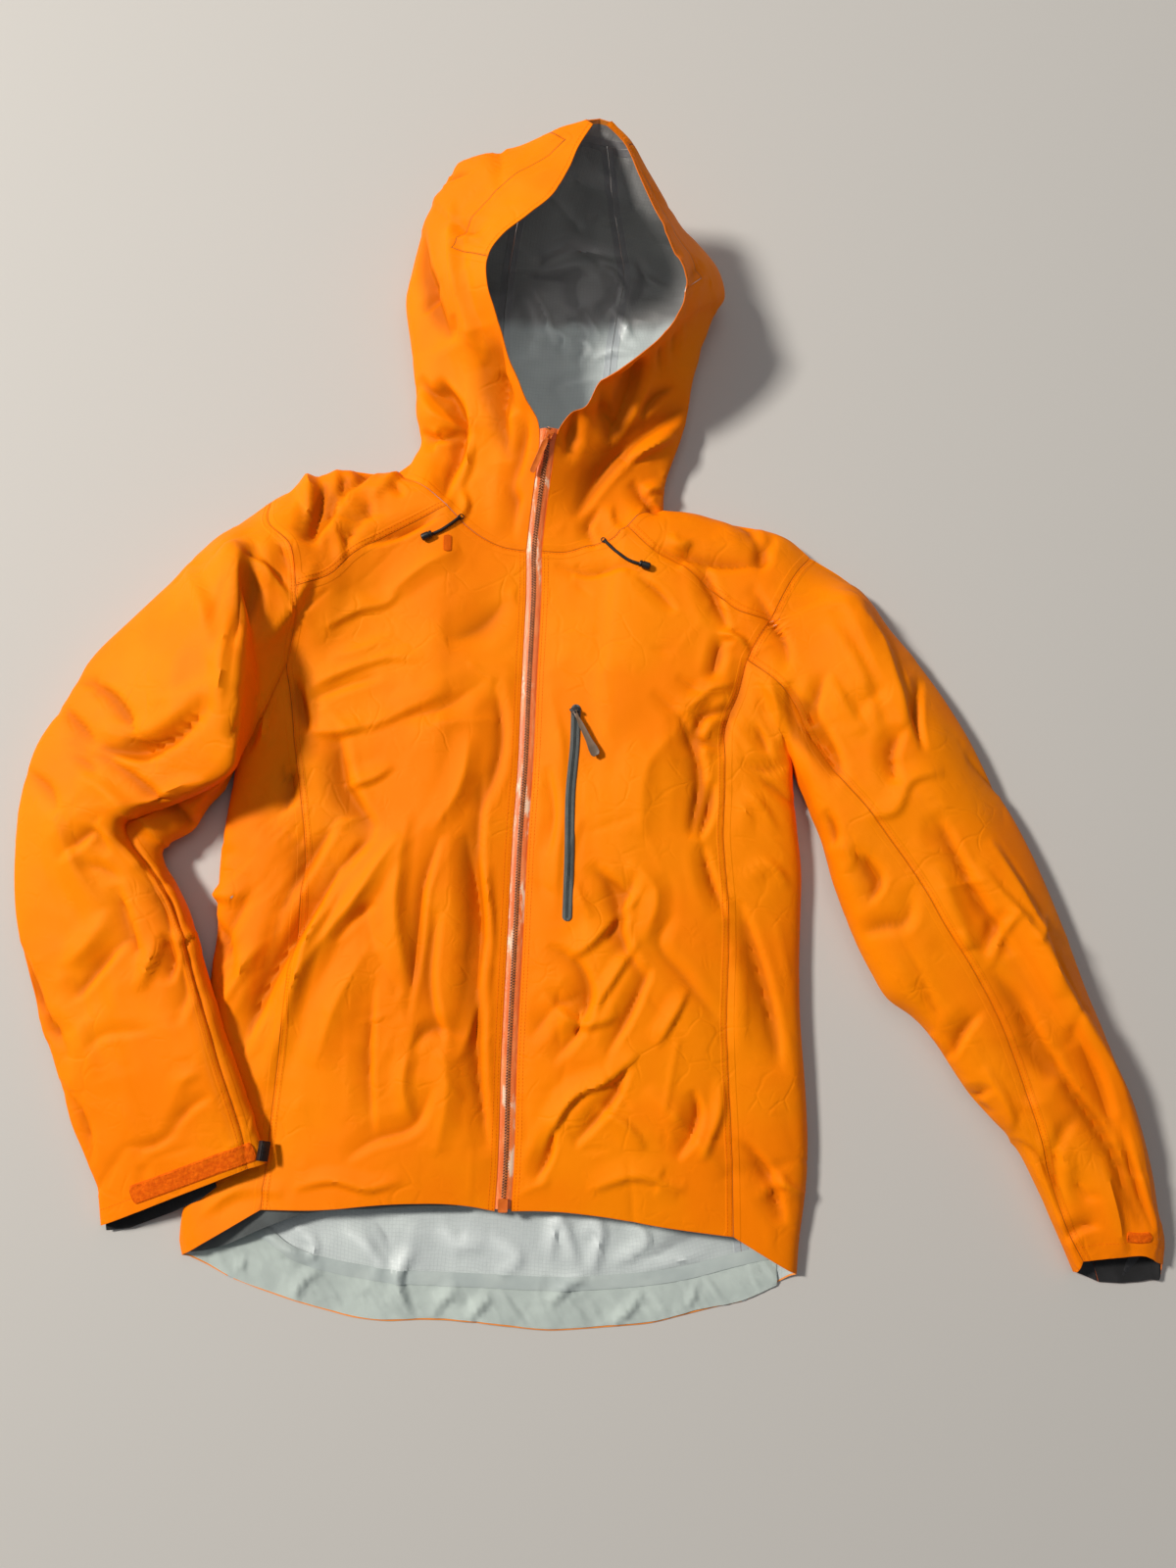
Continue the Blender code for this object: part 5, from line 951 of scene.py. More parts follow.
def back_grid() -> np.ndarray:
    """The back: one flat piece on the floor.

    Returns:
        Coarse rows of points, hem to neck.
    """
    hem = curve(on_floor(BACK_HEM), 2 * YOKE_ROWS + NECK_BACK - 2)
    sides = [join(curve(on_floor(SIDE_SEAM_BACK[side]), SIDE_ROWS), flatten(armhole(side, high=False)))
             for side in SIDES]
    yokes = [flatten(curve(YOKE_SEAM[side], YOKE_ROWS)) for side in SIDES]
    neck = flatten(curve(NECK_BACK_SEAM, NECK_BACK))
    yokes[0][0], yokes[1][0] = neck[0], neck[-1]
    grid = patch(hem, join(yokes[0][::-1], neck, yokes[1]), sides[0], sides[1])
    grid[..., 2] = FLOOR
    return grid


def sleeve_lines(side: str) -> dict:
    """Every sleeve line at the same rows: outer, ridge, seam, inner, under height.

    Args:
        side: right or left.

    Returns:
        One array of rows for each line, by name.
    """
    foot, shoulder = armhole(side)[0], armhole(side)[-1]
    lines = {"outer": [shoulder], "ridge": [armhole(side)[ARM_LOW - 1]], "seam": [foot],
             "inner": [TORSO_FOLD[side][-1]]}
    under = [FLOOR]
    for section in SLEEVE[side]:
        for name in lines:
            lines[name].append(getattr(section, name))
        under.append(max(section.under, LIFTED))
    knots = 0.5 * (chords(lines["outer"]) + chords(lines["inner"]))
    rows = np.linspace(0, knots[-1], SLEEVE_ROWS)
    read = {name: through(knots, values, rows) for name, values in lines.items()}
    read["under"] = np.interp(rows, knots, under)
    return read


def back_seam_of_sleeve(side: str, lines: dict) -> np.ndarray:
    """Seam on the sleeve's lower side, from the foot of the armhole to the cuff.

    Args:
        side: right or left.
        lines: the sleeve's lines.

    Returns:
        Its points, one to a row.
    """
    seam = lines["inner"] + SEAM_BELOW * (lines["outer"] - lines["inner"])
    seam[:, 2] = lines["under"]
    foot = armhole(side)[0]
    for row in range(GUSSET_ROWS):
        share = (row / GUSSET_ROWS) ** 0.8
        seam[row, :2] = (1 - share) * foot[:2] + share * seam[row, :2]
    seam[0, 2] = FLOOR
    if CUFF_UNDER[side]:
        seam[-1, 1] = np.interp(seam[-1, 0], *zip(*CUFF_UNDER[side]))
    return seam


def part_way(start: np.ndarray, end: np.ndarray, share: float, low: np.ndarray, high: np.ndarray,
             rise: float) -> np.ndarray:
    """Point of a section between two others.

    Args:
        start: where the share counts from.
        end: where it counts to.
        share: how far along the point is, in plan.
        low: the point that its height counts from.
        high: the point that its height counts to.
        rise: how much of that height it has.

    Returns:
        The point.
    """
    point = start + share * (end - start)
    point[2] = low[2] + rise * (high[2] - low[2])
    return point


def sleeve_grid(side: str) -> np.ndarray:
    """A sleeve's main piece, from the seam on top, over the outer edge, to the seam below.

    Args:
        side: right or left.

    Returns:
        Coarse rows of points, shoulder to cuff.
    """
    lines = sleeve_lines(side)
    seam_below = back_seam_of_sleeve(side, lines)
    grid = [np.vstack([armhole(side), flatten(armhole(side), keep_last=True)[::-1][1:]])]
    across = np.interp(np.linspace(0, 1, ARM_LOW + ARM_HIGH - 1),
                       (0, 1 / 6, 2 / 6, 3 / 6, 4 / 6, 5 / 6, 1), (0, 0.5, 1, 1.6, 2.2, 3.1, 4))
    for row in range(1, SLEEVE_ROWS):
        outer, ridge, seam = (lines[name][row] for name in ("outer", "ridge", "seam"))
        swell = part_way(ridge, outer, 0.55, outer, ridge, 0.72)
        brink = part_way(outer, ridge, 0.07, outer, ridge, 0.3)
        upper = through(range(5), [seam, ridge, swell, brink, outer], across)
        below = seam_below[row]
        sole = outer + 0.45 * (below - outer)
        sole[2] = LIFTED + 0.35 * (below[2] - LIFTED)
        edge = outer + 0.05 * (below - outer)
        edge[2] = 0.5 * (outer[2] + LIFTED) * 0.6
        lower = through(range(4), [outer, edge, sole, below], np.interp(across[::-1], (0, 4), (3, 0)))
        if row == SLEEVE_ROWS - 1 and CUFF_UNDER[side]:
            lower[1:-1, 1] = np.interp(lower[1:-1, 0], *zip(*CUFF_UNDER[side]))
        grid.append(np.vstack([upper, lower[1:]]))
    return np.array(grid)


def side_grid(side: str) -> np.ndarray:
    """Side and underarm in one piece: hem to armpit, then along the sleeve to the cuff.

    Args:
        side: right or left.

    Returns:
        Coarse rows of points, hem to cuff.
    """
    lines = sleeve_lines(side)
    start = join(curve(SIDE_SEAM[side], SIDE_ROWS), lines["seam"])
    fold = join(curve(TORSO_FOLD[side], SIDE_ROWS), lines["inner"])
    end = join(curve(on_floor(SIDE_SEAM_BACK[side]), SIDE_ROWS), back_seam_of_sleeve(side, lines))
    return np.array([wrap(start[row], fold[row], end[row], WRAP_COLUMNS) for row in range(len(start))])


def yoke_grid(side: str) -> np.ndarray:
    """A yoke, over the shoulder fold from the front yoke seam to the back one.

    Args:
        side: right or left.

    Returns:
        Coarse rows of points, neck to armhole.
    """
    front = curve(YOKE_SEAM[side], YOKE_ROWS)
    back = flatten(front)
    fold = curve(SHOULDER_FOLD[side], YOKE_ROWS)
    neck = curve(NECK_SIDE_SEAM[side], 2 * ARM_HIGH - 1)
    shoulder = armhole(side, low=False)
    arm = np.vstack([shoulder, flatten(shoulder, keep_last=True)[::-1][1:]])
    front[0], back[0] = neck[0], neck[-1]
    grid = np.array([wrap(front[row], fold[row], back[row], 2 * ARM_HIGH - 1) for row in range(YOKE_ROWS)])
    for row in range(YOKE_ROWS):
        share = row / (YOKE_ROWS - 1)
        if row:
            grid[row] += max(0.0, 1 - 2 * share) * (neck - grid[0])
        if row < YOKE_ROWS - 1:
            grid[row] += max(0.0, 2 * share - 1) * (arm - grid[-1])
    grid[0], grid[-1] = neck, arm
    return grid


def hood_row(section: HoodSection) -> np.ndarray:
    """Points across one hood section, from rim to rim.

    Args:
        section: the section.

    Returns:
        Its points, right rim to left rim.
    """

    def half(rim: tuple, outer: tuple, crown: tuple) -> np.ndarray:
        """Points from one rim to the crown.

        Args:
            rim: point on the rim.
            outer: point on the outer edge.
            crown: point on the crown.

        Returns:
            The points, from the rim.
        """
        rim, outer, crown = (np.array(point, dtype=float) for point in (rim, outer, crown))
        swell = part_way(rim, outer, 0.5, outer, rim, 0.62)
        brink = part_way(outer, rim, 0.1, outer, rim, 0.28)
        tuck = part_way(outer, crown, 0.12, crown, outer, 0.35)
        sole = part_way(outer, crown, 0.45, crown, outer, 0.04)
        across = np.concatenate([np.linspace(0, 3, NECK_FRONT + ARM_HIGH - 1),
                                 3 + np.linspace(0, 2, ARM_HIGH)[1:],
                                 5 + np.linspace(0, 1, NECK_BACK // 2 + 1)[1:]])
        return through(range(7), [rim, swell, brink, outer, tuck, sole, crown], across)

    right = half(section.rim_right, section.outer_right, section.crown)
    left = half(section.rim_left, section.outer_left, section.crown)
    return np.vstack([right, left[::-1][1:]])


def hood_grid() -> np.ndarray:
    """The whole hood and collar as one grid, neck seam to peak.

    Returns:
        Coarse rows of points, neck to peak.
    """
    necks = {side: join(neck_front(side), curve(NECK_SIDE_SEAM[side], 2 * ARM_HIGH - 1)) for side in SIDES}
    base = join(necks["right"], flatten(curve(NECK_BACK_SEAM, NECK_BACK)), necks["left"][::-1])
    sections = np.array([base] + [hood_row(section) for section in HOOD])
    knots = 0.5 * chords(sections[:, len(base) // 2]) + 0.5 * chords(sections[:, 0])
    rows = np.linspace(0, knots[-1], HOOD_ROWS)
    grid = through(knots, sections.reshape(len(sections), -1), rows).reshape(HOOD_ROWS, -1, 3)
    grid[..., 2] = np.maximum(grid[..., 2], FLOOR)
    line = curve(ZIP_LINE, 400)
    for row in range(1, HOOD_ROWS):
        for column, offset in ((0, -ZIP_EDGE), (-1, ZIP_EDGE)):
            if grid[row, column, 1] < ZIP_LINE[-1][1]:
                spot = line[np.argmin(abs(line[:, 1] - grid[row, column, 1]))]
                grid[row, column] = (spot[0] + offset, grid[row, column, 1], spot[2])
    return grid


# ---------------------------------------------------------------- finishes
class Recipe:
    """Node tree of one finish, with short ways to add to it."""

    def __init__(self, name: str) -> None:
        """Start an empty Principled material.

        Args:
            name: its name.
        """
        self.material = bpy.data.materials.new(name)
        self.material.use_nodes = True
        self.tree = self.material.node_tree
        self.shader = self.tree.nodes["Principled BSDF"]
        self.places = self.node("TexCoord", {}).outputs["Object"]

    def node(self, kind: str, inputs: dict, **settings: object) -> bpy.types.Node:
        """Add a shader node.

        Args:
            kind: its type, without the words ShaderNode.
            inputs: values or sockets for its inputs, by name or number.
            settings: properties of the node.

        Returns:
            The node.
        """
        made = self.tree.nodes.new("ShaderNode" + kind)
        for name, value in settings.items():
            setattr(made, name, value)
        for name, value in inputs.items():
            if isinstance(value, bpy.types.NodeSocket):
                self.tree.links.new(value, made.inputs[name])
            else:
                made.inputs[name].default_value = value
        return made

    def math(self, operation: str, *values: object) -> bpy.types.NodeSocket:
        """Sum, product or other sum of one or two numbers or sockets."""
        return self.node("Math", dict(enumerate(values)), operation=operation).outputs[0]

    def noise(self, size: float, detail: float = 3.0, roughness: float = 0.5) -> bpy.types.NodeSocket:
        """Even noise whose humps are `size` millimetres wide."""
        return self.node("TexNoise", {"Vector": self.places, "Scale": 1000.0 / size, "Detail": detail,
                                      "Roughness": roughness}).outputs["Fac"]

    def band(self, value: bpy.types.NodeSocket, low: float, high: float) -> bpy.types.NodeSocket:
        """Smooth step of a value, 0 at low and 1 at high."""
        return self.node("MapRange", {"Value": value, "From Min": low, "From Max": high},
                         interpolation_type="SMOOTHSTEP").outputs[0]

    def mixed(self, share: bpy.types.NodeSocket, first: tuple, second: tuple) -> bpy.types.NodeSocket:
        """Colour between two colours or sockets."""
        first, second = ((*item, 1.0) if isinstance(item, tuple) else item for item in (first, second))
        return self.node("Mix", {0: share, 6: first, 7: second}, data_type="RGBA").outputs[2]

    def tinted(self, tone: bpy.types.NodeSocket, share: bpy.types.NodeSocket, most: float,
               colour: tuple) -> bpy.types.NodeSocket:
        """Tone with some of a colour over it.

        Args:
            tone: the tone.
            share: where the colour goes, 0 to 1.
            most: how much of it there is where the share is 1.
            colour: the colour.

        Returns:
            The new tone.
        """
        return self.mixed(self.math("MULTIPLY", share, most), tone, colour)

    def bump(self, height: bpy.types.NodeSocket, depth: float,
             below: Optional[bpy.types.NodeSocket] = None) -> bpy.types.NodeSocket:
        """Relief `depth` millimetres deep, over another relief.

        Args:
            height: the relief, 0 to 1.
            depth: how deep it is.
            below: the relief that it lies on, if any.

        Returns:
            The normal.
        """
        inputs = {"Height": height, "Distance": MM * depth, "Strength": 1.0}
        if below is not None:
            inputs["Normal"] = below
        return self.node("Bump", inputs).outputs["Normal"]

    def set(self, **values: object) -> None:
        """Set the shader's own sockets, by name with _ for a space.

        Args:
            values: numbers, colours or sockets.
        """
        for name, value in values.items():
            socket = self.shader.inputs[name.replace("_", " ")]
            if isinstance(value, bpy.types.NodeSocket):
                self.tree.links.new(value, socket)
            else:
                socket.default_value = (*value, 1.0) if isinstance(value, tuple) else value

    def threads(self, pitch: float, lift: float = 1.0) -> bpy.types.NodeSocket:
        """Plain weave along the cloth's own UV map, `pitch` millimetres from thread to thread.

        Args:
            pitch: from thread to thread.
            lift: factor on the relief.

        Returns:
            The relief.
        """
        weave = self.node("UVMap", {}, uv_map="weave").outputs["UV"]
        turned = self.node("SeparateXYZ", {"Vector": weave})
        rows = [self.math("SINE", self.math("MULTIPLY", turned.outputs[axis], math.tau * 1000.0 / pitch))
                for axis in range(2)]
        return self.math("MULTIPLY", self.math("MULTIPLY", rows[0], rows[1]), lift)

    def attribute(self, name: str) -> bpy.types.NodeSocket:
        """One of the piece's own number attributes."""
        return self.node("Attribute", {}, attribute_name=name).outputs["Fac"]


@dataclass(frozen=True)
class ShellCloth:
    """Matte nylon shell: fine weave, sparse set-in creases, painted shade along the seams and in crease
    troughs, painted highlight on crease ridges.
    """
    name: str = "shell_cloth"
    colour: tuple = (1.0, 0.22, 0.0)
    # lighter tone: at random over the cloth, and as painted highlight on crease ridges
    light: tuple = (1.0, 0.25, 0.0)
    # darker orange: painted shade along each piece's border, and the tone of the small random specks
    hollow: tuple = (0.80, 0.155, 0.0)
    # painted shade in the crease troughs
    trough: tuple = (0.58, 0.125, 0.0)
    roughness: float = 0.5
    crease_sizes: tuple = (31.0, 14.0)
    crease_depth: float = 0.24
    crinkle_depth: float = 0.05
    tape_half: float = 6.5         # half width of the seam tape that shows through
    gloss: float = 0.07
    painted_shade_depths: tuple = (-0.8, -6.0)    # relief at which the painted shade of the troughs starts, and where it is full
    # relief at which the painted highlight on the ridges starts, and where it is full
    painted_highlight_heights: tuple = (1.5, 6.0)

    def material(self) -> bpy.types.Material:
        """Make the finish.

        Returns:
            The material.
        """
        recipe = Recipe(self.name)
        tone = recipe.mixed(recipe.band(recipe.noise(110, 3), 0.4, 0.65), self.colour, self.light)
        # painted shade in a thin band along each piece's border
        painted_seam_shade = recipe.band(recipe.attribute("edge"), 1.6, 0.0)
        speck = recipe.band(recipe.noise(1.3, 2), 0.7, 0.9)
        tone = recipe.tinted(tone, painted_seam_shade, 0.6, self.hollow)
        tone = recipe.tinted(tone, speck, 0.2, self.hollow)
        drift = recipe.node("TexNoise", {"Vector": recipe.places, "Scale": 30.0, "Detail": 1.0})
        bent = recipe.node("VectorMath", {0: drift.outputs["Color"], 1: (0.025,) * 3, 2: recipe.places},
                           operation="MULTIPLY_ADD").outputs[0]
        depth = recipe.attribute("relief")
        # painted shade in crease troughs and painted highlight on crease ridges, by their relief
        tone = recipe.tinted(tone, recipe.band(depth, *self.painted_shade_depths), 0.8, self.trough)
        tone = recipe.tinted(tone, recipe.band(depth, *self.painted_highlight_heights), 0.7, self.light)
        relief = None
        for size, share in zip(self.crease_sizes, (1.0, 0.5)):
            cells = recipe.node("TexVoronoi", {"Vector": bent, "Scale": 1000.0 / size},
                                feature="DISTANCE_TO_EDGE").outputs["Distance"]
            line = recipe.band(cells, 0.0, 2.6 / size)
            sparse = recipe.math("MULTIPLY", recipe.band(recipe.noise(1.7 * size, 1), 0.5, 0.66), share)
            step = recipe.math("MULTIPLY", line, sparse)
            relief = step if relief is None else recipe.math("ADD", relief, step)
        taped = recipe.band(recipe.attribute("seam"), self.tape_half + 0.5, self.tape_half - 0.5)
        normal = recipe.bump(recipe.math("ADD", relief, taped), self.crease_depth)
        normal = recipe.bump(recipe.noise(5.0, 3, 0.6), self.crinkle_depth, normal)
        normal = recipe.bump(recipe.threads(0.7), 0.03, normal)
        recipe.set(Base_Color=tone, Roughness=self.roughness, Normal=normal, Specular_IOR_Level=self.gloss)
        return recipe.material


@dataclass(frozen=True)
class Lining:
    """Inner face of the shell: coated ripstop, orange at a turned edge and black in the cuffs, with painted
    shade in its folds and painted highlight on its crests.
    """
    name: str = "grey_ripstop"
    colour: tuple = (0.61, 0.67, 0.66)
    shade: tuple = (0.52, 0.57, 0.57)
    thread: tuple = (0.44, 0.48, 0.49)
    tape: tuple = (0.47, 0.51, 0.53)
    tape_half: float = 6.5
    turned: tuple = (0.95, 0.30, 0.03)
    cuff: tuple = (0.013, 0.013, 0.015)
    pitch: float = 3.4
    turned_width: float = 1.6
    cuff_depth: float = 42.0
    roughness: float = 0.4
    # painted shade in the lining's folds
    fold_shade: tuple = (0.22, 0.24, 0.25)
    # painted highlight on the crests of the lining's folds
    crest: tuple = (0.80, 0.86, 0.86)
    fold_depths: tuple = (0.5, 5.0)        # relief, seen from outside, at which the painted shade starts and is full
    # relief at which the painted highlight starts and is full
    painted_crest_highlight_heights: tuple = (-1.0, -6.0)
    upper: tuple = (1.0, 1.0, 1.0)         # painted shadow: what its tone is multiplied by in its upper part
    painted_shadow_from: float = 9999.0     # lay's Y from which it has the painted shadow

    def material(self) -> bpy.types.Material:
        """Make the finish.

        Returns:
            The material.
        """
        recipe = Recipe(self.name)
        weave = recipe.node("UVMap", {}, uv_map="weave").outputs["UV"]
        turned = recipe.node("SeparateXYZ", {"Vector": weave})
        lines = []
        for axis in range(2):
            wave = recipe.math("COSINE", recipe.math("MULTIPLY", turned.outputs[axis],
                                                     math.tau * 1000.0 / self.pitch))
            lines.append(recipe.band(wave, 0.76, 0.99))
        grid = recipe.math("MAXIMUM", lines[0], lines[1])
        tone = recipe.mixed(recipe.band(recipe.noise(60, 3), 0.3, 0.7), self.shade, self.colour)
        tone = recipe.tinted(tone, grid, 0.32, self.thread)
        taped = recipe.band(recipe.attribute("seam"), self.tape_half + 0.3, self.tape_half - 0.3)
        tone = recipe.mixed(taped, tone, self.tape)
        depth = recipe.attribute("relief")
        # painted shade in the lining's folds and painted highlight on their crests
        tone = recipe.tinted(tone, recipe.band(depth, *self.fold_depths), 0.55, self.fold_shade)
        tone = recipe.tinted(tone, recipe.band(depth, *self.painted_crest_highlight_heights), 0.5, self.crest)
        # painted shadow over the upper part of the hood lining, where the brim and rim shade it
        along = recipe.node("SeparateXYZ", {"Vector": recipe.places}).outputs[1]
        uneven = recipe.math("ADD", along, recipe.math("MULTIPLY", recipe.noise(45, 2), 0.02))
        start = MM * (self.painted_shadow_from - LAY_CENTRE[1])
        in_painted_shadow = recipe.band(uneven, start - 0.006, start + 0.012)
        tone = recipe.node("Mix", {0: in_painted_shadow, 6: tone, 7: (*self.upper, 1.0)}, data_type="RGBA",
                           blend_type="MULTIPLY").outputs[2]
        near_edge = recipe.band(recipe.attribute("free"), self.turned_width + 0.3, self.turned_width - 0.3)
        tone = recipe.mixed(near_edge, tone, self.turned)
        in_cuff = recipe.band(recipe.attribute("cuff"), self.cuff_depth + 0.5, self.cuff_depth - 0.5)
        tone = recipe.mixed(in_cuff, tone, self.cuff)
        normal = recipe.bump(recipe.math("ADD", recipe.noise(9, 3), recipe.noise(22, 2)), 0.35)
        normal = recipe.bump(recipe.math("ADD", recipe.math("MULTIPLY", grid, 0.3), taped), 0.2, normal)
        recipe.set(Base_Color=tone, Roughness=self.roughness, Normal=normal, Sheen_Weight=0.1,
                   Sheen_Roughness=0.4, Specular_IOR_Level=0.6)
        return recipe.material


@dataclass(frozen=True)
class PlainFinish:
    """A simple moulded or woven finish: two tones, one relief."""
    name: str
    colour: tuple
    shade: tuple
    roughness: float
    grain: float = 3.0
    depth: float = 0.1
    weave: float = 0.0
    sheen: float = 0.0
    gloss: float = 0.4

    def material(self) -> bpy.types.Material:
        """Make the finish.

        Returns:
            The material.
        """
        recipe = Recipe(self.name)
        tone = recipe.mixed(recipe.band(recipe.noise(4 * self.grain, 3), 0.35, 0.7), self.shade,
                            self.colour)
        normal = recipe.bump(recipe.noise(self.grain, 3), self.depth)
        if self.weave:
            normal = recipe.bump(recipe.threads(self.weave), 0.08, normal)
        recipe.set(Base_Color=tone, Roughness=self.roughness, Normal=normal, Sheen_Weight=self.sheen,
                   Sheen_Roughness=0.5, Specular_IOR_Level=self.gloss)
        return recipe.material


@dataclass(frozen=True)
class CoatedTape:
    """Coated zip tape: salmon orange, lighter and glossy where its attribute says, for wear and for painted
    glints.
    """
    name: str = "zip_tape"
    colour: tuple = (0.88, 0.17, 0.03)
    light: tuple = (0.95, 0.27, 0.075)
    # pale patches: wear on the tape, and painted glints
    worn_and_glint: tuple = (0.96, 0.68, 0.48)
    patch_length: float = 16.0

    def material(self) -> bpy.types.Material:
        """Make the finish.

        Returns:
            The material.
        """
        recipe = Recipe(self.name)
        drawn = recipe.node("Mapping", {"Vector": recipe.places, "Scale": (2.2, 0.4, 1.0)}).outputs[0]
        patches = recipe.node("TexNoise", {"Vector": drawn, "Scale": 1000.0 / self.patch_length,
                                           "Detail": 5.0, "Roughness": 0.7}).outputs["Fac"]
        reach = recipe.math("ADD", patches, recipe.math("MULTIPLY", recipe.attribute("rubbed_and_glint"), 0.125))
        tone = recipe.mixed(recipe.band(patches, 0.42, 0.6), self.colour, self.light)
        # pale patches stand for wear and for painted glints
        tone = recipe.mixed(recipe.band(reach, 0.61, 0.74), tone, self.worn_and_glint)
        normal = recipe.bump(recipe.noise(2.5, 3), 0.14)
        normal = recipe.bump(recipe.threads(0.8), 0.03, normal)
        recipe.set(Base_Color=tone, Roughness=0.3, Normal=normal, Specular_IOR_Level=0.5)
        return recipe.material


class Finish(Enum):
    """The finishes of the jacket; the value's name is the material's name."""
    SHELL = ShellCloth()
    LINING = Lining()
    # the hood lining's upper part carries a painted shadow
    HOOD_LINING = Lining("hood_ripstop", turned_width=4.5, upper=(0.52, 0.47, 0.47), painted_shadow_from=400.0)
    TAPE = CoatedTape()
    FACING = PlainFinish("grey_green_facing", (0.56, 0.64, 0.60), (0.48, 0.55, 0.52),
                         0.5, 9.0, 0.4, 0.8, 0.1)
    SEAM_TAPE = PlainFinish("seam_tape", (0.50, 0.56, 0.54), (0.43, 0.49, 0.48), 0.35, 9.0, 0.3)
    # dark slate: the front hem's facing, darkened as painted shadow under the hem
    BAND = PlainFinish("slate_band_and_painted_shadow", (0.11, 0.125, 0.125), (0.08, 0.09, 0.09), 0.6, 6.0, 0.4, 0.8, 0.1)
    CUFF = PlainFinish("black_facing", (0.012, 0.012, 0.014), (0.006, 0.006, 0.007),
                       0.7, 4.0, 0.3, 0.8, 0.15)
    TEETH = PlainFinish("zip_teeth", (0.66, 0.20, 0.05), (0.42, 0.12, 0.03), 0.4, 2.0, 0.1)
    COIL_BED = PlainFinish("zip_coil_bed", (0.13, 0.04, 0.012), (0.08, 0.025, 0.01), 0.5, 2.0, 0.1)
    TAB = PlainFinish("orange_tab", (0.84, 0.15, 0.0), (0.72, 0.11, 0.0), 0.6, 4.0, 0.2, 0.8, 0.0, 0.08)
    PULL = PlainFinish("grey_brown_pull", (0.17, 0.10, 0.055), (0.12, 0.075, 0.045), 0.42, 3.0, 0.08)
    SLATE = PlainFinish("slate_zip", (0.098, 0.110, 0.105), (0.078, 0.088, 0.085),
                        0.45, 3.0, 0.1, 0.9, 0.1)
    SLATE_COIL = PlainFinish("slate_coil", (0.062, 0.070, 0.067), (0.045, 0.05, 0.05), 0.45, 2.0, 0.06)
    SLIDER = PlainFinish("dark_slider", (0.03, 0.03, 0.032), (0.018, 0.018, 0.02), 0.35, 2.0, 0.06)
    ORANGE_PLASTIC = PlainFinish("orange_plastic", (0.80, 0.18, 0.02), (0.66, 0.13, 0.012),
                                 0.38, 2.0, 0.06)
    CORD = PlainFinish("black_cord", (0.007, 0.007, 0.007), (0.004, 0.004, 0.004), 0.65, 1.0, 0.12)
    RUBBER = PlainFinish("black_rubber", (0.014, 0.014, 0.015), (0.008, 0.008, 0.009), 0.42, 1.5, 0.06)
    HOOK = PlainFinish("hook_tape", (0.92, 0.155, 0.004), (0.74, 0.105, 0.003),
                       0.9, 0.9, 0.6, 0.0, 0.0, 0.05)
    THREAD = PlainFinish("orange_thread", (0.92, 0.165, 0.0), (0.82, 0.14, 0.0),
                         0.6, 1.0, 0.05, 0.0, 0.0, 0.1)


MADE: dict = {}     # the materials made so far, by finish


def dress(piece: bpy.types.Object, *finishes: Finish) -> None:
    """Give a piece its finishes, outer first, making each once.

    Args:
        piece: the piece.
        finishes: its finishes.
    """
    for finish in finishes:
        if finish not in MADE:
            MADE[finish] = finish.value.material()
        piece.data.materials.append(MADE[finish])


# ---------------------------------------------------------------- cloth pieces
class Group(Enum):
    """Groups of listed creases."""
    OUTSIDE = ("front_right", "front_left", "armpit_left", "sleeve_left", "sleeve_right", "shoulder_right",
               "hood")
    BACK_INSIDE = ("back_inside",)
    HOOD_INSIDE = ("hood_inside",)


class Facing(Enum):
    """Where a piece's outer face looks."""
    UP = "up"
    DOWN = "down"
    ROUND = "round"


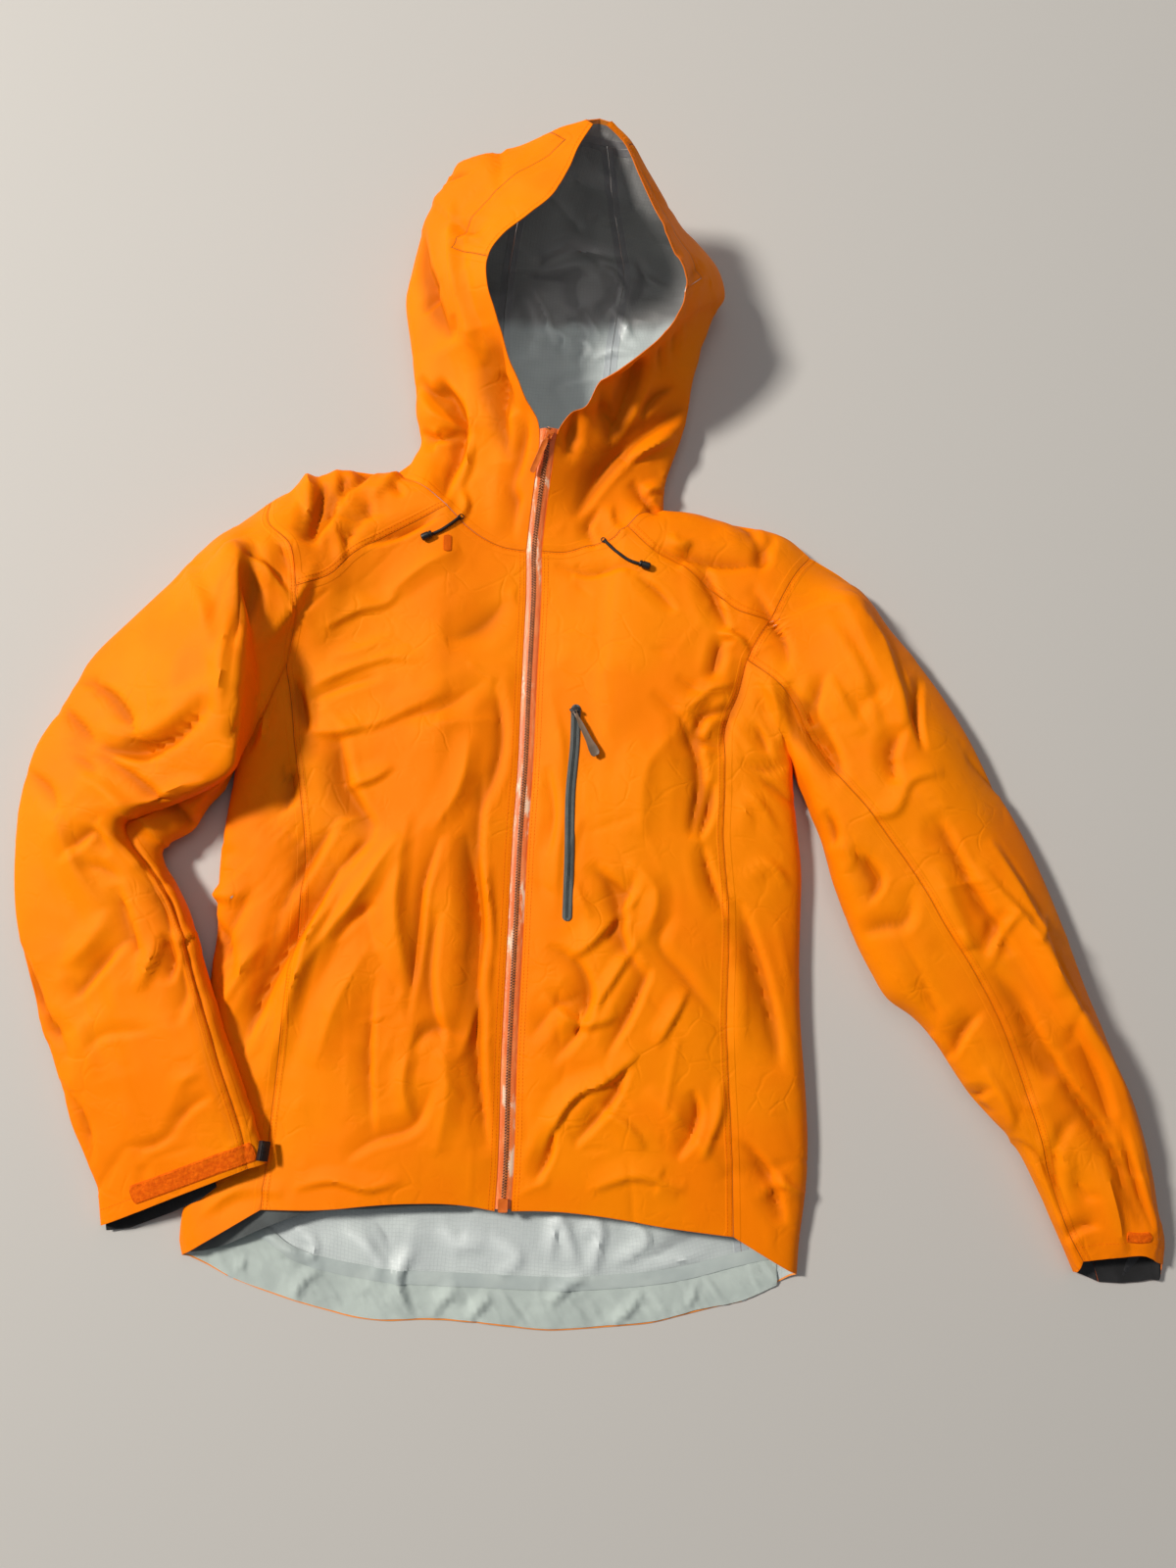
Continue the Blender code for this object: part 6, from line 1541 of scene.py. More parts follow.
@dataclass
class Panel:
    """One cloth piece: its fine grid, the cells it keeps, and what its creases made of it."""
    name: str
    places: np.ndarray
    facing: Facing = Facing.ROUND
    inside: Optional[Group] = None
    cells: Optional[Callable] = None
    parts: tuple = (1, 1)
    unrest: float = 1.0
    flipped: bool = field(init=False)
    normals: np.ndarray = field(init=False)
    kept: np.ndarray = field(init=False)
    edge: np.ndarray = field(init=False)
    seam: np.ndarray = field(init=False)
    seam_place: np.ndarray = field(init=False)
    free: np.ndarray = field(init=False)
    cuff: np.ndarray = field(init=False)
    relief: np.ndarray = field(init=False)

    def __post_init__(self) -> None:
        """Work out which cells are kept and where the outer face looks."""
        rows, columns = self.places.shape[:2]
        self.kept = np.ones((rows - 1, columns - 1), dtype=bool)
        if self.cells:
            for row, column in itertools.product(range(rows - 1), range(columns - 1)):
                self.kept[row, column] = self.cells(row // self.parts[0], column // self.parts[1])
        self.normals = grid_normals(self.places)
        height = self.places[..., 2] - self.places[..., 2].mean()
        up = {Facing.UP: self.normals[..., 2].mean(), Facing.DOWN: -self.normals[..., 2].mean(),
              Facing.ROUND: (self.normals[..., 2] * height).sum()}[self.facing]
        self.flipped = bool(up < 0)
        if self.flipped:
            self.normals = -self.normals
        far = np.full((rows, columns), FAR)
        self.edge, self.seam, self.free, self.cuff = far, far, far, far.copy()
        self.relief = np.zeros((rows, columns))
        if self.name.startswith(("sleeve", "side")):
            steps = np.linalg.norm(np.diff(self.places, axis=0), axis=2)
            self.cuff[:-1] = np.cumsum(steps[::-1], axis=0)[::-1]
            self.cuff[-1] = 0.0

    def touching(self) -> np.ndarray:
        """How many kept cells each grid point touches.

        Returns:
            One count for each grid point, 0 to 4.
        """
        rows, columns = self.places.shape[:2]
        count = np.zeros((rows, columns), dtype=int)
        for down, across in itertools.product((0, 1), repeat=2):
            count[down:rows - 1 + down, across:columns - 1 + across] += self.kept
        return count

    def border(self) -> np.ndarray:
        """Which grid points lie on the piece's border."""
        count = self.touching()
        return (count > 0) & (count < 4)

    def cut(self) -> tuple:
        """Greatest width and length of the kept cloth along its grid, in metres.

        Returns:
            The width across its rows and the length along its columns.
        """
        across = np.linalg.norm(np.diff(self.places, axis=1), axis=2)[:-1] * self.kept
        along = np.linalg.norm(np.diff(self.places, axis=0), axis=2)[:, :-1] * self.kept
        return MM * across.sum(axis=1).max(), MM * along.sum(axis=0).max()

    def beside(self, border: str, offset: float, start: float = 0.0, end: float = 1.0,
               column: int = 0) -> tuple:
        """Line on the cloth at a distance inside one of its borders.

        Args:
            border: near, far, bottom or top.
            offset: distance from the border in millimetres.
            start: where along the border it starts, as a share.
            end: where it ends.
            column: how many grid lines inside the border to measure from.

        Returns:
            Its points and the outer normals there.
        """
        grids = []
        for grid in (self.places, self.normals):
            if border in ("bottom", "top"):
                grid = grid.transpose(1, 0, 2)
            grid = grid if border in ("near", "bottom") else grid[:, ::-1]
            first, last = round(start * (len(grid) - 1)), round(end * (len(grid) - 1))
            grids.append(grid[first:last + 1, column:column + 16])
        points, normals = np.zeros((2, len(grids[0]), 3))
        for index, (line, turned) in enumerate(zip(*grids)):
            reach = chords(line)
            for axis in range(3):
                points[index, axis] = np.interp(offset, reach, line[:, axis])
                normals[index, axis] = np.interp(offset, reach, turned[:, axis])
        return points, normals

    def weave_places(self) -> np.ndarray:
        """The weave's coordinates at every grid point, in metres along the cloth.

        Returns:
            Two numbers for each grid point.
        """
        rows, columns = self.places.shape[:2]
        across = np.zeros((rows, columns))
        across[:, 1:] = np.cumsum(np.linalg.norm(np.diff(self.places, axis=1), axis=2), axis=1)
        across -= across[:, columns // 2:columns // 2 + 1]
        along = np.zeros((rows, columns))
        along[1:] = np.cumsum(np.linalg.norm(np.diff(self.places, axis=0), axis=2), axis=0)
        return MM * np.stack([across, along], axis=2)


def draw_in_border(mesh: bmesh.types.BMesh, gap: float) -> None:
    """Move a sheet's border inwards in its own plane by a gap in metres.

    Args:
        mesh: the sheet.
        gap: how far its border moves.
    """
    shift: dict = {}
    for edge in mesh.edges:
        if len(edge.link_faces) != 1:
            continue
        face = edge.link_faces[0]
        along = (edge.verts[1].co - edge.verts[0].co).normalized()
        inward = face.normal.cross(along)
        if inward.dot(face.calc_center_median() - edge.verts[0].co) < 0:
            inward.negate()
        for vertex in edge.verts:
            shift.setdefault(vertex, []).append(inward)
    for vertex, sides in shift.items():
        total = sum(sides, Vector())
        spread = 1.0 + sides[0].dot(sides[-1]) if len(sides) > 1 else 1.0
        vertex.co += total * gap / max(spread, 0.6)


def sheet_piece(name: str, panel: Panel, wall: float, finishes: tuple, gap: float = SEAM_GAP,
                rim: int = 0) -> bpy.types.Object:
    """Cloth object from a panel: its faces, weave map and edge distances, with a wall.

    Args:
        name: the piece's name.
        panel: the sheet's middle surface, in lay millimetres.
        wall: thickness in millimetres.
        finishes: outer finish, then inner finish.
        gap: how far the border is drawn in, in millimetres.
        rim: which finish the rim takes.

    Returns:
        The object, at the origin.
    """
    rows, columns = panel.places.shape[:2]
    used = panel.touching() > 0
    number = np.full((rows, columns), -1)
    number[used] = np.arange(used.sum())
    down, across = np.nonzero(panel.kept)
    corners = [(0, 0), (0, 1), (1, 1), (1, 0)]
    if panel.flipped:
        corners.reverse()
    faces = np.stack([number[down + row, across + column] for row, column in corners], axis=1)
    data = bpy.data.meshes.new(name)
    data.from_pydata(lay_to_part(panel.places[used]).tolist(), [], faces.tolist())
    mesh = bmesh.new()
    mesh.from_mesh(data)
    mesh.normal_update()
    draw_in_border(mesh, gap * MM)
    mesh.to_mesh(data)
    mesh.free()
    layer = data.uv_layers.new(name="weave")
    order = np.empty(len(data.loops), dtype=np.int32)
    data.loops.foreach_get("vertex_index", order)
    layer.data.foreach_set("uv", panel.weave_places()[used][order].ravel().astype(np.float32))
    for label in ("edge", "seam", "free", "cuff", "relief"):
        values = data.attributes.new(label, "FLOAT", "POINT").data
        values.foreach_set("value", getattr(panel, label)[used].astype(np.float32))
    piece = bpy.data.objects.new(name, data)
    bpy.context.scene.collection.objects.link(piece)
    dress(piece, *finishes)
    solid = piece.modifiers.new("wall", "SOLIDIFY")
    solid.thickness = wall * MM
    solid.offset = 0.0
    solid.material_offset = len(finishes) - 1
    solid.material_offset_rim = rim
    sides = 2 * len(faces)
    finish_piece(piece)
    if len(finishes) > 1 and name.startswith(("hood", "back")):
        free = np.empty(len(data.vertices), dtype=np.float32)
        data.attributes["free"].data.foreach_get("value", free)
        for polygon in list(data.polygons)[sides:]:
            if free[list(polygon.vertices)].min() > 1.0:
                polygon.material_index = 1
    return piece


def select_none() -> None:
    """Leave no object selected."""
    for item in bpy.context.selected_objects:
        item.select_set(False)


def finish_piece(piece: bpy.types.Object, sharp: float = 50.0) -> None:
    """Apply a piece's modifiers and shade it smooth.

    Args:
        piece: the piece.
        sharp: edges sharper than this many degrees stay sharp.
    """
    select_none()
    bpy.context.view_layer.objects.active = piece
    piece.select_set(True)
    for modifier in list(piece.modifiers):
        bpy.ops.object.modifier_apply(modifier=modifier.name)
    piece.data.shade_smooth()
    piece.data.set_sharp_from_angle(angle=math.radians(sharp))
    piece.select_set(False)


@dataclass
class Shell:
    """The sewn shell: fronts, back, sides, sleeves, yokes and hood."""
    wall: float = SHELL_WALL
    sewn_within: float = 2.6       # a border this near another piece's is sewn to it
    groove: float = 0.45           # how deep the cloth turns in at a seam
    groove_half: float = 2.4
    puckers: tuple = (0.55, 7.0, 11, 6.0)      # along a seam: height, size, seed and half width
    outside_from: tuple = (-0.05, 0.35)        # how far up the cloth faces where placed creases come in
    inside_from: tuple = (0.3, 0.75)           # and how far down, for those of its inner face
    unrest_from: float = 25.0      # distance from a seam at which a panel has all its own unrest
    rim_calm: float = 26.0         # distance from the hood's rim at which it has all its creases
    small_swell: tuple = (1.1, 80.0, 1)        # height, size and seed
    small_net: tuple = (2.0, 58.0, 5.0, 2)     # height, spacing, half width and seed
    # facets: height, middle, share of the fine ones, then size and seed of the coarse, fine and area noise
    facets: tuple = (3.4, 0.35, 0.4, (62.0, 4), (29.0, 8), (150.0, 9))
    large_swell: tuple = (1.6, 120.0, 6)
    large_net: tuple = (2.5, 95.0, 14.0, 5)
    front_parts: tuple = (12, 9)
    long_parts: tuple = (12, 9)
    side_parts: tuple = (11, 6)
    yoke_parts: tuple = (10, 8)
    hood_parts: tuple = (8, 8)
    back_parts: tuple = (8, 7)
    tries: tuple = (0.0, 0.8, -0.8, 1.6, -1.6)     # how far beside a spot cloth is looked for
    well_above: float = 300.0
    brim_from_row: float = 0.67
    brim_columns: int = 2
    panels: dict = field(default_factory=dict)
    trees: list = field(default_factory=list)
    floor_tree: Optional[BVHTree] = None

    def add(self, name: str, grid: np.ndarray, parts: tuple, turns: dict, **settings: object) -> None:
        """Refine a coarse grid into one of the shell's panels.

        Args:
            name: the panel's name.
            grid: its coarse grid.
            parts: fine cells in each coarse row and column.
            turns: where its seams change neighbours, by border.
            settings: the panel's other fields.
        """
        self.panels[name] = Panel(name, refined(grid, *parts, turns), parts=parts, **settings)

    def lay_out(self) -> None:
        """Make every panel's fine grid."""
        side_turns = (0, SIDE_ROWS - 1, SIDE_ROWS + SLEEVE_ROWS - 2)
        arm = ARM_LOW + ARM_HIGH - 2
        body_turns = (0, SIDE_ROWS - 1, SIDE_ROWS + ARM_LOW - 2)
        neck = NECK_FRONT - 1
        last = YOKE_ROWS + NECK_FRONT - 2
        for side in SIDES:
            self.add(f"front_{side}", front_grid(side), self.front_parts,
                     {"far": body_turns, "top": (0, neck, last)}, facing=Facing.UP, unrest=0.8)
            self.add(f"side_{side}", side_grid(side), self.side_parts,
                     {"near": side_turns, "far": side_turns})
            self.add(f"sleeve_{side}", sleeve_grid(side), self.long_parts,
                     {"bottom": (0, ARM_LOW - 1, arm, 2 * arm - ARM_LOW + 1, 2 * arm)}, unrest=1.15)
            self.add(f"yoke_{side}", yoke_grid(side), self.yoke_parts,
                     {"top": (0, ARM_HIGH - 1, 2 * ARM_HIGH - 2)})
        yokes = YOKE_ROWS - 1
        self.add("back", back_grid(), self.back_parts,
                 {"near": body_turns, "far": body_turns,
                  "top": (0, yokes, yokes + NECK_BACK - 1, 2 * yokes + NECK_BACK - 1)},
                 facing=Facing.DOWN, inside=Group.BACK_INSIDE, unrest=0.9)
        self.lay_out_hood()

    def lay_out_hood(self) -> None:
        """Hood sides with their half of the collar, the crown between them, and the brim."""
        grid = hood_grid()
        last = grid.shape[1] - 1
        side_columns = NECK_FRONT + 2 * ARM_HIGH - 2
        brim_row = round(self.brim_from_row * (HOOD_ROWS - 1))

        def in_brim(row: int, column: int) -> bool:
            """Whether a cell is part of the brim."""
            width = last if row == HOOD_ROWS - 2 else self.brim_columns
            return row >= brim_row and (column < width or column >= last - width)

        def in_side(row: int, column: int) -> bool:
            """Whether a cell is part of the right side."""
            return column < side_columns and not in_brim(row, column)

        front, neck = NECK_FRONT - 1, NECK_FRONT + 2 * ARM_HIGH - 3
        turns = {"bottom": (0, front, neck, last - neck, last - front, last)}
        shared = {"hood_brim": in_brim, "hood_side_right": in_side,
                  "hood_side_left": lambda row, column: in_side(row, last - 1 - column),
                  "hood_crown": lambda row, column: (side_columns <= column < last - side_columns
                                                     and not in_brim(row, column))}
        for name, cells in shared.items():
            self.add(name, grid, self.hood_parts, turns, cells=cells, inside=Group.HOOD_INSIDE)

    def sew(self) -> None:
        """Find which borders are seams, share their normals, and measure distances to them."""
        borders = [(name, row, column) for name, panel in self.panels.items()
                   for row, column in zip(*np.nonzero(panel.border()))]
        tree = KDTree(len(borders))
        for index, (name, row, column) in enumerate(borders):
            tree.insert(self.panels[name].places[row, column], index)
        tree.balance()
        sewn: dict = {name: [] for name in self.panels}
        shared = []
        for name, row, column in borders:
            panel = self.panels[name]
            nearest: dict = {}
            for _, index, apart in tree.find_range(panel.places[row, column], self.sewn_within):
                other = borders[index][0]
                if other != name and apart < nearest.get(other, (9.0, 0))[0]:
                    nearest[other] = (apart, index)
            if nearest:
                total = panel.normals[row, column].copy()
                for _, index in nearest.values():
                    other, its_row, its_column = borders[index]
                    total += self.panels[other].normals[its_row, its_column]
                shared.append((panel, row, column, total / max(np.linalg.norm(total), 1e-6)))
                sewn[name].append((row, column))
        for panel, row, column, normal in shared:
            panel.normals[row, column] = normal
        for name, panel in self.panels.items():
            panel.edge, _ = self.distances(panel, np.argwhere(panel.border()))
            panel.seam, panel.seam_place = self.distances(panel, np.array(sewn[name]))
            loose = panel.border()
            loose[tuple(np.array(sewn[name]).T)] = False
            if loose.sum() > 4:
                panel.free, _ = self.distances(panel, np.argwhere(loose))

    @staticmethod
    def distances(panel: Panel, spots: np.ndarray) -> tuple:
        """Distance from every grid point to the nearest of some of them, and that one's place.

        Args:
            panel: the panel.
            spots: rows and columns of the points to measure to.

        Returns:
            One distance, and one place, for each grid point.
        """
        tree = KDTree(len(spots))
        for index, (row, column) in enumerate(spots):
            tree.insert(panel.places[row, column], index)
        tree.balance()
        found = [tree.find(place) for place in panel.places.reshape(-1, 3)]
        shape = panel.places.shape
        return (np.array([item[2] for item in found]).reshape(shape[:2]),
                np.array([item[0] for item in found]).reshape(shape))

    @staticmethod
    def calm(x: np.ndarray, y: np.ndarray, shown: np.ndarray) -> np.ndarray:
        """Share of the creases that is left beside zips and pulls.

        Args:
            x: across the lay, in millimetres.
            y: along the lay.
            shown: how much each point faces up, 0 to 1.

        Returns:
            One share for each point.
        """
        share = np.ones_like(x)
        for quiet in QUIET:
            line = curve(quiet.line, 40)
            apart = np.min(np.hypot(x[:, None] - line[:, 0], y[:, None] - line[:, 1]), axis=1)
            near = 1 - ease(apart, quiet.start, quiet.end)
            share = np.minimum(share, 1 - shown * (1 - quiet.least) * near)
        return share

    def crease(self) -> None:
        """Push every panel's points out or in by its creases, and keep them off the floor."""
        outside = [fold for name in Group.OUTSIDE.value for fold in FOLDS[name]]
        for name, panel in self.panels.items():
            places, normals = panel.places.reshape(-1, 3), panel.normals.reshape(-1, 3)
            x, y = places[:, 0], places[:, 1]
            shown = ease(normals[:, 2], *self.outside_from)
            height = shown * crease_heights(outside, x, y)
            seam = panel.seam.reshape(-1)
            share = 1 + (panel.unrest - 1) * ease(seam, 0.0, self.unrest_from)
            height += share * self.unrest(places, shown)
            if panel.inside:
                inner = [fold for group in panel.inside.value for fold in FOLDS[group]]
                height -= ease(-normals[:, 2], *self.inside_from) * crease_heights(inner, x, y)
            pucker, size, seed, width = self.puckers
            height += pucker * noise(panel.seam_place.reshape(-1, 3), size, seed) * np.exp(-seam / width)
            height *= self.calm(x, y, shown)
            if name.startswith("hood"):
                height *= 0.3 + 0.7 * ease(panel.free.reshape(-1), 0.0, self.rim_calm)
            height -= self.groove * np.exp(-(seam / self.groove_half) ** 2)
            panel.relief = height.reshape(panel.relief.shape)
            moved = places + normals * height[:, None]
            moved[:, 2] = np.maximum(moved[:, 2], np.minimum(places[:, 2], FLOOR))
            panel.places = moved.reshape(panel.places.shape)
        for panel in self.panels.values():
            normals = grid_normals(panel.places)
            panel.normals = -normals if panel.flipped else normals

    def unrest(self, places: np.ndarray, shown: np.ndarray) -> np.ndarray:
        """Height of the small creases between the placed ones.

        Args:
            places: points in lay millimetres.
            shown: how much each faces up, 0 to 1; the hidden sides get larger creases too.

        Returns:
            One height for each point.
        """
        (swell, *swell_form), (net, *net_form) = self.small_swell, self.small_net
        facet, middle, fine_share = self.facets[:3]
        coarse, fine, area = (noise(places, *form) for form in self.facets[3:])
        facets = middle - np.abs(coarse) + fine_share * (middle - np.abs(fine))
        small = (swell * noise(places, *swell_form) + net * crumples(places, *net_form)
                 + facet * facets * ease(area, -0.35, 0.55))
        (swell, *swell_form), (net, *net_form) = self.large_swell, self.large_net
        large = net * crumples(places, *net_form) + swell * noise(places, *swell_form)
        return small + (1 - shown) * large

    def build(self) -> None:
        """Make the objects, and the surfaces that trim is laid on."""
        for name, panel in self.panels.items():
            inner = Finish.HOOD_LINING if name.startswith("hood") else Finish.LINING
            piece = sheet_piece(name + "_cloth", panel, self.wall, (Finish.SHELL, inner))
            declare(piece, panel, "shell_cloth", name)
            tree = panel_tree(panel)
            if panel.facing is Facing.DOWN:
                self.floor_tree = tree
            else:
                self.trees.append(tree)

    def top_at(self, x: float, y: float) -> tuple:
        """Highest cloth under a point of the plan, and its upward normal there.

        Args:
            x: across the lay, in millimetres.
            y: along the lay.

        Returns:
            The place and the normal.
        """
        best = None
        for beside in self.tries:
            above = Vector((x + beside, y + beside, self.well_above))
            for tree in self.trees:
                spot, normal, _, _ = tree.ray_cast(above, Vector((0, 0, -1)))
                if spot is not None and (best is None or spot.z > best[0].z):
                    best = (spot, normal if normal.z > 0 else -normal)
            if best:
                return best
        raise ValueError(f"no cloth under {x:.1f}, {y:.1f}")


def panel_tree(panel: Panel) -> BVHTree:
    """Search tree of a panel's kept cells, in lay millimetres.

    Args:
        panel: the panel.

    Returns:
        The tree.
    """
    columns = panel.places.shape[1]
    down, across = np.nonzero(panel.kept)
    start = down * columns + across
    quads = np.stack([start, start + 1, start + columns + 1, start + columns], axis=1)
    return BVHTree.FromPolygons(panel.places.reshape(-1, 3).tolist(), quads.tolist())


def carry(piece: bpy.types.Object, slot: str, *nodes: str, body: str = BODY) -> None:
    """Tie a piece to the frame.

    Args:
        piece: the piece.
        slot: not used.
        nodes: the frame's nodes that it replaces.
        body: the body that it rides on.
    """
    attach(piece, body)
    if nodes:
        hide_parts(*nodes)


def declare(piece: bpy.types.Object, panel: Panel, slot: str, *nodes: str) -> None:
    """Tie a cloth piece to the frame, and state the cut of it.

    Args:
        piece: the piece.
        panel: the panel that it was made from.
        slot: passed on to carry(), which does not use it.
        nodes: the frame's nodes that it replaces.
    """
    carry(piece, slot, *nodes)
    area = 0.5 * sum(polygon.area for polygon in piece.data.polygons)
    width, length = sorted(panel.cut())
    if area < SLIM * width * length:
        width = area / (FILLED * length)
    width = max(width, 1.01 * area / length, LEAST_WIDTH)
    LOG.info("%s: %d faces, cut from %.3f x %.3f m, %.4f m2", piece.name, len(piece.data.polygons), width,
             length, area)


# ---------------------------------------------------------------- trim sewn on the cloth
def line_at(table: Sequence, stops: Sequence) -> tuple:
    """Places along a plan line at distances from its start, and the unit step along it there.

    Args:
        table: plan points along the line.
        stops: distances from its start.

    Returns:
        Places and unit steps, one to a row.
    """
    fine = curve([tuple(point[:2]) for point in table], 400)
    reach = chords(fine)
    places = np.stack([np.interp(stops, reach, fine[:, axis]) for axis in range(2)], axis=1)
    heading = np.gradient(places, axis=0)
    return places, heading / np.linalg.norm(heading, axis=1)[:, None]


def laid_strip(shell: Shell, table: Sequence, profile: Sequence, spacing: float, round_ends: float = 0.0
               ) -> np.ndarray:
    """Grid of a strip that lies on the cloth along a plan line.

    Args:
        shell: the cloth that carries it.
        table: plan points along its middle.
        profile: offset from the middle and height above the cloth's face, across it.
        spacing: distance from row to row.
        round_ends: radius of its ends, or 0 where they are square.

    Returns:
        Rows along the strip of points across it.
    """
    length = chords(curve([tuple(point[:2]) for point in table], 400))[-1]
    stops = np.linspace(0, length, max(4, round(length / spacing)))
    if round_ends:
        near_end = round_ends * (1 - np.cos(np.linspace(0, math.pi / 2, 8)))
        inner = stops[(stops > 1.1 * round_ends) & (stops < length - 1.1 * round_ends)]
        stops = np.concatenate([near_end, inner, length - near_end[::-1]])
    places, heading = line_at(table, stops)
    grid = np.zeros((len(stops), len(profile), 3))
    for row, ((x, y), (step_x, step_y)) in enumerate(zip(places, heading)):
        from_end = min(stops[row], length - stops[row])
        narrow = 1.0
        if round_ends and from_end < round_ends:
            narrow = math.sqrt(max(1 - (1 - from_end / round_ends) ** 2, 0.03))
        for column, (offset, height) in enumerate(profile):
            spot, normal = shell.top_at(x + step_y * offset * narrow, y - step_x * offset * narrow)
            grid[row, column] = np.array(spot + normal * (CLOTH_TOP + height))
    return grid


def strip_piece(name: str, grid: np.ndarray, wall: float, finish: Finish, slot: str, *nodes: str
                ) -> bpy.types.Object:
    """Strip or facing that has no seams of its own, declared as a sheet.

    Args:
        name: the piece's name.
        grid: rows of points across it, in lay millimetres.
        wall: its thickness in millimetres.
        finish: its finish.
        slot: passed on to carry(), which does not use it.
        nodes: the frame's nodes that it replaces.

    Returns:
        The piece.
    """
    panel = Panel(name, grid, facing=Facing.UP)
    piece = sheet_piece(name, panel, wall, (finish,), gap=0.0)
    declare(piece, panel, slot, *nodes)
    return piece


@dataclass
class Stitching:
    """Rows of stitches: each a short pointed bar that lies on the cloth."""
    pitch: float = 3.1
    length: float = 2.3
    half_width: float = 0.22
    lift: float = 0.12
    taper: tuple = (0.22, 0.78)    # where along a stitch it is thickest
    bars: list = field(default_factory=list)

    def sew(self, line: tuple) -> None:
        """Add a row of stitches along points on the cloth with their normals.

        Args:
            line: points on the cloth and their outer normals.
        """
        points, normals = line
        reach = chords(points)
        count = int(reach[-1] / self.pitch)
        starts = 0.5 * self.pitch + self.pitch * np.arange(count)
        ends = []
        for stops in (starts - 0.5 * self.length, starts + 0.5 * self.length):
            spots = np.stack([np.interp(stops, reach, points[:, axis]) for axis in range(3)], axis=1)
            ups = np.stack([np.interp(stops, reach, normals[:, axis]) for axis in range(3)], axis=1)
            ups /= np.maximum(np.linalg.norm(ups, axis=1), 1e-6)[:, None]
            ends.append((spots + ups * (CLOTH_TOP + self.lift), ups))
        (first, ups), (second, _) = ends
        step = second - first
        side = np.cross(step, ups)
        side *= self.half_width / np.maximum(np.linalg.norm(side, axis=1), 1e-6)[:, None]
        up = ups * self.half_width
        rings = [first - up]
        for share in self.taper:
            middle = first + share * step
            rings += [middle + side, middle + up, middle - side, middle - up]
        rings.append(second - up)
        self.bars.append(np.stack(rings, axis=1))

    def build(self, name: str, finish: Finish, slot: str) -> None:
        """Make all the stitches one piece.

        Args:
            name: the piece's name.
            finish: its finish.
            slot: passed on to carry(), which does not use it.
        """
        places = np.concatenate(self.bars)
        faces = []
        for edge in range(4):
            after = (edge + 1) % 4
            faces += [(0, 1 + after, 1 + edge), (1 + edge, 1 + after, 5 + after, 5 + edge),
                      (9, 5 + edge, 5 + after)]
        rows = [tuple(corner + places.shape[1] * index for corner in face)
                for index in range(len(places)) for face in faces]
        piece = mesh_piece(name, places.reshape(-1, 3), rows, finish)
        carry(piece, slot)
        LOG.info("%s: %d stitches", name, len(places))


def mesh_piece(name: str, places: np.ndarray, faces: list, finish: Finish) -> bpy.types.Object:
    """Object from points in lay millimetres and faces, with its normals turned outwards.

    Args:
        name: the piece's name.
        places: its points.
        faces: its faces, as rows of point numbers.
        finish: its finish.

    Returns:
        The piece.
    """
    data = bpy.data.meshes.new(name)
    data.from_pydata(lay_to_part(places).tolist(), [], faces)
    mesh = bmesh.new()
    mesh.from_mesh(data)
    bmesh.ops.recalc_face_normals(mesh, faces=mesh.faces)
    mesh.to_mesh(data)
    mesh.free()
    piece = bpy.data.objects.new(name, data)
    bpy.context.scene.collection.objects.link(piece)
    dress(piece, finish)
    data.shade_smooth()
    data.set_sharp_from_angle(angle=math.radians(40))
    return piece


def tube(path: np.ndarray, radii: Callable, around: int,
         turns: Callable = lambda angle, along: 1.0) -> tuple:
    """Closed tube round a path.

    Args:
        path: points along its middle.
        radii: radius for each share of its length.
        around: points round it.
        turns: factor on the radius for an angle and a distance along.

    Returns:
        Its points and faces.
    """
    heading = np.gradient(path, axis=0)
    heading /= np.linalg.norm(heading, axis=1)[:, None]
    side = np.cross(heading, (0.0, 0.0, 1.0))
    side /= np.linalg.norm(side, axis=1)[:, None]
    up = np.cross(side, heading)
    reach = chords(path)
    angles = np.linspace(0, math.tau, around, endpoint=False)
    rings = []
    for index, place in enumerate(path):
        radius = radii(reach[index] / reach[-1]) * turns(angles, reach[index])
        rings.append(place + (np.cos(angles) * radius)[:, None] * side[index]
                     + (np.sin(angles) * radius)[:, None] * up[index])
    faces = [tuple(range(around)), tuple(range((len(path) - 1) * around, len(path) * around))]
    for row, column in itertools.product(range(len(path) - 1), range(around)):
        after = (column + 1) % around
        faces.append((row * around + column, row * around + after, (row + 1) * around + after,
                      (row + 1) * around + column))
    return np.concatenate(rings), faces


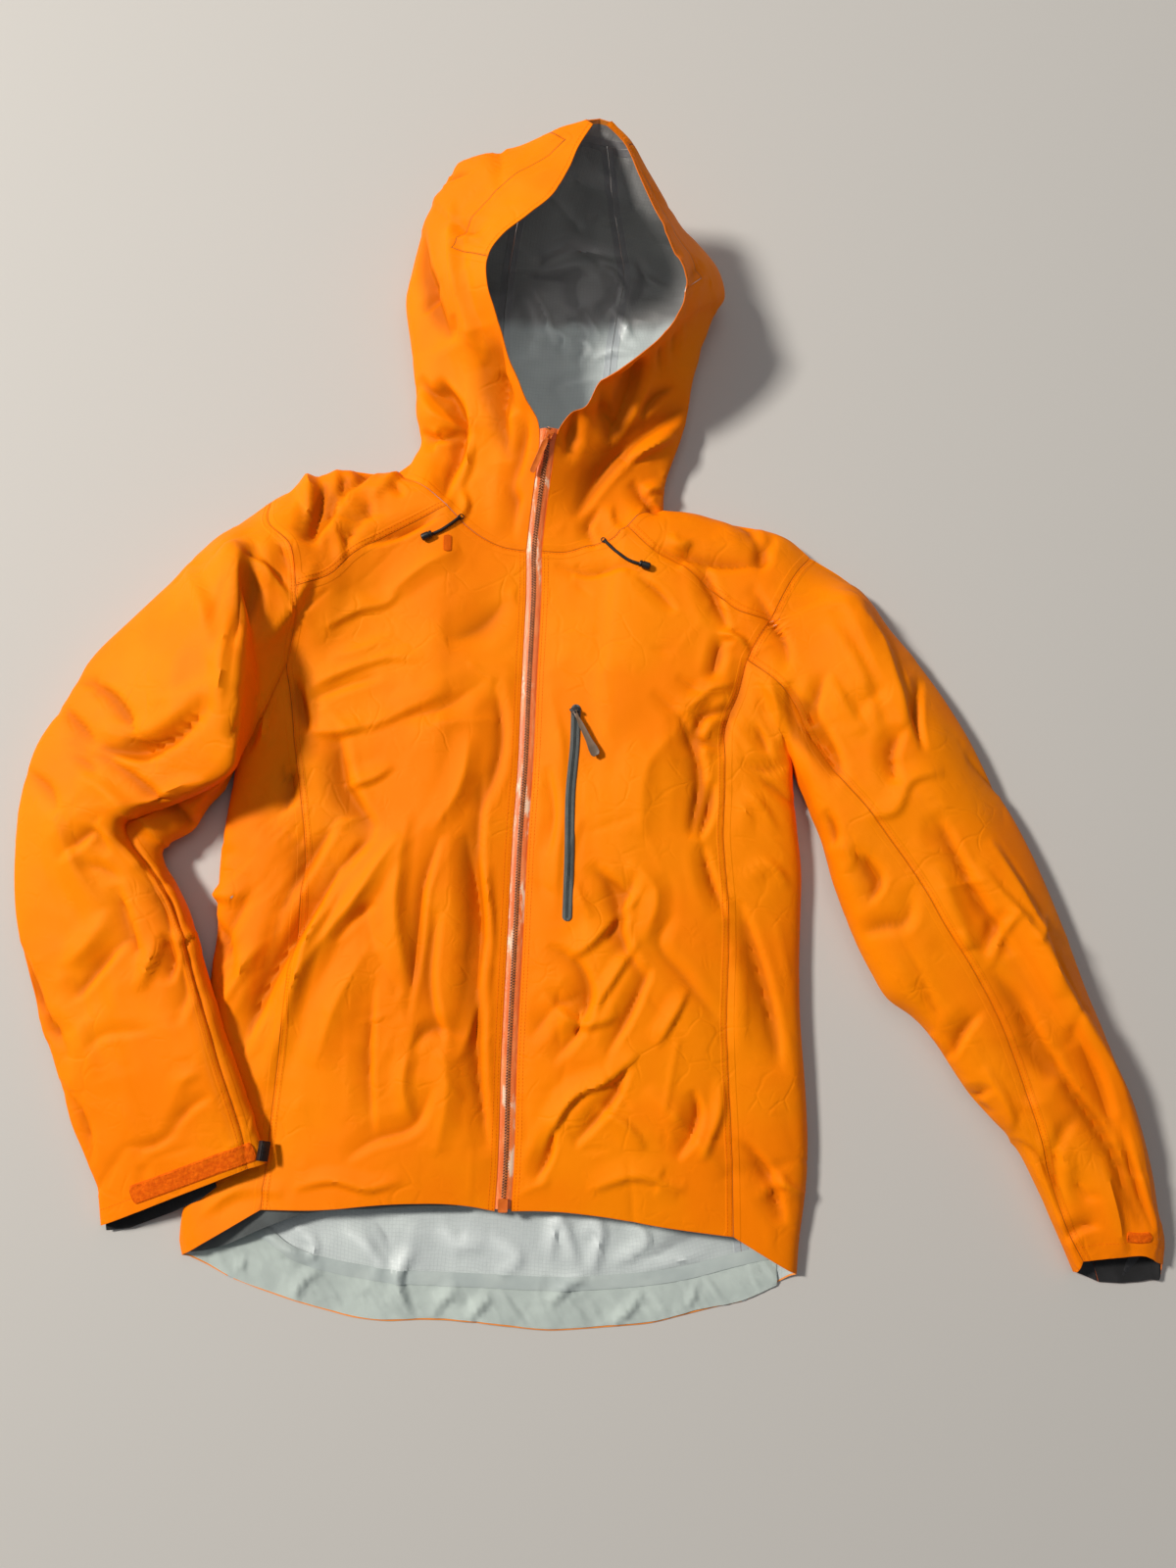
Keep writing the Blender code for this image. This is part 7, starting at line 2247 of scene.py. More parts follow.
class Bench:
    """A hard piece on the bench, modelled in millimetres round the origin, then put in its place."""

    def __init__(self, name: str, kind: str, **options: object) -> None:
        """Start from a primitive.

        Args:
            name: the piece's name.
            kind: which primitive.
            options: sizes and place of the primitive.
        """
        select_none()
        getattr(bpy.ops.mesh, f"primitive_{kind}_add")(**options)
        self.piece = bpy.context.object
        self.piece.name = self.piece.data.name = name
        bpy.ops.object.mode_set(mode="EDIT")

    def pick(self, test: Callable) -> "Bench":
        """Select the faces whose centre and normal pass a test.

        Args:
            test: takes a face's centre and normal.

        Returns:
            This bench piece, as the other methods return it too.
        """
        bpy.ops.mesh.select_mode(type="FACE")
        mesh = bmesh.from_edit_mesh(self.piece.data)
        mesh.normal_update()
        for face in mesh.faces:
            face.select_set(bool(test(face.calc_center_median(), face.normal)))
        mesh.select_flush_mode()
        bmesh.update_edit_mesh(self.piece.data)
        return self

    def resize(self, *factors: float) -> "Bench":
        """Scale what is selected about its own middle."""
        bpy.ops.transform.resize(value=factors)
        return self

    def extrude(self, *move: float) -> "Bench":
        """Extrude the selected faces by a move."""
        bpy.ops.mesh.extrude_region_move(TRANSFORM_OT_translate={"value": move})
        return self

    def inset(self, width: float, depth: float = 0.0) -> "Bench":
        """Inset the selected faces, and raise or sink them."""
        bpy.ops.mesh.inset(thickness=width, depth=depth)
        return self

    def round_off(self, width: float, segments: int = 2, sharper: float = 30.0) -> "Bench":
        """Bevel every edge sharper than an angle in degrees.

        Args:
            width: width of the bevel.
            segments: faces across it.
            sharper: the angle.

        Returns:
            This bench piece.
        """
        bpy.ops.mesh.select_mode(type="EDGE")
        bpy.ops.mesh.select_all(action="DESELECT")
        bpy.ops.mesh.edges_select_sharp(sharpness=math.radians(sharper))
        bpy.ops.mesh.bevel(offset=width, segments=segments, affect="EDGES", clamp_overlap=True)
        return self

    def merge(self, other: "Bench") -> "Bench":
        """Take another bench piece into this one.

        Args:
            other: the piece that is taken in.

        Returns:
            This bench piece.
        """
        for bench in (self, other):
            bpy.context.view_layer.objects.active = bench.piece
            if bench.piece.mode == "EDIT":
                bpy.ops.object.mode_set(mode="OBJECT")
        select_none()
        other.piece.select_set(True)
        self.piece.select_set(True)
        bpy.context.view_layer.objects.active = self.piece
        bpy.ops.object.join()
        bpy.ops.object.mode_set(mode="EDIT")
        return self

    def place(self, frame: Matrix, finish: Finish) -> bpy.types.Object:
        """Put the finished piece in its place in the frame, in metres, and dress it.

        Args:
            frame: matrix from bench millimetres to the frame.
            finish: its finish.

        Returns:
            The piece.
        """
        bpy.context.view_layer.objects.active = self.piece
        bpy.ops.mesh.select_all(action="SELECT")
        bpy.ops.mesh.normals_make_consistent(inside=False)
        bpy.ops.object.mode_set(mode="OBJECT")
        data = self.piece.data
        data.transform(frame @ self.piece.matrix_world)
        self.piece.matrix_world = Matrix.Identity(4)
        data.materials.clear()
        dress(self.piece, finish)
        data.shade_smooth()
        data.set_sharp_from_angle(angle=math.radians(35))
        self.piece.select_set(False)
        LOG.info("%s: %d faces", self.piece.name, len(data.polygons))
        return self.piece


def standing(place: Sequence, heading: Sequence, normal: Sequence) -> Matrix:
    """Matrix from bench millimetres to the frame: +Y along heading, +Z along normal.

    Args:
        place: the origin, in lay millimetres.
        heading: where +Y points.
        normal: where +Z points.

    Returns:
        The matrix.
    """
    up = Vector(normal).normalized()
    ahead = (Vector(heading) - up * Vector(heading).dot(up)).normalized()
    side = ahead.cross(up)
    frame = Matrix((side, ahead, up)).transposed().to_4x4()
    frame.translation = Vector(lay_to_part(place))
    return frame @ Matrix.Scale(MM, 4)


def block(name: str, size: tuple) -> Bench:
    """Bench piece that starts as a block of a size."""
    return Bench(name, "cube", size=1.0).resize(*size)


def pin(name: str, radius: float, length: float, across: float = 0.0) -> Bench:
    """Bench piece that starts as a pin along X, its middle moved along Z."""
    return Bench(name, "cylinder", vertices=20, radius=radius, depth=length, location=(0.0, 0.0, across),
                 rotation=(0.0, math.pi / 2, 0.0))


def turned(name: str, profile: Sequence) -> Bench:
    """Bench piece turned about Y from (distance, radius) rows.

    Args:
        name: the piece's name.
        profile: distance along Y and radius, from end to end.

    Returns:
        The bench piece.
    """
    start, radius = profile[0]
    bench = Bench(name, "circle", vertices=24, radius=radius, fill_type="NGON", location=(0.0, start, 0.0),
                  rotation=(-math.pi / 2, 0.0, 0.0))
    before = radius
    for (last, _), (distance, width) in zip(profile[:-1], profile[1:]):
        bench.extrude(0.0, distance - last, 0.0).resize(width / before, 1.0, width / before)
        before = width
    return bench


@dataclass
class SliderAndPull:
    """A zip's slider, and the pull tab that turns on it."""
    slider_node: str
    pull_node: str
    size: tuple                    # slider's width, length and plate
    outline: tuple                 # distance from the axis and half width, down the pull
    thick: float
    slider_finish: Finish
    pull_finish: Finish
    slots: tuple
    axis_above: float = 1.3
    lug: tuple = (1.9, 1.2)        # radius and width of each of the two lugs
    eye: tuple = (1.1, 4.4)        # radius and length of the pull's eye
    recess: tuple = (0.75, -0.3)   # width of the pull's rim and depth inside it

    def frame(self) -> Matrix:
        """Matrix of the pull: origin and X on the hinge, +Y back up the pull, +Z outwards.

        Returns:
            The matrix from bench millimetres to the frame.
        """
        joint = next(item for item in FRAME["joints"] if item["child"] == self.pull_node)
        origin = Vector(joint["pos_m"])
        axis = Vector(joint["axis"]).normalized()
        corners = [vertex.co for vertex in FRAME["nodes"][self.pull_node].data.vertices]
        down = sum(corners, Vector()) / len(corners) - origin
        down = (down - axis * down.dot(axis)).normalized()
        up = axis.cross(down).normalized()
        if up.z < 0:
            up.negate()
        turned_frame = Matrix(((-down).cross(up), -down, up)).transposed().to_4x4()
        turned_frame.translation = origin
        return turned_frame @ Matrix.Scale(MM, 4)

    def make_slider(self) -> None:
        """Plate with a raised back, narrower at its tail, and two lugs for the pull."""
        width, length, plate = self.size
        body = block(self.slider_node + "_body", (width, length, plate))
        body.pick(lambda centre, normal: normal.y < -0.9).resize(0.66, 1.0, 1.0)
        body.pick(lambda centre, normal: normal.z > 0.9).inset(1.1)
        body.extrude(0, 0, 0.45).resize(0.8, 0.86, 1)
        body.pick(lambda centre, normal: abs(normal.x) > 0.9 and centre.z < 0.6 * plate).inset(0.5, -0.35)
        body.round_off(0.28)
        axis = 0.5 * plate + self.axis_above
        radius, thick = self.lug
        for sign in (-1, 1):
            lug = pin(self.slider_node + "_lug", radius, thick, axis)
            lug.pick(lambda centre, normal: normal.z < -0.5).extrude(0, 0, -1.0)
            lug.round_off(0.25)
            bpy.ops.mesh.select_all(action="SELECT")
            bpy.ops.transform.translate(value=(sign * (0.5 * self.eye[1] + 0.4 + 0.5 * thick), 0, 0))
            body.merge(lug)
        frame = self.frame() @ Matrix.Translation((0.0, 0.0, -axis))
        piece = body.place(frame, self.slider_finish)
        carry(piece, self.slots[0], self.slider_node)

    def make_pull(self) -> None:
        """Moulded tongue with a recess on both faces, and its eye."""
        (_, half), (distance, _) = self.outline[:2]
        tongue = Bench(self.pull_node + "_tab", "cube", size=1.0)
        tongue.resize(2 * half, distance, self.thick)
        bpy.ops.transform.translate(value=(0.0, -0.5 * distance, 0.0))
        tongue.pick(lambda centre, normal: normal.y < -0.9)
        last, before = distance, half
        for distance, half in self.outline[2:]:
            tongue.extrude(0.0, last - distance, 0.0).resize(half / before, 1.0, 1.0)
            last, before = distance, half
        neck = self.outline[1][0]
        for sign in (1, -1):
            tongue.pick(lambda centre, normal: normal.z * sign > 0.9 and centre.y < -neck)
            tongue.inset(*self.recess)
        tongue.round_off(0.3)
        eye = pin(self.pull_node + "_eye", *self.eye).round_off(0.2)
        piece = tongue.merge(eye).place(self.frame(), self.pull_finish)
        carry(piece, self.slots[1], self.pull_node, body=self.pull_node)

    def build(self) -> None:
        """Make both pieces."""
        self.make_slider()
        self.make_pull()


@dataclass
class MainZip:
    """Coated tapes, coil bed, interlocked teeth, bottom box, slider and pull."""
    tape: tuple = ((2.0, 0.85), (3.2, 0.8), (5.0, 0.5), (6.4, 0.0), (7.4, -0.75), (9.0, -1.15))
    wall: float = 0.6
    rows: int = 420
    bed_wall: float = 0.9
    bed: tuple = ((-2.9, 0.55), (-1.4, 0.8), (0.0, 0.85), (1.4, 0.8), (2.9, 0.55))
    pitch: float = 2.5
    tooth: tuple = (2.7, 0.62)     # reach from the middle, radius
    tooth_lift: float = 1.35
    box: tuple = (8.6, 11.0, 2.6)
    box_at: tuple = (0.3, 6.0, 3.2)     # from the foot of the zip
    slider: tuple = (9.0, 11.0, 2.2)
    pull: tuple = ((0, 1.9), (4, 1.9), (7, 2.7), (34, 2.7), (36, 1.7))
    pull_thick: float = 1.4

    def line(self, count: int, start: float = 0.003, end: float = 0.994) -> np.ndarray:
        """Points along the middle of the zip.

        Args:
            count: how many points.
            start: where it starts, as a share of the zip's length.
            end: where it ends.

        Returns:
            The points, one to a row.
        """
        points = zip_edge("left", count, start, end)
        points[:, 0] -= ZIP_EDGE
        return points

    def strip(self, profile: Sequence, sign: int = 1) -> np.ndarray:
        """Grid of a strip beside the middle line.

        Args:
            profile: offset from the middle and height, across the strip.
            sign: 1 for the left side, -1 for the right.

        Returns:
            Rows of points across it.
        """
        line = self.line(self.rows)
        return np.stack([line + np.array((sign * offset, 0.0, height)) for offset, height in profile],
                        axis=1)

    def tapes(self) -> None:
        """Both tapes, with their places of wear and painted glint as an attribute."""
        for side, sign in (("right", -1), ("left", 1)):
            piece = strip_piece(f"zip_tape_{side}_coated", self.strip(self.tape, sign), self.wall,
                                Finish.TAPE, "zip_tape", f"zip_tape_{side}")
            y = np.array([vertex.co.y for vertex in piece.data.vertices]) * 1000 + LAY_CENTRE[1]
            rubbed_and_glint = np.zeros(len(y), dtype=np.float32)
            for middle, half in WORN_AND_GLINT_STRETCHES:
                away = ease(abs(y - middle), 0.6 * half, 1.3 * half + 3)
                rubbed_and_glint = np.maximum(rubbed_and_glint, 1 - away)
            values = piece.data.attributes.new("rubbed_and_glint", "FLOAT", "POINT").data
            values.foreach_set("value", rubbed_and_glint.astype(np.float32))

    def teeth(self) -> None:
        """Bed of the coil, and the coil's turns, leaning towards each other from both sides."""
        strip_piece("zip_coil_bed", self.strip(self.bed), self.bed_wall, Finish.COIL_BED, "zip_teeth")
        length = chords(self.line(400))[-1]
        count = int(length / self.pitch)
        middles = self.line(2 * count)
        reach, radius = self.tooth
        shares = np.linspace(0, 1, 5)
        rise = self.tooth_lift * (0.35 + 0.65 * np.sin(math.pi * (0.15 + 0.7 * shares)))
        places, faces = [], []
        for index, middle in enumerate(middles):
            sign = 1 if index % 2 else -1
            path = np.stack([sign * (reach - shares * (reach + 0.9)), 0.9 * self.pitch * (shares - 0.5),
                             rise], axis=1)
            points, sides = tube(path + middle,
                                 lambda share: radius * (0.55 + 0.45 * math.sin(math.pi * share)), 5)
            faces += [tuple(corner + len(points) * index for corner in face) for face in sides]
            places.append(points)
        piece = mesh_piece("zip_teeth_coil", np.concatenate(places), faces, Finish.TEETH)
        carry(piece, "zip_teeth", "zip_chain")
        LOG.info("zip_teeth_coil: %d turns", len(middles))

    def bottom_box(self) -> None:
        """Moulded box at the hem, with a channel down its middle and a lip at its foot."""
        body = block("zip_box_moulded", self.box)
        body.pick(lambda centre, normal: normal.z > 0.9).inset(1.0, -0.5)
        body.pick(lambda centre, normal: normal.y < -0.9).inset(0.5).extrude(0, -0.8, 0)
        body.round_off(0.35)
        place = np.array(ZIP_LINE[0], dtype=float) + self.box_at
        piece = body.place(standing(place, (0.02, 1.0, 0.0), (0, 0, 1)), Finish.ORANGE_PLASTIC)
        carry(piece, "zip_tape", "zip_box")

    def build(self) -> None:
        """Make the whole zip."""
        self.tapes()
        self.teeth()
        self.bottom_box()
        SliderAndPull("zip_slider", "zip_pull", self.slider, self.pull, self.pull_thick,
                      Finish.ORANGE_PLASTIC, Finish.ORANGE_PLASTIC, ("zip_tape", "zip_tape")).build()


@dataclass
class PocketZip:
    """Chest pocket zip: welded slate tape with round ends, dark coil in its groove, slider and pull."""
    profile: tuple = ((-4.3, 0.0), (-4.0, 0.75), (-3.5, 0.95), (-1.5, 0.95), (-1.2, 0.4), (0.0, 0.35),
                      (1.2, 0.4), (1.5, 0.95), (3.5, 0.95), (4.0, 0.75), (4.3, 0.0))
    groove: tuple = ((-0.9, 0.8), (0.0, 1.05), (0.9, 0.8))
    spacing: float = 1.4
    end_radius: float = 4.3
    wall: float = 0.5
    coil_short: float = 3.0        # how far the coil stops short of the tape's ends
    coil_pitch: float = 0.6
    coil_relief: float = 0.35
    coil_wall: float = 0.4
    slider: tuple = (8.0, 10.0, 2.0)
    pull: tuple = ((0, 1.7), (6, 1.8), (14, 2.4), (30, 3.0), (38, 4.3), (43, 4.3), (45.5, 2.8))
    pull_thick: float = 1.6

    def build(self, shell: Shell) -> None:
        """Make the zip on the cloth.

        Args:
            shell: the cloth that carries it.
        """
        grid = laid_strip(shell, POCKET_ZIP, self.profile, self.spacing, round_ends=self.end_radius)
        strip_piece("pocket_zip_tape", grid, self.wall, Finish.SLATE, "slate_zip", "pocket_zip")
        line = [list(point) for point in POCKET_ZIP]
        line[0][1] -= self.coil_short
        line[-1][1] += self.coil_short
        grid = laid_strip(shell, line, self.groove, self.coil_pitch)
        grid[1::2, :, 2] -= self.coil_relief
        coil = sheet_piece("pocket_zip_coil", Panel("coil", grid, facing=Facing.UP), self.coil_wall,
                           (Finish.SLATE_COIL,), gap=0.0)
        carry(coil, "dark_slider")
        SliderAndPull("pocket_slider", "pocket_pull", self.slider, self.pull, self.pull_thick,
                      Finish.SLIDER, Finish.PULL, ("dark_slider", "slate_zip")).build()


@dataclass
class Drawcord:
    """Free end of a hood drawcord: braided cord out of the neck seam, with a moulded end."""
    side: str
    diameter: float = 3.0
    points: int = 90
    braid: tuple = (6, 2.1, 0.055)   # strands, millimetres from crossing to crossing, relief
    sink: float = 1.6                # how far its start dips into the seam
    clear: float = 0.25              # gap over the cloth
    smooth_over: int = 25            # points that its height is averaged over
    around: int = 36                 # points round it
    eyelet: tuple = (2.9, 2.1, 0.5)  # half length, half width and radius of the bound edge

    def build(self, shell: Shell) -> None:
        """Make the cord, its end, and the eyelet that it leaves by.

        Args:
            shell: the cloth that carries it.
        """
        radius = 0.5 * self.diameter
        route = curve([(x, y, 0.0) for x, y in CORD_ROUTE[self.side]], self.points)
        share = np.linspace(0, 1, self.points)
        for point in route:
            spot, _ = shell.top_at(point[0], point[1])
            point[2] = spot.z + CLOTH_TOP + radius + self.clear
        span = self.smooth_over
        smooth = np.convolve(np.pad(route[:, 2], span // 2, mode="edge"), np.full(span, 1 / span),
                             mode="valid")
        route[:, 2] = np.maximum(route[:, 2], smooth) - self.sink * (1 - ease(share, 0.0, 0.16))
        strands, crossing, relief = self.braid
        twist = math.pi / (strands * crossing)

        def woven(angle: np.ndarray, along: float) -> np.ndarray:
            """Relief of the braid's strands."""
            return 1 + relief * (np.cos(strands * (angle + twist * along))
                                 * np.cos(strands * (angle - twist * along)) - 0.5)

        points, faces = tube(route, lambda part: radius, self.around, woven)
        cord = mesh_piece(f"drawcord_{self.side}_braid", points, faces, Finish.CORD)
        carry(cord, "cord", f"drawcord_{self.side}")
        end = self.make_end(shell, route)
        path = lay_to_part(route)
        self.make_eyelet(shell, route)

    def make_end(self, shell: Shell, route: np.ndarray) -> bpy.types.Object:
        """Moulded end: a barrel with a ring groove near the cord.

        Args:
            shell: the cloth that carries it.
            route: points along the cord's middle.

        Returns:
            The piece.
        """
        length, width = CORD_END_SIZE
        radius = 0.5 * width
        half = 0.5 * length
        profile = ((-half, 0.62 * radius), (0.35 - half, 0.8 * radius), (1.4 - half, 0.94 * radius),
                   (2.2 - half, 0.94 * radius), (2.45 - half, 0.78 * radius), (3.2 - half, 0.78 * radius),
                   (3.5 - half, 0.97 * radius), (half - 2.0, radius), (half - 0.8, 0.9 * radius),
                   (half - 0.2, 0.66 * radius), (half, 0.35 * radius))
        heading = Vector(route[-1] - route[-6]).normalized()
        centre = Vector(route[-1]) + heading * (half - 1.2)
        spot, normal = shell.top_at(centre.x, centre.y)
        centre.z = max(centre.z, spot.z + CLOTH_TOP + 0.3 + radius)
        piece = turned(f"cord_end_{self.side}_moulded", profile).place(standing(centre, heading, normal),
                                                                      Finish.RUBBER)
        carry(piece, "black_rubber", f"cord_end_{self.side}")
        return piece

    def make_eyelet(self, shell: Shell, route: np.ndarray) -> None:
        """Small bound slot in the cloth where the cord comes out.

        Args:
            shell: the cloth that carries it.
            route: points along the cord's middle.
        """
        x, y = route[0][:2]
        half_length, half_width, bound = self.eyelet
        angle = np.linspace(0, math.tau, 25)[:-1]
        heading = Vector(route[8] - route[0]).normalized()
        ring = []
        for turn in angle:
            along, across = half_length * math.cos(turn), half_width * math.sin(turn)
            spot, normal = shell.top_at(x + heading.x * along - heading.y * across,
                                        y + heading.y * along + heading.x * across)
            ring.append(np.array(spot + normal * (CLOTH_TOP + 0.1)))
        path = np.array(ring + ring[:1])
        points, faces = tube(path, lambda share: bound, 8)
        piece = mesh_piece(f"cord_eyelet_{self.side}", points, faces[2:], Finish.CORD)
        carry(piece, "cord")


@dataclass
class CuffTrim:
    """Hook patches, the keeper tab, the cuff tab's rubber end, and the cuffs' black facings."""
    patch_spacing: float = 0.9
    patch_height: float = 0.75
    patch_wall: float = 0.6
    patch_corner: float = 2.6
    patch_hem: float = 1.5         # from a patch's edge to its stitching
    fuzz: float = 0.28             # unevenness of a hook patch's face
    keeper_half: float = 3.5
    keeper_corner: float = 1.6
    ridge_steps: tuple = (-3.2, 0.0, 3.2)
    facing_depth: float = 26.0
    facing_shown: tuple = (("right", 12.0), ("left", -0.6))    # how far each reaches past the cuff's edge
    facing_wall: float = 0.7
    facing_rows: int = 14

    def patches(self, shell: Shell, stitching: Stitching) -> None:
        """Hook tape on each cuff, with a sewn edge and an uneven face.

        Args:
            shell: the cloth that carries them.
            stitching: takes the rows of stitches along their edges.
        """
        for side, (line, width) in CUFF_PATCH.items():
            half = 0.5 * width
            offsets = np.linspace(-half, half, round(width / self.patch_spacing))
            profile = [(offset, self.patch_height * min(1.0, 0.2 + (half - abs(offset)) / 1.2))
                       for offset in offsets]
            grid = laid_strip(shell, line, profile, self.patch_spacing, round_ends=self.patch_corner)
            draw = np.random.default_rng(21)
            grid[2:-2, 2:-2, 2] += draw.uniform(-self.fuzz, self.fuzz, grid[2:-2, 2:-2, 2].shape)
            strip_piece(f"cuff_patch_{side}_hook", grid, self.patch_wall, Finish.HOOK, "hook_tape",
                        f"cuff_patch_{side}")
            for offset in (self.patch_hem - half, half - self.patch_hem):
                row = laid_strip(shell, line, ((offset, self.patch_height), (offset, 3.0)), 2.0)[2:-2]
                up = row[:, 1] - row[:, 0]
                stitching.sew((row[:, 0], up / np.linalg.norm(up, axis=1)[:, None]))

    def keeper(self, shell: Shell) -> None:
        """Small cloth tab that held the right cord.

        Args:
            shell: the cloth that carries it.
        """
        half = self.keeper_half
        profile = [(offset, 0.3 + 0.25 * math.cos(offset / 3.6)) for offset in np.linspace(-half, half, 9)]
        grid = laid_strip(shell, KEEPER, profile, 1.4, round_ends=self.keeper_corner)
        strip_piece("cord_keeper_right_tab", grid, 0.7, Finish.TAB, "shell_cloth", "cord_keeper_right")

    def tab_end(self, shell: Shell) -> None:
        """Rubber end of the right cuff's tab, with three grip ridges.

        Args:
            shell: the cloth that carries it.
        """
        spot, normal = shell.top_at(*CUFF_TAB_END)
        width, _, thick = CUFF_TAB_SIZE
        body = block("cuff_tab_end_right_moulded", CUFF_TAB_SIZE)
        body.pick(lambda centre, turned_to: turned_to.z > 0.9).inset(1.4)
        body.extrude(0, 0, 0.2).resize(0.9, 0.95, 1)
        body.round_off(1.3, 4)
        for step in self.ridge_steps:
            ridge = Bench("ridge", "cube", size=1.0, location=(0.0, step, 0.5 * thick + 0.15))
            ridge.resize(0.55 * width, 1.3, 0.8).round_off(0.35)
            body.merge(ridge)
        place = np.array(spot + normal * (CLOTH_TOP + 0.6 + 0.5 * thick))
        piece = body.place(standing(place, (0.36, 1.0, 0.0), normal), Finish.RUBBER)
        carry(piece, "black_rubber", "cuff_tab_end_right")

    def facings(self, shell: Shell) -> None:
        """Black facing inside the lower side of each cuff; the right one reaches past the edge.

        Args:
            shell: the cloth that they line.
        """
        for side, shown in self.facing_shown:
            panel = shell.panels[f"sleeve_{side}"]
            first = (ARM_LOW + ARM_HIGH - 1) * panel.parts[1]
            edge = panel.places[-1, first:]
            inward = -panel.normals[-1, first:]
            inner = panel.places[-12, first:]
            heading = edge - inner
            heading /= np.linalg.norm(heading, axis=1)[:, None]
            share = np.linspace(0, 1, len(edge))
            window = np.interp(share, (0, 0.25, 0.6, 0.85, 1), (0.5, 1, 1, 0.8, 0.35))[:, None]
            rows = [edge + heading * (reach * (window if reach > 0 else 1.0)) + inward * (CLOTH_TOP + 0.9)
                    for reach in np.linspace(-self.facing_depth, shown, self.facing_rows)]
            grid = np.array(rows)
            grid[..., 2] = np.maximum(grid[..., 2], FLOOR + 0.2)
            strip_piece(f"cuff_facing_{side}_knit", grid, self.facing_wall, Finish.CUFF, "cuff_facing",
                        f"cuff_facing_{side}")

    def build(self, shell: Shell, stitching: Stitching) -> None:
        """Make all the cuffs' trim.

        Args:
            shell: the cloth that carries it.
            stitching: takes the rows of stitches on it.
        """
        self.patches(shell, stitching)
        self.keeper(shell)
        self.tab_end(shell)
        self.facings(shell)


@dataclass
class HemFacings:
    """Facing inside the back hem with its seam tape, and the dark band under the front hem, partly facing
    and partly painted shadow.
    """
    columns: int = 300
    rows: int = 22
    wall: float = 0.6
    inset: float = 1.7             # hem's edge to the facing's
    end_gap: float = 2.0           # a side seam to the facing's end
    tape_half: float = 6.0
    tape_wall: float = 0.3
    band_points: int = 90
    pucker: float = 1.5            # height of the facing's small folds
    outer: tuple = ((-349, -494), (-335, -502))    # hem beyond the back's own, right then left
    outer_left: tuple = ((165, -526), (178, -520))
    inner: tuple = ((-343, -476), (-320, -465))    # the facing's upper edge there
    inner_left: tuple = ((162, -492), (179, -489))

    def over_back(self, shell: Shell, grid: np.ndarray, height: float) -> None:
        """Lay a grid on the back's inner face.

        Args:
            shell: the cloth.
            grid: rows of points, whose heights are set.
            height: how far above the face they lie.
        """
        for point in grid.reshape(-1, 3):
            found = [tree.ray_cast(Vector((point[0], point[1], -20.0)), Vector((0, 0, 1)))[0]
                     for tree in (shell.floor_tree, *shell.trees)]
            point[2] = min((spot.z for spot in found if spot), default=FLOOR) + height

    def back_facing(self, shell: Shell) -> None:
        """Facing between the hem and its sewn upper edge, drawn up in small diagonal puckers.

        Args:
            shell: the cloth that carries it.
        """
        hem = curve(on_floor(self.outer + BACK_HEM + self.outer_left), self.columns)
        top = curve(on_floor(self.inner + FACING_TOP + self.inner_left), self.columns)
        hem[:, 1] += self.inset
        share = np.linspace(0, 1, self.rows)[:, None, None]
        grid = (hem[None] * (1 - share) + top[None] * share).copy()
        grid[:, 0, 0] += self.end_gap
        grid[:, -1, 0] -= self.end_gap
        self.over_back(shell, grid, CLOTH_TOP + 0.5 * self.wall + 0.35)
        x, y = grid[..., 0].ravel(), grid[..., 1].ravel()
        lean = np.stack([x + 0.75 * y, 0.22 * (y - 0.75 * x), 0 * x], axis=1)
        folds = np.maximum(noise(lean, 8.0, 31), 0) + 0.6 * np.maximum(noise(lean + 40, 5.0, 32), 0)
        middle = np.sin(math.pi * np.clip(share + 0.12, 0, 1)) ** 0.8
        grid[..., 2] += self.pucker * folds.reshape(grid.shape[:2]) * middle[..., 0]
        strip_piece("hem_facing_cloth", grid, self.wall, Finish.FACING, "facing_cloth", "hem_facing")

    def seam_tape(self, shell: Shell) -> None:
        """Tape over the facing's upper edge.

        Args:
            shell: the cloth that carries it.
        """
        line = curve(on_floor(self.inner + FACING_TOP + self.inner_left), self.columns)
        grid = np.stack([line + np.array((0.0, offset, 0.0))
                         for offset in np.linspace(-self.tape_half, self.tape_half, 7)], axis=1)
        self.over_back(shell, grid, CLOTH_TOP + 1.5 * self.wall + 0.45)
        across = np.linspace(-1, 1, 7)
        grid[..., 2] += (0.9 - 0.9 * across**2)[None] * 0.5 + 0.3 * np.maximum(-across, 0)[None]
        strip_piece("hem_seam_tape", grid, self.tape_wall, Finish.SEAM_TAPE, "facing_cloth")

    def front_band(self) -> None:
        """Dark facing under the right front's hem; its dark tone is partly painted shadow."""
        table = np.array(FRONT_HEM_BAND, dtype=float)
        reach = chords(table[:, :2])
        x, hem, low, height = through(reach, table, np.linspace(0, reach[-1], self.band_points)).T
        lines = ((hem + 7, 0.4), (hem + 1, 1.4), (0.5 * (hem + low), 2.4), (low, 4.0))
        grid = np.stack([np.stack([x, y, height - drop], axis=1) for y, drop in lines], axis=1)
        strip_piece("front_hem_band_right", grid, self.wall, Finish.BAND, "facing_cloth")

    def build(self, shell: Shell) -> None:
        """Make the hem's facings.

        Args:
            shell: the cloth that carries them.
        """
        self.back_facing(shell)
        self.seam_tape(shell)
        self.front_band()


SEAM_ROWS = (1.7, 5.2)        # stitch rows, in millimetres inside a seam or an edge
ZIP_ROWS = (2.6, 6.1)
NECK_ROW = 1.6
CUFF_ROW = 14.0
BRIM_ROW = 4.5


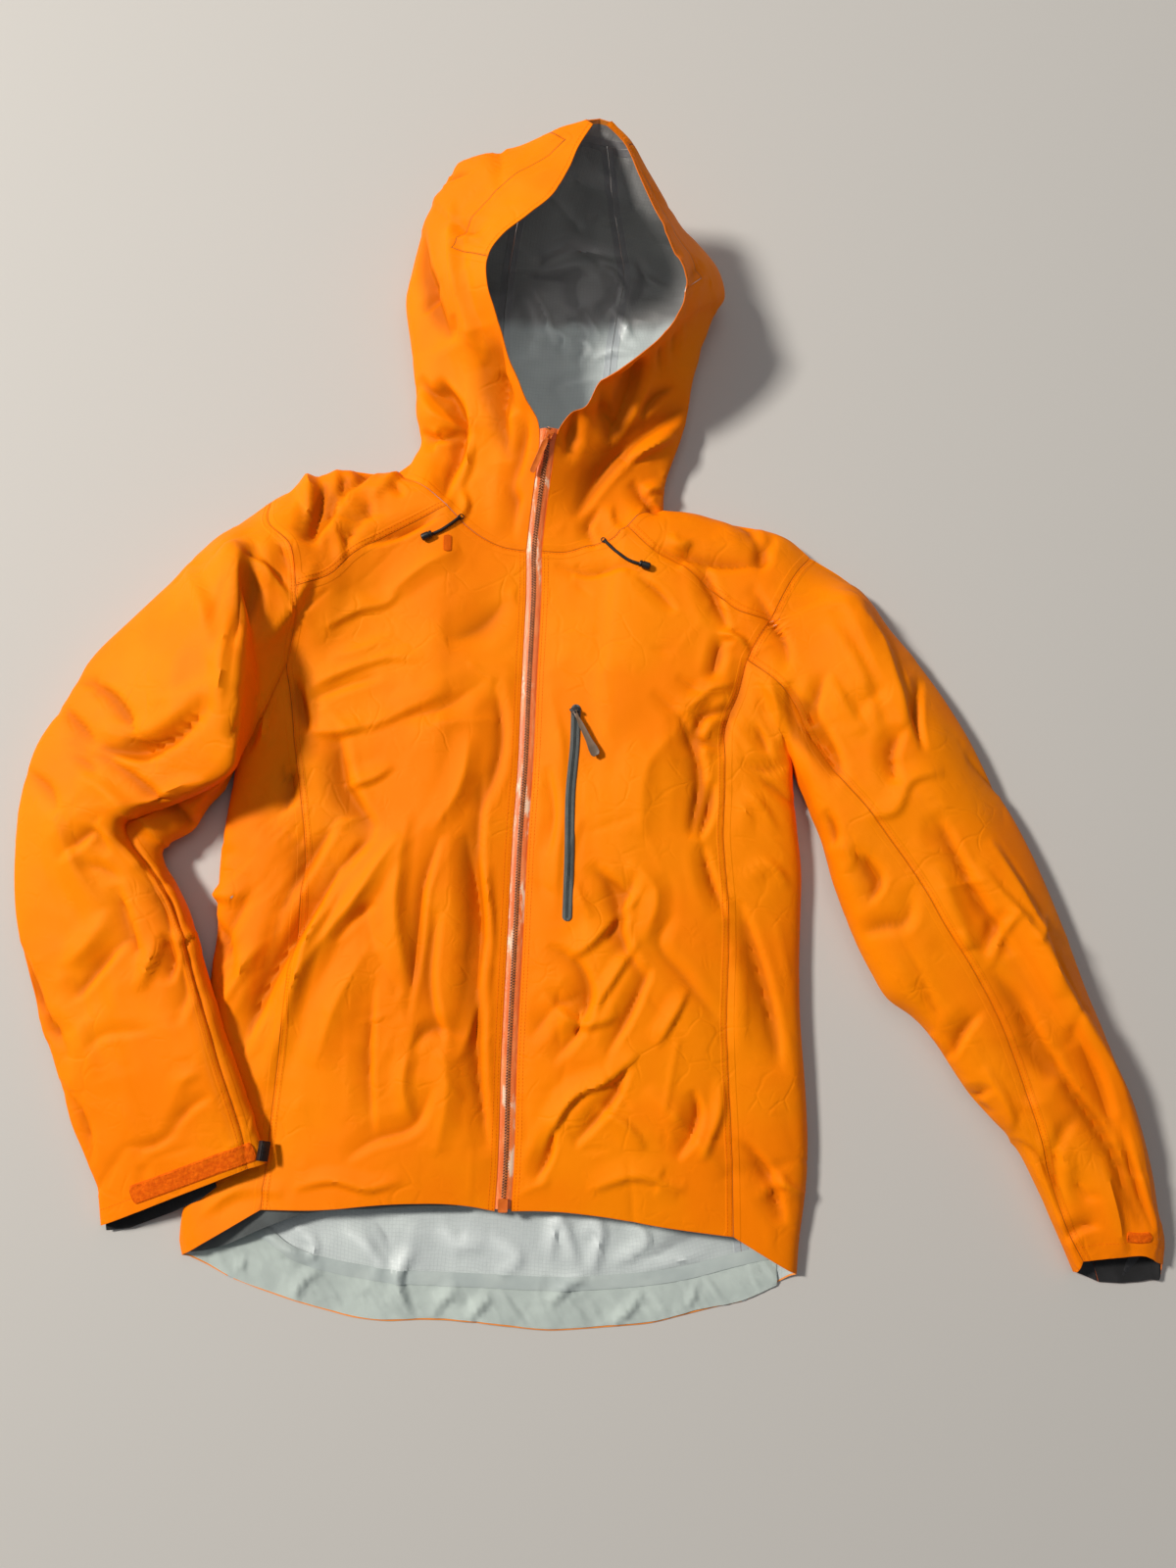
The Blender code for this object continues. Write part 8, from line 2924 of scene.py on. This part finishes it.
def sew_seams(shell: Shell, stitching: Stitching) -> None:
    """Stitch rows beside the seams and edges that show them.

    Args:
        shell: the sewn shell.
        stitching: takes the rows of stitches.
    """
    side_share = (SIDE_ROWS - 1) / (SIDE_ROWS + ARM_LOW - 2)
    neck_end = (NECK_FRONT - 1) / (YOKE_ROWS + NECK_FRONT - 2)
    for side in SIDES:
        front, sleeve, yoke = (shell.panels[f"{name}_{side}"] for name in ("front", "sleeve", "yoke"))
        for offset in SEAM_ROWS:
            stitching.sew(front.beside("far", offset, 0.0, side_share))
            for panel, border in ((yoke, "near"), (yoke, "far"), (sleeve, "bottom"), (sleeve, "near"),
                                  (sleeve, "far")):
                stitching.sew(panel.beside(border, offset))
        stitching.sew(front.beside("far", SEAM_ROWS[0], side_share, 1.0))
        for offset in ZIP_ROWS:
            stitching.sew(front.beside("near", offset))
        stitching.sew(front.beside("top", NECK_ROW, 0.0, neck_end))
        stitching.sew(sleeve.beside("top", CUFF_ROW))
    brim = shell.panels["hood_brim"]
    first = 1 - (HOOD_ROWS - 1 - round(shell.brim_from_row * (HOOD_ROWS - 1))) / (HOOD_ROWS - 1)
    for border in ("near", "far"):
        stitching.sew(brim.beside(border, BRIM_ROW, first, 1.0))
    stitching.build("seam_stitches", Finish.THREAD, "shell_cloth")


@dataclass
class Studio:
    """Camera at the photographed angle, window light from the left, pale floor."""
    eye: tuple = (0.006, -0.1834, 1.108)
    tilt: float = 7.0
    lens: float = 27.05
    floor_size: float = 8.0
    floor_colour: tuple = (0.56, 0.545, 0.52)
    window: tuple = ((-4.0, 1.7, 4.1), 0.85, 384.0, (1.0, 0.95, 0.88))     # place, size, watts, colour
    ceiling: tuple = ((0.4, 0.9, 2.4), 1.8, 9.0, (1.0, 0.97, 0.94))
    room: tuple = ((0.92, 0.95, 1.0, 1.0), 0.16)   # colour and strength

    def camera(self) -> None:
        """Set the camera up."""
        data = bpy.data.cameras.new("camera")
        data.lens = self.lens
        data.sensor_width = 36.0
        item = bpy.data.objects.new("camera", data)
        item.location = self.eye
        item.rotation_euler = (math.radians(self.tilt), 0.0, 0.0)
        bpy.context.scene.collection.objects.link(item)
        bpy.context.scene.camera = item

    def area_light(self, name: str, place: tuple, size: float, power: float, colour: tuple) -> None:
        """Add a square area light that looks at the jacket.

        Args:
            name: the light's name.
            place: where it stands, in metres.
            size: length of its side.
            power: its watts.
            colour: its colour.
        """
        data = bpy.data.lights.new(name, "AREA")
        data.size = size
        data.energy = power
        data.color = colour
        item = bpy.data.objects.new(name, data)
        item.location = place
        item.rotation_euler = (-Vector(place)).to_track_quat("-Z", "Y").to_euler()
        bpy.context.scene.collection.objects.link(item)

    def lights(self) -> None:
        """Window light from the left, with a weak overhead fill."""
        self.area_light("window", *self.window)
        self.area_light("ceiling", *self.ceiling)
        world = bpy.data.worlds.new("room")
        world.use_nodes = True
        glow = world.node_tree.nodes["Background"].inputs
        glow["Color"].default_value, glow["Strength"].default_value = self.room
        bpy.context.scene.world = world
        bpy.context.scene.view_settings.view_transform = "Standard"

    def floor(self) -> None:
        """Plain pale floor."""
        bpy.ops.mesh.primitive_plane_add(size=self.floor_size)
        item = bpy.context.object
        item.name = item.data.name = "floor"
        recipe = Recipe("pale_floor")
        recipe.set(Base_Color=self.floor_colour, Roughness=0.75)
        item.data.materials.append(recipe.material)


def main() -> None:
    """Build the jacket's looks, cloth first, then what is sewn on it."""
    logging.basicConfig(level=logging.INFO, format="%(message)s")
    studio = Studio()
    studio.camera()
    studio.lights()
    studio.floor()
    shell = Shell()
    shell.lay_out()
    shell.sew()
    shell.crease()
    shell.build()
    stitching = Stitching()
    HemFacings().build(shell)
    MainZip().build()
    PocketZip().build(shell)
    for side in SIDES:
        Drawcord(side).build(shell)
    CuffTrim().build(shell, stitching)
    sew_seams(shell, stitching)


if __name__ == "__main__":
    main()
